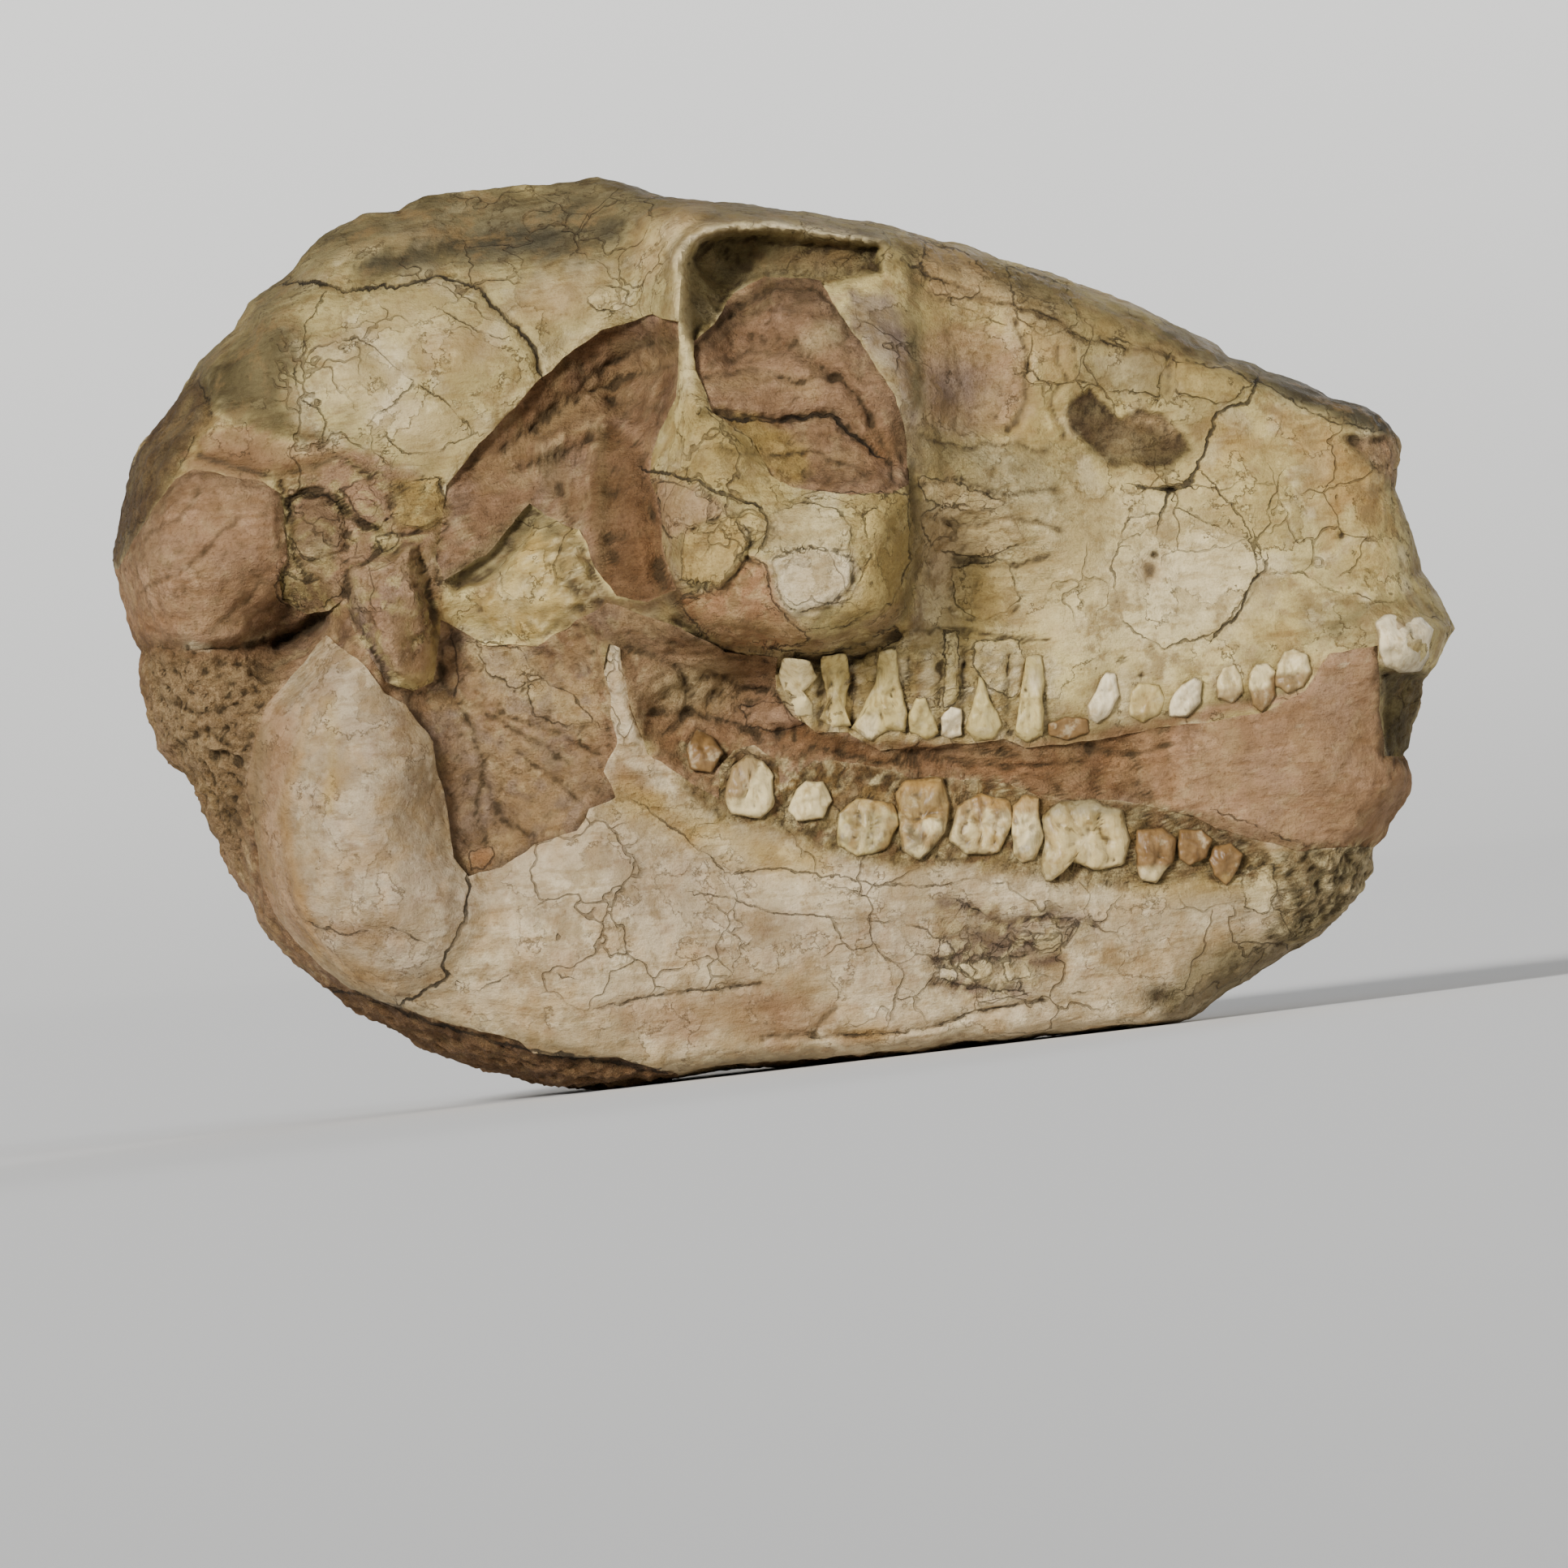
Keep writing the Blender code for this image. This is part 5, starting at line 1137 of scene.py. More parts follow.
TOOTH_PAINT = [
    ("brown_dentine", 0.9, Area([(1560, 832), (1620, 828), (1612, 862), (1560, 864)], 4, 1)),
    ("brown_dentine", 0.9, Area([(1528, 850), (1575, 848), (1566, 884), (1530, 878)], 4, 1)),
    ("brown_dentine", 0.9, Area([(1488, 850), (1532, 848), (1524, 874), (1490, 870)], 4, 1)),
    ("olive", 0.6, Area([(1470, 858), (1484, 850), (1478, 890), (1450, 892)], 4, 1)),
    ("brown_dentine", 1.0, Area([(890, 986), (896, 950), (920, 926), (938, 938), (915, 984)], 3, 1)),
    ("brown", 0.5, Line([(846, 922), (861, 900), (876, 908), (891, 930)], 6, 2)),
    ("yellow", 0.5, Area([(1006, 810), (1024, 810), (1026, 898), (1006, 898)], 5, 1)),
    ("brown", 0.5, Line([(1016, 830), (1022, 868), (1010, 890)], 6, 2)),
    ("white", 0.7, Area([(1060, 884), (1080, 880), (1082, 912), (1056, 908)], 5, 1)),
    ("white", 0.8, Spot(1272, 842, 12, 24)),
    ("olive", 0.7, Within(Area([(1030, 940), (1300, 950), (1300, 1080), (1030, 1070)], 10), Blotch(20, 6100, 0.0, 0.3))),
    ("ochre", 0.7, Within(Area([(1030, 940), (1300, 950), (1300, 1080), (1030, 1070)], 10), Blotch(26, 6500, 0.0, 0.3))),
    ("brown", 0.6, Within(Area([(1030, 940), (1300, 950), (1300, 1080), (1030, 1070)], 10), Blotch(12, 6900, 0.1, 0.4))),
    ("ochre", 0.95, Area([(1095, 950), (1172, 955), (1172, 1002), (1100, 1002)], 4, 2)),
    ("ochre", 0.95, Area([(1172, 970), (1290, 970), (1290, 1004), (1172, 992)], 5, 3)),
    ("olive", 0.5, Area([(1095, 975), (1172, 975), (1172, 1002), (1100, 1002)], 8, 4)),
    ("ochre", 0.7, Area([(1030, 975), (1106, 975), (1104, 1002), (1036, 1000)], 6, 3)),
    ("grey", 0.7, Area([(1284, 980), (1390, 985), (1386, 1008), (1284, 1006)], 6, 3)),
    ("olive", 0.6, Line([(1316, 1000), (1322, 1055)], 6, 3)),
    ("olive", 0.6, Line([(1346, 1000), (1362, 1055)], 6, 3)),
    ("olive", 0.5, Line([(1286, 1010), (1290, 1080)], 6, 3)),
    ("brown_dentine", 0.9, Line([(1186, 992), (1184, 1035)], 4)),
    ("brown_dentine", 0.9, Line([(1207, 990), (1204, 1040)], 4)),
    ("brown_dentine", 0.8, Line([(1224, 1000), (1224, 1040)], 4)),
    ("olive", 0.55, Spot(1070, 1020, 60, 50)),
    ("ochre", 0.6, Spot(1408, 866, 30, 34)),
    ("brown", 0.5, Line([(1390, 884), (1426, 884)], 6, 2)),
    ("brown_dentine", 0.6, Line([(1052, 995), (1048, 1040)], 4)),
    ("yellow", 0.5, Area([(1286, 1000), (1385, 1000), (1385, 1085), (1286, 1085)], 10, 12)),
    ("brown", 0.4, Line([(895, 1006), (950, 1006)], 5, 2)),
    ("olive", 0.4, Line([(1108, 1040), (1132, 1058), (1160, 1030)], 8, 4)),
    ("yellow", 0.5, Spot(1210, 1030, 50, 30)),
    ("pale", 0.7, Line([(1066, 995), (1060, 1045)], 4)),
    ("pale", 0.6, Line([(1090, 1000), (1080, 1030)], 4)),
    ("pale", 0.9, Area([(1400, 1068), (1440, 1066), (1426, 1092), (1404, 1090)], 4, 1)),
    ("yellow", 0.6, Spot(1508, 1080, 10, 10)),
    ("olive", 0.6, Area([(1700, 800), (1760, 804), (1750, 830), (1702, 830)], 8, 3)),
    ("dark_olive", 0.8, Line([(1728, 766), (1735, 778), (1738, 796)], 5, 2)),
]


# What every piece shares
RELIEF = [(height, Area(outline, 4, 5)) for height, _, _, outline in PLATES]
RELIEF += [(depth, Line(line, width, 4)) for depth, width, line in CREASES]
PAINT = [(colour, strength, Area(outline, 5, 5)) for _, colour, strength, outline in PLATES]
# Each crease darkened along its course: painted shade, with dirt
PAINT += [("shade_and_dirt", 0.6, Line(line, 0.5 * width, 5)) for _, width, line in CREASES]
PAINT += [("dark_olive", 0.45, Line(SUTURE, 5, 3))]
TOOTH_RIMS = [Line(row[0] + row[0][:1], 4, 2) for row in TEETH.values()]
RELIEF += [(-0.6, Area(GUMS, 8))] + [(-0.35, rim) for rim in TOOTH_RIMS]
# A dark ring round each tooth where it meets the bone: painted shade in the seam
PAINT += [("shade_and_dirt", 0.25, rim) for rim in TOOTH_RIMS]
PAINT += [
    ("pale", 0.8, Within(Area(GUMS, 8), Blotch(14, 3300, 0.0, 0.25))),
    ("rust", 0.8, Within(Area(GUMS, 8), Blotch(18, 3700, 0.1, 0.35))),
    ("shade_and_dirt", 0.6, Within(Area(GUMS, 8), Blotch(8, 4100, 0.15, 0.4))),
    ("white", 0.5, Within(Area(ROOT_ZONE, 10), Blotch(16, 3300, 0.0, 0.3))),
    ("olive", 0.5, Within(Area(ROOT_ZONE, 10), Blotch(12, 3700, 0.1, 0.35))),
    ("pale", 0.8, Within(Area(CHIN_RUBBLE, 8), Blotch(18, 3300, 0.05, 0.25))),
    ("dark_olive", 0.8, Within(Area(CHIN_RUBBLE, 8), Blotch(12, 3700, 0.05, 0.3))),
    ("cream", 0.7, Within(Area(EAR_ROCK, 8), Blotch(20, 3300, 0.15, 0.35))),
    ("pale", 0.7, Within(Area(RETICULATE, 10), Blotch(16, 3300, 0.1, 0.3))),
    ("sand", 0.7, Within(Area(CHEEK_GAP, 6), Blotch(16, 3300, 0.0, 0.3))),
    ("olive", 0.5, Within(Area(YELLOW_CHEEK, 8), Blotch(18, 4500, 0.0, 0.35))),
    ("pale", 0.6, Within(Area(YELLOW_CHEEK, 8), Blotch(14, 3300, 0.05, 0.3))),
    ("olive", 0.85, Line([(560, 716), (606, 684), (652, 636)], 13, 6)),
    ("white", 0.8, Spot(1652, 820, 6, 5)),
    ("white", 0.6, Spot(1598, 895, 6, 5)),
    ("shade_and_dirt", 0.6, Spot(1630, 978, 7, 6)),
    ("shade_and_dirt", 0.5, Spot(1535, 925, 8, 7)),
    ("rust", 0.85, Line([(1010, 908), (1060, 926), (1100, 920), (1165, 918), (1240, 920), (1300, 914),
                         (1400, 898), (1440, 890), (1500, 876)], 8, 6)),
    ("pink", 0.9, Line([(1480, 880), (1510, 874), (1560, 866), (1605, 856), (1622, 836), (1634, 812)], 7, 4)),
    ("dark_olive", 0.4, Within(Area(NAPE_LUMP, 16), Blotch(14, 5500, 0.3, 0.6))),
    ("lavender", 0.5, Within(Area(CHEEK_ROCK, 16), Blotch(30, 4500, 0.0, 0.4))),
]
BONE_BLOTCHES = [
    ("ochre", 0.45, Blotch(60, 300, 0.15, 0.5)), ("olive", 0.40, Blotch(90, 700, 0.1, 0.5)),
    ("white", 0.45, Blotch(45, 1300, 0.1, 0.45)), ("tan", 0.40, Blotch(16, 1700, 0.2, 0.5)),
]
ROCK_BLOTCHES = [
    ("sand", 0.60, Blotch(50, 300, 0.0, 0.4)), ("rust", 0.60, Blotch(34, 700, 0.1, 0.45)),
    ("lavender", 0.40, Blotch(70, 1300, 0.1, 0.5)), ("pale", 0.35, Blotch(20, 1700, 0.25, 0.5)),
    ("shade_and_dirt", 0.45, Blotch(12, 2100, 0.25, 0.5)),
]


def linear(colour):
    """A colour as seen on a screen, turned into the linear values that light is worked out in."""
    value = np.asarray(colour, float)
    return np.where(value <= 0.04045, value / 12.92, ((value + 0.055) / 1.055) ** 2.4)


def rest_frame():
    """Turns side-view metres about the hub into the standing skull's own frame."""
    tip = math.atan2(REST_BACK[1] - REST_FRONT[1], REST_FRONT[0] - REST_BACK[0])
    turn = Matrix.Rotation(tip, 4, "Y")
    back, front, low = (turn @ Matrix.Translation((x, 0, z)) for x, z in map(side, (OCCIPUT, SNOUT, LOWEST)))
    middle = (back.translation.x + front.translation.x) / 2
    return Matrix.Translation((-middle, 0, -low.translation.z - FLAT_DEPTH)) @ turn


def side(point):
    """A point of the side view as x and z in metres from the hub."""
    return (point[0] - HUB[0]) * PIXEL, (HUB[1] - point[1]) * PIXEL


REST = rest_frame()


def to_world(points, across):
    """Side-view points, and metres to the head's left, as positions in the skull's frame."""
    local = np.column_stack((
        (points[:, 0] - HUB[0]) * PIXEL, across, (HUB[1] - points[:, 1]) * PIXEL, np.ones(len(points))))
    return (local @ np.array(REST).T)[:, :3]


def to_side(positions):
    """Positions in the skull's frame as side-view points and metres to the head's left."""
    solid = np.column_stack((positions, np.ones(len(positions))))
    local = solid @ np.array(REST.inverted()).T
    return np.column_stack((local[:, 0] / PIXEL + HUB[0], HUB[1] - local[:, 2] / PIXEL)), local[:, 1]


def polar(points):
    """Angle about the hub, anticlockwise from the snout, and distance from it, in pixels."""
    offset = (np.asarray(points, float) - HUB) * (1, -1)
    return np.arctan2(offset[:, 1], offset[:, 0]) % TAU, np.hypot(offset[:, 0], offset[:, 1])


def edge_distance(angle):
    """Distance from the hub to the outline along each angle."""
    angles, distances = polar(OUTLINE)
    return np.interp(angle, angles[np.argsort(angles)], distances[np.argsort(angles)], period=TAU)


def rim_at(angle):
    """Depth of the rim's turn, in pixels, and its squareness, at each angle."""
    angles, _ = polar([row[:2] for row in RIM])
    depths = [row[2] * MM / PIXEL for row in RIM]
    powers = [row[3] for row in RIM]
    return np.interp(angle, angles, depths, period=TAU), np.interp(angle, angles, powers, period=TAU)


def kernel(first, second):
    """Smooth distance between every point of one set and every point of another."""
    apart = ((first[:, None, :] - second[None, :, :]) ** 2).sum(axis=2)
    return np.sqrt(apart + SMOOTH ** 2)


@lru_cache
def width_map():
    """The half-widths' points, their mean, and the weight of each."""
    rows = np.array([row for group in HALF_WIDTHS.values() for row in group], float)
    spots, widths = rows[:, :2], rows[:, 2]
    weights = np.linalg.solve(kernel(spots, spots), widths - widths.mean())
    return spots, widths.mean(), weights


def flank(points):
    """How far a surface point has turned outwards: 0 on the outline, 1 inside the rim."""
    angle, distance = polar(points)
    depth, power = rim_at(angle)
    inwards = np.clip(1 - (edge_distance(angle) - distance) / depth, 0, 1)
    return (1 - inwards ** power) ** (1 / power)


def broad_width(points):
    """Half-width of the head in metres before it turns in at the rim."""
    spots, middle, weights = width_map()
    parts = np.array_split(points, max(1, len(points) // 20000))
    return np.concatenate([middle + kernel(part, spots) @ weights for part in parts]) * MM


@lru_cache
def head_grid(columns, rows):
    """A grid laid over both sides of the head: points, half-width, turn, side and faces.

    The left side has every second line of the right one and shares its outline.
    """
    across, down = np.meshgrid(np.linspace(-1, 1, columns + 1), np.linspace(-1, 1, rows + 1))
    reach = np.maximum(abs(across), abs(down))
    wide = abs(across) >= abs(down)
    ratio = np.where(wide, down, across) / np.where(reach == 0, 1, np.where(wide, across, down))
    angle = np.where(wide, np.where(across < 0, TAU / 2, 0) + TAU / 8 * ratio,
                     np.where(down < 0, 3 * TAU / 4, TAU / 4) - TAU / 8 * ratio)
    angle = np.arctan2(ASPECT * np.sin(angle), np.cos(angle)) % TAU
    edge = edge_distance(angle.ravel()).reshape(angle.shape)
    depth, power = (part.reshape(angle.shape) for part in rim_at(angle.ravel()))
    turned = np.clip((reach - RIM_START) / (1 - RIM_START), 0, 1) * TAU / 4
    radius = (edge - depth) * np.minimum(reach / RIM_START, 1) + depth * np.sin(turned) ** (2 / power)
    points = np.stack((HUB[0] + radius * np.cos(angle), HUB[1] - radius * np.sin(angle)), axis=2)
    turn = np.maximum(np.cos(turned), 0) ** (2 / power)
    turn[reach >= 1] = 0

    near = np.arange((rows + 1) * (columns + 1)).reshape(rows + 1, columns + 1)
    far = near[::2, ::2].copy()
    inner = far[1:-1, 1:-1]
    chosen = inner.ravel().copy()
    far[1:-1, 1:-1] = near.size + np.arange(inner.size).reshape(inner.shape)
    faces = np.stack((near[:-1, :-1], near[:-1, 1:], near[1:, 1:], near[1:, :-1]), axis=2)
    faces = faces.reshape(-1, 4).tolist()
    high, long = far.shape[0] - 1, far.shape[1] - 1
    for i in range(high):
        for j in range(long):
            face = [far[i, j]]
            if j == 0:
                face.append(near[2 * i + 1, 0])
            face.append(far[i + 1, j])
            if i == high - 1:
                face.append(near[-1, 2 * j + 1])
            face.append(far[i + 1, j + 1])
            if j == long - 1:
                face.append(near[2 * i + 1, -1])
            face.append(far[i, j + 1])
            if i == 0:
                face.append(near[0, 2 * j + 1])
            faces.append([int(corner) for corner in face])
    flat = points.reshape(-1, 2)
    points = np.concatenate((flat, flat[chosen]))
    turn = np.concatenate((turn.ravel(), turn.ravel()[chosen]))
    facing = np.concatenate((np.full(near.size, -1.0), np.ones(len(chosen))))
    return points, broad_width(points), turn, facing, faces


def settings():
    return bpy.context.scene.fossil


def keep(item, node):
    """Hands a finished piece to the frame in place of the solid it stands for."""
    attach(item, BODY)
    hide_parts(node)


def new_object(name, mesh):
    item = bpy.data.objects.new(name, mesh)
    bpy.context.scene.collection.objects.link(item)
    return item


def evaluated(item):
    """The object's mesh with its modifiers applied, which takes the old mesh's place."""
    graph = bpy.context.evaluated_depsgraph_get()
    mesh = bpy.data.meshes.new_from_object(item.evaluated_get(graph))
    item.modifiers.clear()
    old, item.data = item.data, mesh
    bpy.data.meshes.remove(old)
    return mesh


def ragged_outline(outline, step=5.0):
    """An outline of many short steps that wander a little, as broken edges do."""
    corners = np.asarray(outline, float)
    dense = []
    for start, end in zip(corners, np.roll(corners, -1, axis=0)):
        count = max(1, int(np.hypot(*(end - start)) / step))
        dense.extend(start + (end - start) * part / count for part in range(count))
    dense = np.array(dense)
    flat = np.column_stack((dense, np.zeros(len(dense))))
    for size, reach in ((30, 3.4), (10, 1.1)):
        dense = dense + reach * np.column_stack((fractal(flat, size, 1), fractal(flat + 300, size, 1)))
    return dense


def flat_outline(name, outline, half_depth):
    """A closed flat outline of x and y as a solid plate, welded, with its middle at z = 0."""
    curve = bpy.data.curves.new(name, "CURVE")
    curve.dimensions = "2D"
    curve.fill_mode = "BOTH"
    curve.extrude = half_depth
    spline = curve.splines.new("POLY")
    spline.points.add(len(outline) - 1)
    for point, (x, y) in zip(spline.points, outline):
        point.co = (x, y, 0, 1)
    spline.use_cyclic_u = True
    drawn = new_object(name, curve)
    graph = bpy.context.evaluated_depsgraph_get()
    mesh = bpy.data.meshes.new_from_object(drawn.evaluated_get(graph))
    bpy.data.objects.remove(drawn, do_unlink=True)
    plate = bmesh.new()
    plate.from_mesh(mesh)
    bmesh.ops.remove_doubles(plate, verts=plate.verts, dist=1e-6)
    plate.to_mesh(mesh)
    plate.free()
    return mesh


def side_prism(name, outline, near, far):
    """A plate with a ragged side-view outline, from y = near to y = far."""
    mesh = flat_outline(name, [side(point) for point in ragged_outline(outline)], abs(far - near) / 2)
    upright = Matrix.Rotation(TAU / 4, 4, "X")
    mesh.transform(REST @ Matrix.Translation((0, (near + far) / 2, 0)) @ upright)
    return new_object(name, mesh)


def tongue_prism():
    """The space between the two sides of the lower jaw, drawn from above."""
    right = [(side((x, 0))[0], -width * MM) for x, width in TONGUE]
    left = [(x, -y) for x, y in reversed(right)]
    mesh = flat_outline("tongue", right + left, BEYOND / 2)
    top = side((0, TONGUE_TOP))[1]
    mesh.transform(REST @ Matrix.Translation((0, 0, top - BEYOND / 2)))
    return new_object("tongue", mesh)


def cut(item, operation, cutter):
    """Cuts a piece with another, and stops with an error if the piece comes out empty or with as many vertices as
    before.
    """
    step = item.modifiers.new("cut", "BOOLEAN")
    step.operation = operation
    step.solver = "MANIFOLD"
    step.object = cutter
    before = len(item.data.vertices)
    mesh = evaluated(item)
    if len(mesh.vertices) in (0, before):
        raise RuntimeError(f"{item.name} was not cut by {cutter.name}")


def drop(*items):
    for item in items:
        bpy.data.objects.remove(item, do_unlink=True)


def total(rows, chart):
    """The sum of a table's amounts over the shapes that they belong to."""
    return sum((amount * shape.cover(chart) for amount, shape in rows), np.zeros(len(chart.points)))


def carved_form(name, relief, grit, outline):
    """The whole head with one piece's relief and roughness, to cut that piece from."""
    form = settings()
    points, width, turn, facing, faces = head_grid(form.columns, form.rows)
    near = np.flatnonzero(inside_distance(points, outline) > -40)
    chart = Chart(points[near], facing[near] * width[near] / PIXEL)
    rise = np.zeros(len(points))
    rise[near] = total(relief + RELIEF, chart) * MM * form.relief
    across = facing * (width + rise) * turn
    mesh = bpy.data.meshes.new(name)
    mesh.from_pydata(to_world(points, across).tolist(), [], faces)
    normals = np.zeros(len(points) * 3)
    mesh.vertices.foreach_get("normal", normals)
    normals = normals.reshape(-1, 3)
    rough = np.zeros(len(points))
    rough[near] = surface_noise(chart, points[near], across[near], total(grit, chart))
    places = to_world(points, across) + normals * rough[:, None]
    places[:, 2] = np.maximum(places[:, 2], 0)
    mesh.vertices.foreach_set("co", places.ravel())
    mesh.update()
    return new_object(name, mesh)


def surface_noise(chart, points, across, grit):
    """How far the surface stands out at points, in metres, for a roughness of 0 to 1."""
    form = settings()
    solid = np.column_stack((points, across / PIXEL))
    grit = np.clip(grit, 0, 1.3)
    broken = np.clip(grit - 0.35, 0, 1)
    waves = 0.75 * fractal(solid, 64, 4) + 0.35 * fractal(solid + 70, 19, 4)
    creases = 0.5 - 2.2 * np.abs(fractal(solid - 40, 40, 4))
    pebbles = 0.55 - cells(solid + 9 * chart.ragged[:, None], 24)
    pits = -smooth((np.abs(fractal(solid + 33, 9, 2)) - 0.42) / 0.3)
    height = (0.45 + grit) * waves + 0.9 * broken * creases + 0.8 * broken ** 2 * pebbles + 0.3 * grit * pits
    return height * form.roughness


def shape_shading(mesh, angle=50):
    mesh.shade_smooth()
    mesh.set_sharp_from_angle(angle=math.radians(angle))


def write_value(mesh, name, values):
    mesh.attributes.new(name, "FLOAT", "POINT").data.foreach_set("value", values.astype(np.float32))


def paint_mesh(mesh, base, paint, grit):
    """Writes a piece's colour, roughness and cracks into its vertices."""
    palette = settings()
    places = np.zeros(len(mesh.vertices) * 3)
    mesh.vertices.foreach_get("co", places)
    points, across = to_side(places.reshape(-1, 3))
    chart = Chart(points, across / PIXEL)
    colour = np.tile(linear(getattr(palette, base)), (len(points), 1))
    for name, strength, shape in paint:
        amount = (shape.cover(chart) * strength * (0.85 + 0.35 * chart.patchy)).clip(0, 1)
        colour += (linear(getattr(palette, name)) - colour) * amount[:, None]
    layer = mesh.attributes.new("paint", "FLOAT_COLOR", "POINT")
    layer.data.foreach_set("color", np.column_stack((colour, np.ones(len(points)))).ravel())
    write_value(mesh, "grit", total(grit, chart).clip(0, 1.3))
    fine, fine_near = crack_map(chart, CRACKS)
    gaping, gaping_near = crack_map(chart, OPEN_CRACKS)
    write_value(mesh, "fine_crack", fine)
    write_value(mesh, "fine_near", fine_near)
    write_value(mesh, "open_crack", gaping)
    write_value(mesh, "open_near", gaping_near)


def crack_map(chart, cracks, reach=14.0):
    """Signed distance in pixels to the nearest crack, and 1 beside a crack fading to 0 away from it."""
    signed = np.full(len(chart.points), 4 * reach)
    wander = 4.5 * chart.ragged
    for line in cracks:
        near = near_box(chart.points, line, 2 * reach)
        apart = line_distance(chart.points[near], line) + wander[near]
        closer = np.abs(apart) < np.abs(signed[near])
        signed[near[closer]] = apart[closer]
    return signed, np.clip(1.5 - np.abs(signed) / reach, 0, 1)


class Finish:
    """A material under construction, with short calls for the nodes that it is made of."""

    def __init__(self, name):
        self.material = bpy.data.materials.new(name)
        self.material.use_nodes = True
        self.tree = self.material.node_tree
        self.shader = self.tree.nodes["Principled BSDF"]
        self.place = self.node("ShaderNodeTexCoord").outputs["Object"]

    def node(self, kind, **values):
        made = self.tree.nodes.new(kind)
        for name, value in values.items():
            setattr(made, name, value)
        return made

    def put(self, socket, value):
        if isinstance(value, bpy.types.NodeSocket):
            self.tree.links.new(value, socket)
        else:
            socket.default_value = value

    def value(self, name):
        return self.node("ShaderNodeAttribute", attribute_name=name).outputs["Fac"]

    def colour(self, name):
        return self.node("ShaderNodeAttribute", attribute_name=name).outputs["Color"]

    def noise(self, size, detail=4.0, rough=0.55, place=None):
        """Noise of 0 to 1 with lumps of a size in metres."""
        made = self.node("ShaderNodeTexNoise")
        self.put(made.inputs["Vector"], place or self.place)
        self.put(made.inputs["Scale"], 1 / size)
        self.put(made.inputs["Detail"], detail)
        self.put(made.inputs["Roughness"], rough)
        return made.outputs["Fac"]

    def cracks(self, size):
        """Distance to the borders of cells of a size in metres, bent by noise."""
        bend = self.node("ShaderNodeTexNoise")
        self.put(bend.inputs["Vector"], self.place)
        self.put(bend.inputs["Scale"], 2 / size)
        moved = self.node("ShaderNodeVectorMath", operation="MULTIPLY_ADD")
        self.put(moved.inputs[0], bend.outputs["Color"])
        self.put(moved.inputs[1], (size * 0.7,) * 3)
        self.put(moved.inputs[2], self.place)
        made = self.node("ShaderNodeTexVoronoi", feature="DISTANCE_TO_EDGE")
        self.put(made.inputs["Vector"], moved.outputs[0])
        self.put(made.inputs["Scale"], 1 / size)
        return made.outputs["Distance"]

    def math(self, operation, first, second=0.0, third=None):
        made = self.node("ShaderNodeMath", operation=operation)
        self.put(made.inputs[0], first)
        self.put(made.inputs[1], second)
        if third is not None:
            self.put(made.inputs[2], third)
        return made.outputs[0]

    def step(self, value, low, high, start=0.0, end=1.0):
        """A soft step from start to end as a value goes from low to high."""
        made = self.node("ShaderNodeMapRange", interpolation_type="SMOOTHSTEP")
        for name, number in (("Value", value), ("From Min", low), ("From Max", high),
                             ("To Min", start), ("To Max", end)):
            self.put(made.inputs[name], number)
        return made.outputs["Result"]

    def mix(self, amount, first, second, blend="MIX"):
        made = self.node("ShaderNodeMix", data_type="RGBA", blend_type=blend)
        for socket, given in zip((made.inputs[0], made.inputs[6], made.inputs[7]), (amount, first, second)):
            self.put(socket, given)
        return made.outputs[2]

    def bump(self, height, depth, strength=1.0, before=None):
        made = self.node("ShaderNodeBump")
        self.put(made.inputs["Height"], height)
        self.put(made.inputs["Distance"], depth)
        self.put(made.inputs["Strength"], strength)
        if before is not None:
            self.put(made.inputs["Normal"], before)
        return made.outputs["Normal"]


def tint(name):
    return (*linear(getattr(settings(), name)), 1)


def crack_line(finish, name, near, width, shake, fade):
    """1 along a set of drawn cracks and 0 elsewhere."""
    apart = finish.math("ABSOLUTE", finish.math("ADD", finish.value(name), shake))
    line = finish.math("MULTIPLY", finish.step(apart, width, 0.3 * width), finish.step(finish.value(near), 0.3, 0.8))
    return finish.math("MULTIPLY", line, finish.step(finish.noise(5 * MM, 3), 0.40, 0.54, fade, 1))


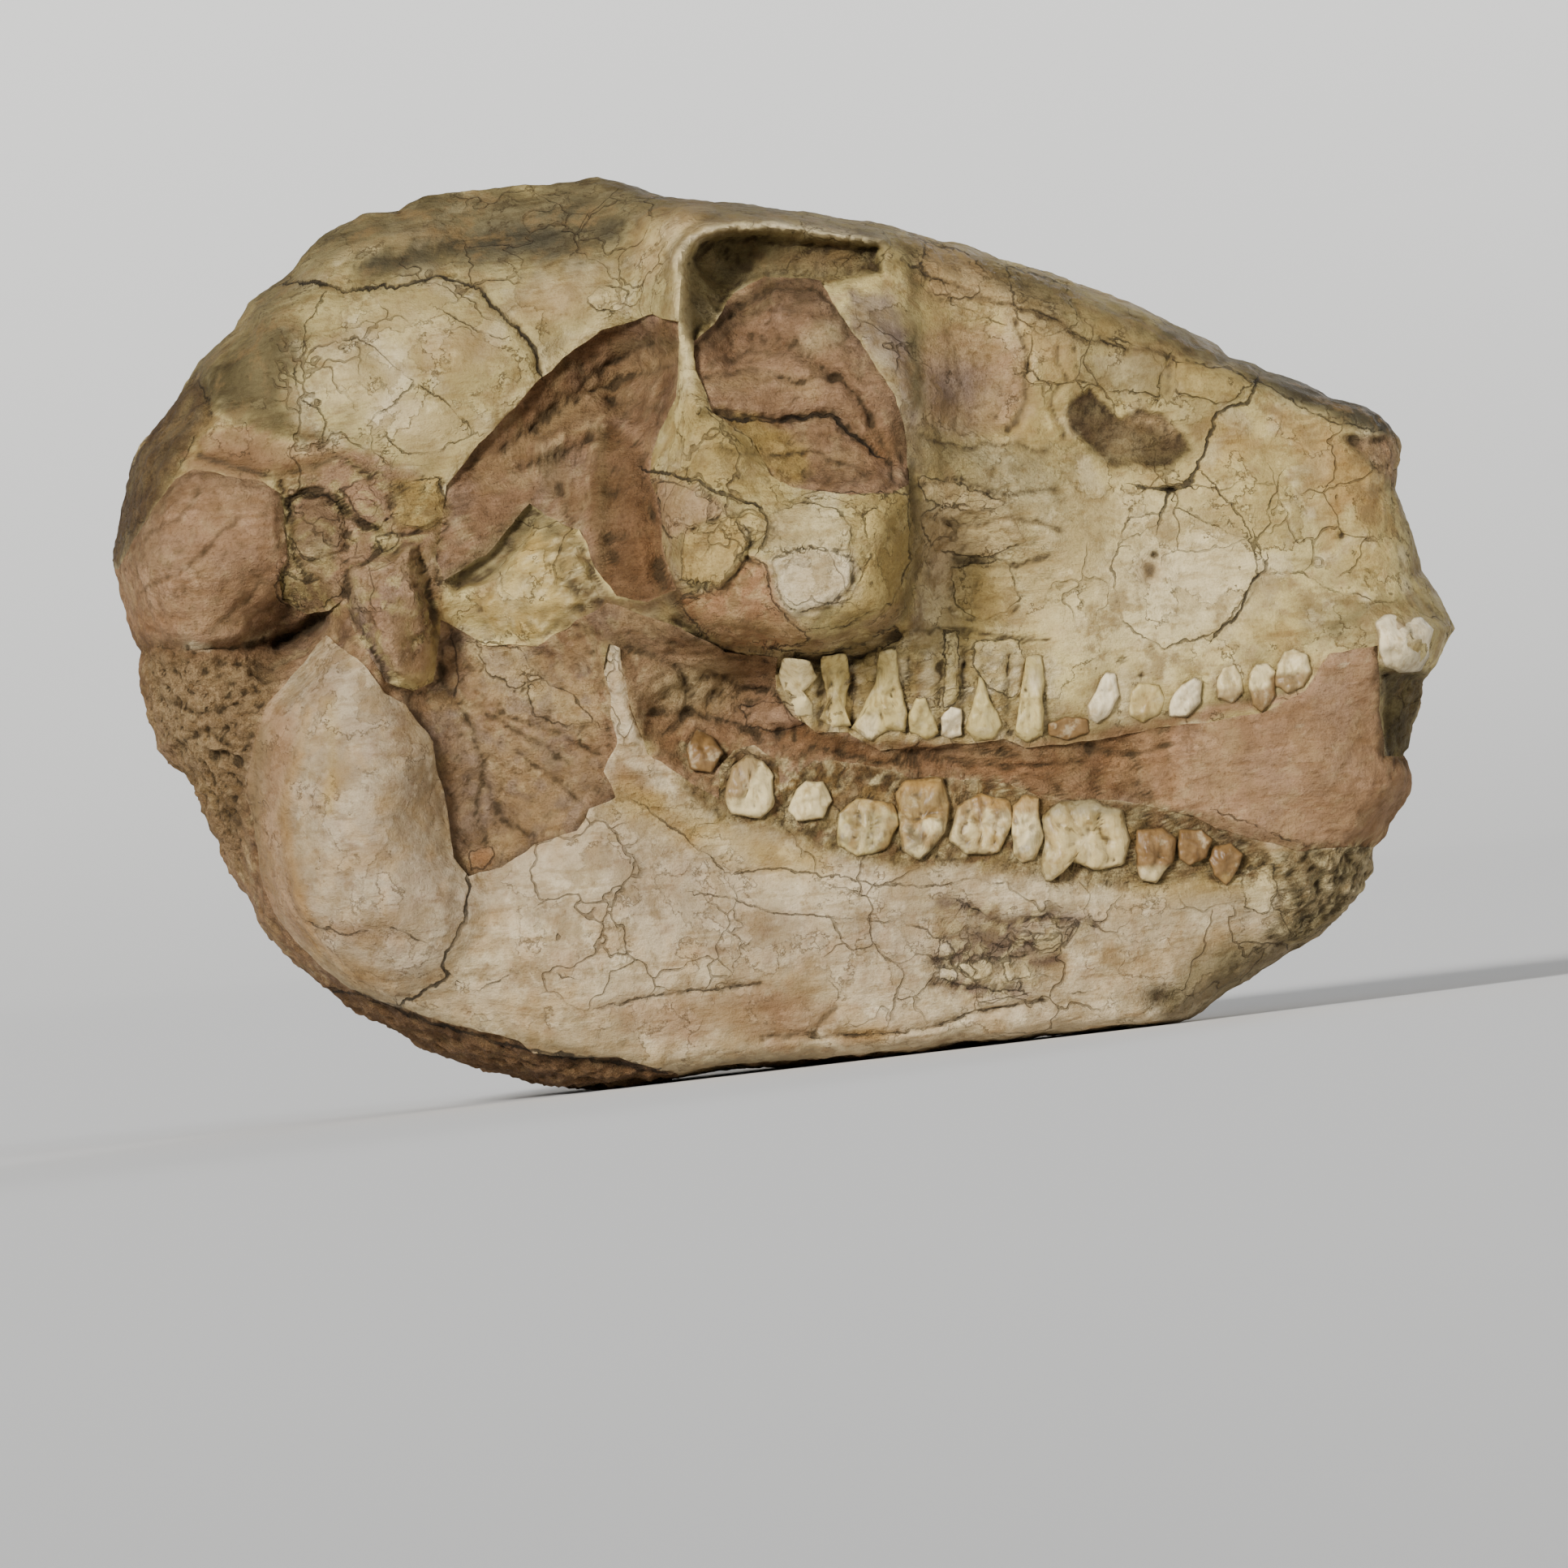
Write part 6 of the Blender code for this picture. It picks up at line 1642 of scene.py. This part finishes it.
def fossil_finish(name, stain, crackle, gloss, flakes):
    """Weathered bone or rock: its painted colour, flaked, mottled, stained, cracked and pitted, with painted shade and
    dirt in its hollows and a painted highlight on its edges.
    """
    look = settings()
    finish = Finish(name)
    grit = finish.value("grit")
    cloud = finish.noise(17 * MM, 6, 0.6)
    patch = finish.noise(5 * MM, 6, 0.65)
    grain = finish.noise(1.2 * MM, 6, 0.65)
    dust = finish.noise(0.35 * MM, 3, 0.6)
    slanted = finish.node("ShaderNodeMapping")
    finish.put(slanted.inputs["Vector"], finish.place)
    slanted.inputs["Rotation"].default_value = (0.5, 0.45, 0.4)
    slanted.inputs["Scale"].default_value = (0.3, 1.0, 1.5)
    streak = finish.noise(2.2 * MM, 7, 0.65, slanted.outputs["Vector"])
    scale = finish.noise(11 * MM, 9, 0.62)
    base = finish.colour("paint")
    dark = finish.mix(1.0, base, (0.50, 0.42, 0.30, 1), "MULTIPLY")
    light = finish.mix(1.0, base, (1.25, 1.27, 1.36, 1), "MULTIPLY")

    colour = finish.mix(finish.step(cloud, 0.60, 0.38, 0, 0.5), base, dark)
    plate = finish.step(scale, 0.505, 0.525)
    colour = finish.mix(finish.math("MULTIPLY", plate, flakes), colour, light)
    spread = finish.math("MULTIPLY", finish.step(patch, 0.52, 0.36), finish.step(cloud, 0.36, 0.58))
    colour = finish.mix(finish.math("MULTIPLY", spread, stain), colour, tint("stain"))
    colour = finish.mix(finish.step(patch, 0.53, 0.68, 0, 0.7), colour, light)
    colour = finish.mix(finish.step(streak, 0.50, 0.36, 0, 0.52), colour, dark)
    rim = finish.math("ABSOLUTE", finish.math("SUBTRACT", scale, 0.510))
    edge = finish.math("MULTIPLY", finish.step(rim, 0.011, 0.003), finish.step(patch, 0.42, 0.58, 0, flakes * 1.5))
    colour = finish.mix(edge, colour, tint("shade_and_dirt"))
    torn = finish.step(finish.math("ABSOLUTE", finish.math("SUBTRACT", streak, 0.46)), 0.016, 0.004)
    torn = finish.math("MULTIPLY", torn, finish.math("MULTIPLY", finish.step(patch, 0.44, 0.56), grit))
    colour = finish.mix(finish.math("MULTIPLY", torn, 0.6), colour, tint("shade_and_dirt"))
    freckle = finish.math("MULTIPLY", finish.step(grain, 0.56, 0.70), finish.step(cloud, 0.40, 0.6))
    colour = finish.mix(finish.math("MULTIPLY", freckle, 0.7), colour, dark)
    gaps = finish.math("MULTIPLY", finish.step(grain, 0.46, 0.30), finish.math("MULTIPLY_ADD", grit, 0.5, 0.45))
    colour = finish.mix(gaps, colour, dark)
    rocky = finish.math("MULTIPLY", finish.step(dust, 0.45, 0.62), finish.math("MULTIPLY_ADD", grit, 0.35, 0.08))
    colour = finish.mix(rocky, colour, dark)
    point = finish.node("ShaderNodeNewGeometry").outputs["Pointiness"]
    # Hollows darkened: painted shade, with dirt
    colour = finish.mix(finish.step(point, 0.496, 0.44, 0, 0.85), colour, tint("shade_and_dirt"))
    # Convex edges lightened: a painted highlight
    colour = finish.mix(finish.step(point, 0.506, 0.56, 0, 0.5), colour, light)

    shake = finish.math("MULTIPLY_ADD", grain, 7.0, -3.5)
    fine = crack_line(finish, "fine_crack", "fine_near", look.crack_width, shake, 0.15)
    gaping = crack_line(finish, "open_crack", "open_near", look.crack_width * 1.9, shake, 0.6)
    faint = finish.math("MULTIPLY", finish.step(finish.cracks(11 * MM), 0.020, 0.005),
                        finish.step(finish.noise(24 * MM, 2), 0.50, 0.62, 0, crackle))
    colour = finish.mix(finish.math("MULTIPLY", fine, 0.65), colour, tint("crack"))
    colour = finish.mix(finish.math("MULTIPLY", gaping, 0.9), colour, tint("crack"))
    colour = finish.mix(finish.math("MULTIPLY", faint, 0.6), colour, tint("shade_and_dirt"))
    finish.put(finish.shader.inputs["Base Color"], colour)
    finish.put(finish.shader.inputs["Roughness"], finish.step(patch, 0.3, 0.7, gloss - 0.08, gloss + 0.10))
    finish.shader.inputs["Specular IOR Level"].default_value = 0.22

    body = finish.bump(streak, 1.8 * MM, finish.math("MULTIPLY_ADD", grit, 0.7, 0.32))
    lumps = finish.bump(grain, 1.2 * MM, finish.math("MULTIPLY_ADD", grit, 0.65, 0.38), body)
    powder = finish.bump(dust, 0.45 * MM, finish.math("MULTIPLY_ADD", grit, 0.7, 0.3), lumps)
    scaled = finish.bump(plate, 0.25 * MM, flakes, powder)
    lines = finish.math("MAXIMUM", gaping, finish.math("MULTIPLY", finish.math("MAXIMUM", fine, faint), 0.6))
    grooved = finish.bump(lines, -0.7 * MM, 0.9, scaled)
    finish.put(finish.shader.inputs["Normal"], grooved)
    return finish.material


def enamel_finish(name):
    """Old enamel and dentine: its painted colour in fine streaks, darker at the gum with painted shade and dirt, with
    a dull gloss.
    """
    finish = Finish(name)
    stretched = finish.node("ShaderNodeMapping")
    finish.put(stretched.inputs["Vector"], finish.place)
    stretched.inputs["Scale"].default_value = (1.0, 1.0, 0.3)
    streak = finish.noise(0.9 * MM, 5, 0.6, stretched.outputs["Vector"])
    patch = finish.noise(2.6 * MM, 5)
    colour = finish.colour("paint")
    dark = finish.mix(1.0, colour, (0.50, 0.41, 0.27, 1), "MULTIPLY")
    colour = finish.mix(finish.step(streak, 0.46, 0.66, 0, 0.5), colour, dark)
    colour = finish.mix(finish.step(patch, 0.46, 0.30, 0, 0.6), colour, dark)
    colour = finish.mix(finish.step(patch, 0.55, 0.7, 0, 0.35), colour, tint("white"))
    point = finish.node("ShaderNodeNewGeometry").outputs["Pointiness"]
    # Hollows darkened: painted shade, with dirt
    colour = finish.mix(finish.step(point, 0.495, 0.43, 0, 0.85), colour, tint("shade_and_dirt"))
    # Darker towards the rim where the tooth meets the bone: painted shade, with dirt
    brim = finish.math("MULTIPLY_ADD", streak, 0.3, finish.value("reach"))
    colour = finish.mix(finish.step(brim, 1.03, 1.18, 0, 0.6), colour, tint("shade_and_dirt"))
    finish.put(finish.shader.inputs["Base Color"], colour)
    finish.put(finish.shader.inputs["Roughness"], finish.step(patch, 0.3, 0.7, 0.36, 0.55))
    finish.shader.inputs["Specular IOR Level"].default_value = 0.35
    finish.put(finish.shader.inputs["Normal"], finish.bump(streak, 0.2 * MM, 0.7))
    return finish.material


@lru_cache
def finishes():
    """The skull's five finishes."""
    return {
        "bone": fossil_finish("bone", 0.75, 0.9, 0.62, 0.5),
        "jaw_bone": fossil_finish("jaw_bone", 0.6, 0.9, 0.62, 0.4),
        "rock": fossil_finish("rock", 0.35, 0.0, 0.88, 0.2),
        "enamel": enamel_finish("enamel"),
        "brown_enamel": enamel_finish("brown_enamel"),
    }


def finish_piece(item, node, slot, base, paint, grit):
    """Shades and paints a cut piece and puts it in place of its solid."""
    shape_shading(item.data)
    paint_mesh(item.data, base, paint, grit)
    item.data.materials.clear()
    item.data.materials.append(finishes()[slot])
    keep(item, node)


def cranium_outline():
    return CRANIUM_BORDER[::-1] + [(40, 702), (40, 100), (1900, 100), (1900, 931)]


class FOSSIL_OT_cranium(bpy.types.Operator):
    """Braincase, orbit rims, cheeks and snout"""
    bl_idname = "fossil.cranium"
    bl_label = "Cranium"

    def execute(self, context):
        bone = carved_form("cranium_bone", CRANIUM_RELIEF, CRANIUM_GRIT, cranium_outline())
        head = side_prism("head", cranium_outline(), -BEYOND, BEYOND)
        cut(bone, "INTERSECT", head)
        drop(head)
        for outline, level in ((ORBIT_ROCK, ORBIT_FLOOR), (TEMPLE_ROCK, TEMPLE_FLOOR)):
            for facing in (-1, 1):
                pocket = side_prism("pocket", outline, facing * level, facing * BEYOND)
                cut(bone, "DIFFERENCE", pocket)
                drop(pocket)
        finish_piece(bone, "cranium", "bone", "cream", BONE_BLOTCHES + CRANIUM_PAINT + PAINT,
                     CRANIUM_GRIT)
        return {"FINISHED"}


class FOSSIL_OT_lower_jaw(bpy.types.Operator):
    """Both sides of the lower jaw, joined at the chin"""
    bl_idname = "fossil.lower_jaw"
    bl_label = "Lower jaw"

    def execute(self, context):
        bone = carved_form("lower_jaw_bone", MANDIBLE_RELIEF, MANDIBLE_GRIT, JAW_OUTLINE)
        jaw = side_prism("jaw", JAW_OUTLINE, -BEYOND, BEYOND)
        tongue = tongue_prism()
        cut(bone, "INTERSECT", jaw)
        cut(bone, "DIFFERENCE", tongue)
        drop(jaw, tongue)
        finish_piece(bone, "mandible", "jaw_bone", "jaw_cream", BONE_BLOTCHES[:1] + BONE_BLOTCHES[2:] + MANDIBLE_PAINT + PAINT,
                     MANDIBLE_GRIT)
        return {"FINISHED"}


class FOSSIL_OT_jaw_rock(bpy.types.Operator):
    """Rock behind the head, between the jaws and under them"""
    bl_idname = "fossil.jaw_rock"
    bl_label = "Rock of the jaws"

    def execute(self, context):
        everywhere = [(0, 0), (PICTURE_WIDTH, 0), (PICTURE_WIDTH, PICTURE_WIDTH), (0, PICTURE_WIDTH)]
        rock = carved_form("jaw_rock", ROCK_RELIEF, ROCK_GRIT, everywhere)
        head = side_prism("head", cranium_outline(), -BEYOND, BEYOND)
        jaw = side_prism("jaw", JAW_OUTLINE, -BEYOND, BEYOND)
        tongue = tongue_prism()
        cut(jaw, "DIFFERENCE", tongue)
        cut(rock, "DIFFERENCE", head)
        cut(rock, "DIFFERENCE", jaw)
        drop(head, jaw, tongue)
        finish_piece(rock, "jaw_matrix", "rock", "tan", ROCK_BLOTCHES + ROCK_PAINT + PAINT, ROCK_GRIT)
        return {"FINISHED"}


class FOSSIL_OT_fillings(bpy.types.Operator):
    """Rock in the orbits and in the temporal hollows"""
    bl_idname = "fossil.fillings"
    bl_label = "Rock in the hollows"

    def execute(self, context):
        rows = [("orbit", ORBIT_ROCK, ORBIT_FLOOR, ORBIT_RELIEF, ORBIT_PAINT),
                ("temple", TEMPLE_ROCK, TEMPLE_FLOOR, TEMPLE_RELIEF, TEMPLE_PAINT)]
        for name, outline, level, relief, paint in rows:
            form = carved_form("filled head", relief, FILLING_GRIT, outline)
            for ending, facing in (("right", -1), ("left", 1)):
                rock = new_object(f"{name}_rock_{ending}", form.data.copy())
                plug = side_prism("plug", outline, facing * level, facing * BEYOND)
                cut(rock, "INTERSECT", plug)
                drop(plug)
                finish_piece(rock, f"{name}_matrix_{ending}", "rock", "pink", ROCK_BLOTCHES + paint + PAINT,
                             FILLING_GRIT)
            drop(form)
        return {"FINISHED"}


def tooth_mesh(name, outline, proud, grooves, facing):
    """A tooth's visible face, domed over its outline, on a straight root sunk in the head."""
    form = settings()
    count = form.tooth_rings
    corners = ragged_outline(outline, 2.0)
    middle = (corners.min(axis=0) + corners.max(axis=0)) / 2
    corners = middle + (corners - middle) * (1.1, 1.06)
    offset = corners - middle
    angles = np.arctan2(offset[:, 1], offset[:, 0]) % TAU
    order = np.argsort(angles)
    reaches = np.hypot(*offset.T)[order]
    turns = np.arange(6 * count) / (6 * count) * TAU
    edge = np.interp(turns, angles[order], reaches, period=TAU)
    rings = np.sin(np.linspace(0, 1, count + 1)[1:] * TAU / 4)
    ray = np.column_stack((np.cos(turns), np.sin(turns))) * edge[:, None]
    points = np.concatenate([[middle]] + [middle + ray * reach for reach in rings])
    reach = np.concatenate([[0]] + [np.full(len(turns), reach) for reach in rings])
    surface = broad_width(points) * flank(points)
    dome = (1 - reach ** 5) ** 0.5
    solid = np.column_stack((points, np.full(len(points), facing * 200)))
    rise = dome * proud * MM * (0.85 + 0.6 * fractal(solid, 24, 3))
    shaken = points + 9 * np.column_stack((fractal(solid, 16, 2), fractal(solid + 50, 16, 2)))
    for line in grooves:
        rise -= 0.5 * MM * np.exp(-(line_distance(shaken, line) / 3.5) ** 2) * dome
    across = surface + rise - 0.25 * MM
    rim = points[-len(turns):]
    root = middle + (rim - middle) * 0.9
    points = np.concatenate((points, root))
    across = np.concatenate((across, surface[-len(turns):] - TOOTH_ROOT))
    faces = []
    ring_size = len(turns)
    for index in range(ring_size):
        after = (index + 1) % ring_size
        faces.append((0, 1 + index, 1 + after))
        for ring in range(count):
            low, high = 1 + ring * ring_size, 1 + (ring + 1) * ring_size
            faces.append((low + index, high + index, high + after, low + after))
    faces.append(tuple(range(len(points) - ring_size, len(points))))
    mesh = bpy.data.meshes.new(name)
    mesh.from_pydata(to_world(points, facing * across).tolist(), [], faces)
    tidy = bmesh.new()
    tidy.from_mesh(mesh)
    bmesh.ops.recalc_face_normals(tidy, faces=tidy.faces)
    tidy.to_mesh(mesh)
    tidy.free()
    write_value(mesh, "reach", np.concatenate((reach, np.ones(ring_size))))
    return mesh


def add_teeth(prefix):
    """The teeth of one jaw, on both sides."""
    for name, (outline, proud, colour, grooves) in TEETH.items():
        if not name.startswith(prefix):
            continue
        slot = "brown_enamel" if name in BROWN_TEETH else "enamel"
        for ending, facing in (("right", -1), ("left", 1)):
            mesh = tooth_mesh(name, outline, proud, grooves, facing)
            item = new_object(f"{name}_crown_{ending}", mesh)
            finish_piece(item, f"{name}_{ending}", slot, colour, TOOTH_PAINT, [])


class FOSSIL_OT_upper_teeth(bpy.types.Operator):
    """Teeth and bared roots of the upper jaw"""
    bl_idname = "fossil.upper_teeth"
    bl_label = "Upper teeth"

    def execute(self, context):
        add_teeth("upper")
        return {"FINISHED"}


class FOSSIL_OT_lower_teeth(bpy.types.Operator):
    """Teeth of the lower jaw"""
    bl_idname = "fossil.lower_teeth"
    bl_label = "Lower teeth"

    def execute(self, context):
        add_teeth("lower")
        return {"FINISHED"}


def add_floor():
    """A round pale floor that rises far away, so that no edge of it shows from any side."""
    look = settings()
    mesh = bpy.data.meshes.new("floor")
    form = bmesh.new()
    rings = [0.0, 0.3, 1.0, 2.5, 4.5, 5.3, 6.0, 6.5, 6.8, 6.9]
    heights = [0.0, 0.0, 0.0, 0.0, 0.0, 0.07, 0.25, 0.55, 0.95, 1.4]
    profile = [form.verts.new((radius, 0, height)) for radius, height in zip(rings, heights)]
    edges = [form.edges.new(pair) for pair in zip(profile, profile[1:])]
    bmesh.ops.spin(form, geom=profile + edges, angle=TAU, steps=96, axis=(0, 0, 1), cent=(0, 0, 0))
    bmesh.ops.remove_doubles(form, verts=form.verts, dist=1e-5)
    bmesh.ops.recalc_face_normals(form, faces=form.faces)
    form.to_mesh(mesh)
    form.free()
    mesh.shade_smooth()
    floor = new_object("floor", mesh)
    floor.location.z = -0.05 * MM
    finish = Finish("floor")
    finish.put(finish.shader.inputs["Base Color"], (*linear(look.floor_colour), 1))
    finish.put(finish.shader.inputs["Roughness"], 0.9)
    mesh.materials.append(finish.material)


def add_sun(name, come_from, power, softness):
    """A far, soft light that shines on everything alike, from a direction."""
    light = bpy.data.lights.new(name, "SUN")
    light.energy = power
    light.angle = softness
    item = new_object(name, light)
    item.rotation_euler = Vector(come_from).to_track_quat("Z", "Y").to_euler()


def add_world(colour, strength):
    world = bpy.data.worlds.new("studio")
    bpy.context.scene.world = world
    world.use_nodes = True
    back = world.node_tree.nodes["Background"]
    back.inputs["Color"].default_value = (*linear(colour), 1)
    back.inputs["Strength"].default_value = strength


def add_camera():
    """Looks square at the pictured side, rolled with the skull's side view."""
    lens = bpy.data.cameras.new("camera")
    lens.sensor_width = SENSOR_WIDTH
    lens.lens = SENSOR_WIDTH * CAMERA_DISTANCE / (PICTURE_WIDTH * PIXEL)
    camera = new_object("camera", lens)
    x, z = side(PICTURE_CENTRE)
    upright = Matrix.Rotation(TAU / 4, 4, "X")
    camera.matrix_world = REST @ Matrix.Translation((x, -CAMERA_DISTANCE, z)) @ upright
    bpy.context.scene.camera = camera


class FOSSIL_OT_stage(bpy.types.Operator):
    """Floor, lights and camera"""
    bl_idname = "fossil.stage"
    bl_label = "Stage"

    def execute(self, context):
        look = settings()
        add_floor()
        add_world(look.sky_colour, look.sky_power)
        add_sun("key", (-0.5, -1, 0.44), look.key_power, look.softness)
        add_sun("fill", (1, -0.8, 0.3), look.fill_power, look.softness)
        add_sun("back", (0.3, 1, 0.35), look.back_power, look.softness)
        add_camera()
        return {"FINISHED"}


def colour_property(name, description, red, green, blue):
    return FloatVectorProperty(name=name, description=description, subtype="COLOR_GAMMA", size=3, min=0,
                               max=1, default=(red / 255, green / 255, blue / 255))


class FossilSettings(bpy.types.PropertyGroup):
    """Sizes, colours and lights that a user would change"""
    columns: IntProperty(name="Columns", description="Cells along the right side of the head",
                         default=452, min=40, max=600)
    rows: IntProperty(name="Rows", description="Cells down the right side of the head", default=300,
                      min=30, max=400)
    tooth_rings: IntProperty(name="Tooth rings", description="Rings of cells over each tooth",
                             default=12, min=4, max=24)
    relief: FloatProperty(name="Relief", description="Scale of all lumps and hollows", default=1.0,
                          min=0, max=2)
    roughness: FloatProperty(name="Roughness", description="Height of broken rock", default=1.0 * MM,
                             min=0, max=2 * MM, unit="LENGTH")
    crack_width: FloatProperty(name="Crack width", description="Half-width of cracks in pixels",
                               default=1.5, min=0.2, max=6)
    cream: colour_property("Cream", "Bone of the cranium", 196, 176, 116)
    jaw_cream: colour_property("Jaw cream", "Bone of the lower jaw", 189, 169, 132)
    pale: colour_property("Pale", "Bleached bone", 214, 194, 142)
    white: colour_property("White", "Cleanest bone and enamel", 228, 211, 170)
    yellow: colour_property("Yellow", "Yellowed bone", 176, 148, 82)
    ochre: colour_property("Ochre", "Iron-stained bone", 158, 122, 66)
    olive: colour_property("Olive", "Bone stained olive", 116, 103, 68)
    dark_olive: colour_property("Dark olive", "Deep stains", 71, 60, 32)
    grey: colour_property("Grey", "Weathered bone of the crest", 88, 79, 56)
    dark_grey: colour_property("Dark grey", "Streaks on the crest", 60, 54, 37)
    lavender: colour_property("Lavender", "Grey-violet bone", 124, 106, 94)
    mauve: colour_property("Mauve", "Rock between bone plates", 102, 80, 66)
    sand: colour_property("Sand", "Sandy rock", 184, 154, 108)
    tan: colour_property("Tan", "Rock", 154, 122, 88)
    pink: colour_property("Pink", "Pink rock", 166, 131, 98)
    orange: colour_property("Orange", "Rusty rock", 154, 108, 66)
    rust: colour_property("Rust", "Iron-red rock", 116, 84, 52)
    brown: colour_property("Brown", "Brown rock", 84, 64, 39)
    # Darkest tone: laid in small holes, and as painted shade in deep grooves, under the jaw's lower edge and on the
    # snout's top edge
    dark: colour_property("Dark", "Holes and painted shade", 40, 30, 19)
    brown_dentine: colour_property("Brown dentine", "Bared tooth inside", 128, 98, 58)
    stain: colour_property("Stain", "Mineral stain over bone", 124, 99, 60)
    # Laid as painted shade in hollows, creases, seams and under edges, and as dirt in cracks, pits and flake edges
    shade_and_dirt: colour_property("Crevice", "Painted shade and dirt in hollows", 67, 52, 31)
    crack: colour_property("Crack", "Dirt in cracks", 44, 35, 22)
    floor_colour: colour_property("Floor", "Pale floor", 226, 225, 222)
    sky_colour: colour_property("Sky", "Light from all round", 232, 234, 238)
    sky_power: FloatProperty(name="Sky power", description="Strength of the light from all round",
                             default=0.40, min=0, max=5)
    key_power: FloatProperty(name="Key power", description="Main light, watts a square metre",
                             default=4.7, min=0, max=50)
    fill_power: FloatProperty(name="Fill power", description="Light from the snout's side",
                              default=0.9, min=0, max=50)
    back_power: FloatProperty(name="Back power", description="Light from behind", default=0.5, min=0,
                              max=50)
    softness: FloatProperty(name="Softness", description="How wide the lights look", subtype="ANGLE",
                            default=math.radians(14), min=0, max=math.pi)


class FOSSIL_PT_panel(bpy.types.Panel):
    """The skull's pieces, one button each"""
    bl_label = "Fossil skull"
    bl_idname = "FOSSIL_PT_panel"
    bl_space_type = "VIEW_3D"
    bl_region_type = "UI"
    bl_category = "Fossil"

    def draw(self, context):
        for step in STEPS:
            self.layout.operator(step.bl_idname)


STEPS = [
    FOSSIL_OT_cranium, FOSSIL_OT_lower_jaw, FOSSIL_OT_jaw_rock, FOSSIL_OT_fillings,
    FOSSIL_OT_upper_teeth, FOSSIL_OT_lower_teeth, FOSSIL_OT_stage,
]
CLASSES = [FossilSettings] + STEPS + [FOSSIL_PT_panel]


def register():
    for item in CLASSES:
        bpy.utils.register_class(item)
    bpy.types.Scene.fossil = PointerProperty(type=FossilSettings)


def unregister():
    del bpy.types.Scene.fossil
    for item in reversed(CLASSES):
        bpy.utils.unregister_class(item)


def main():
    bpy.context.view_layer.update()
    register()
    for step in STEPS:
        group, name = step.bl_idname.split(".")
        getattr(getattr(bpy.ops, group), name)()


if __name__ == "__main__":
    main()
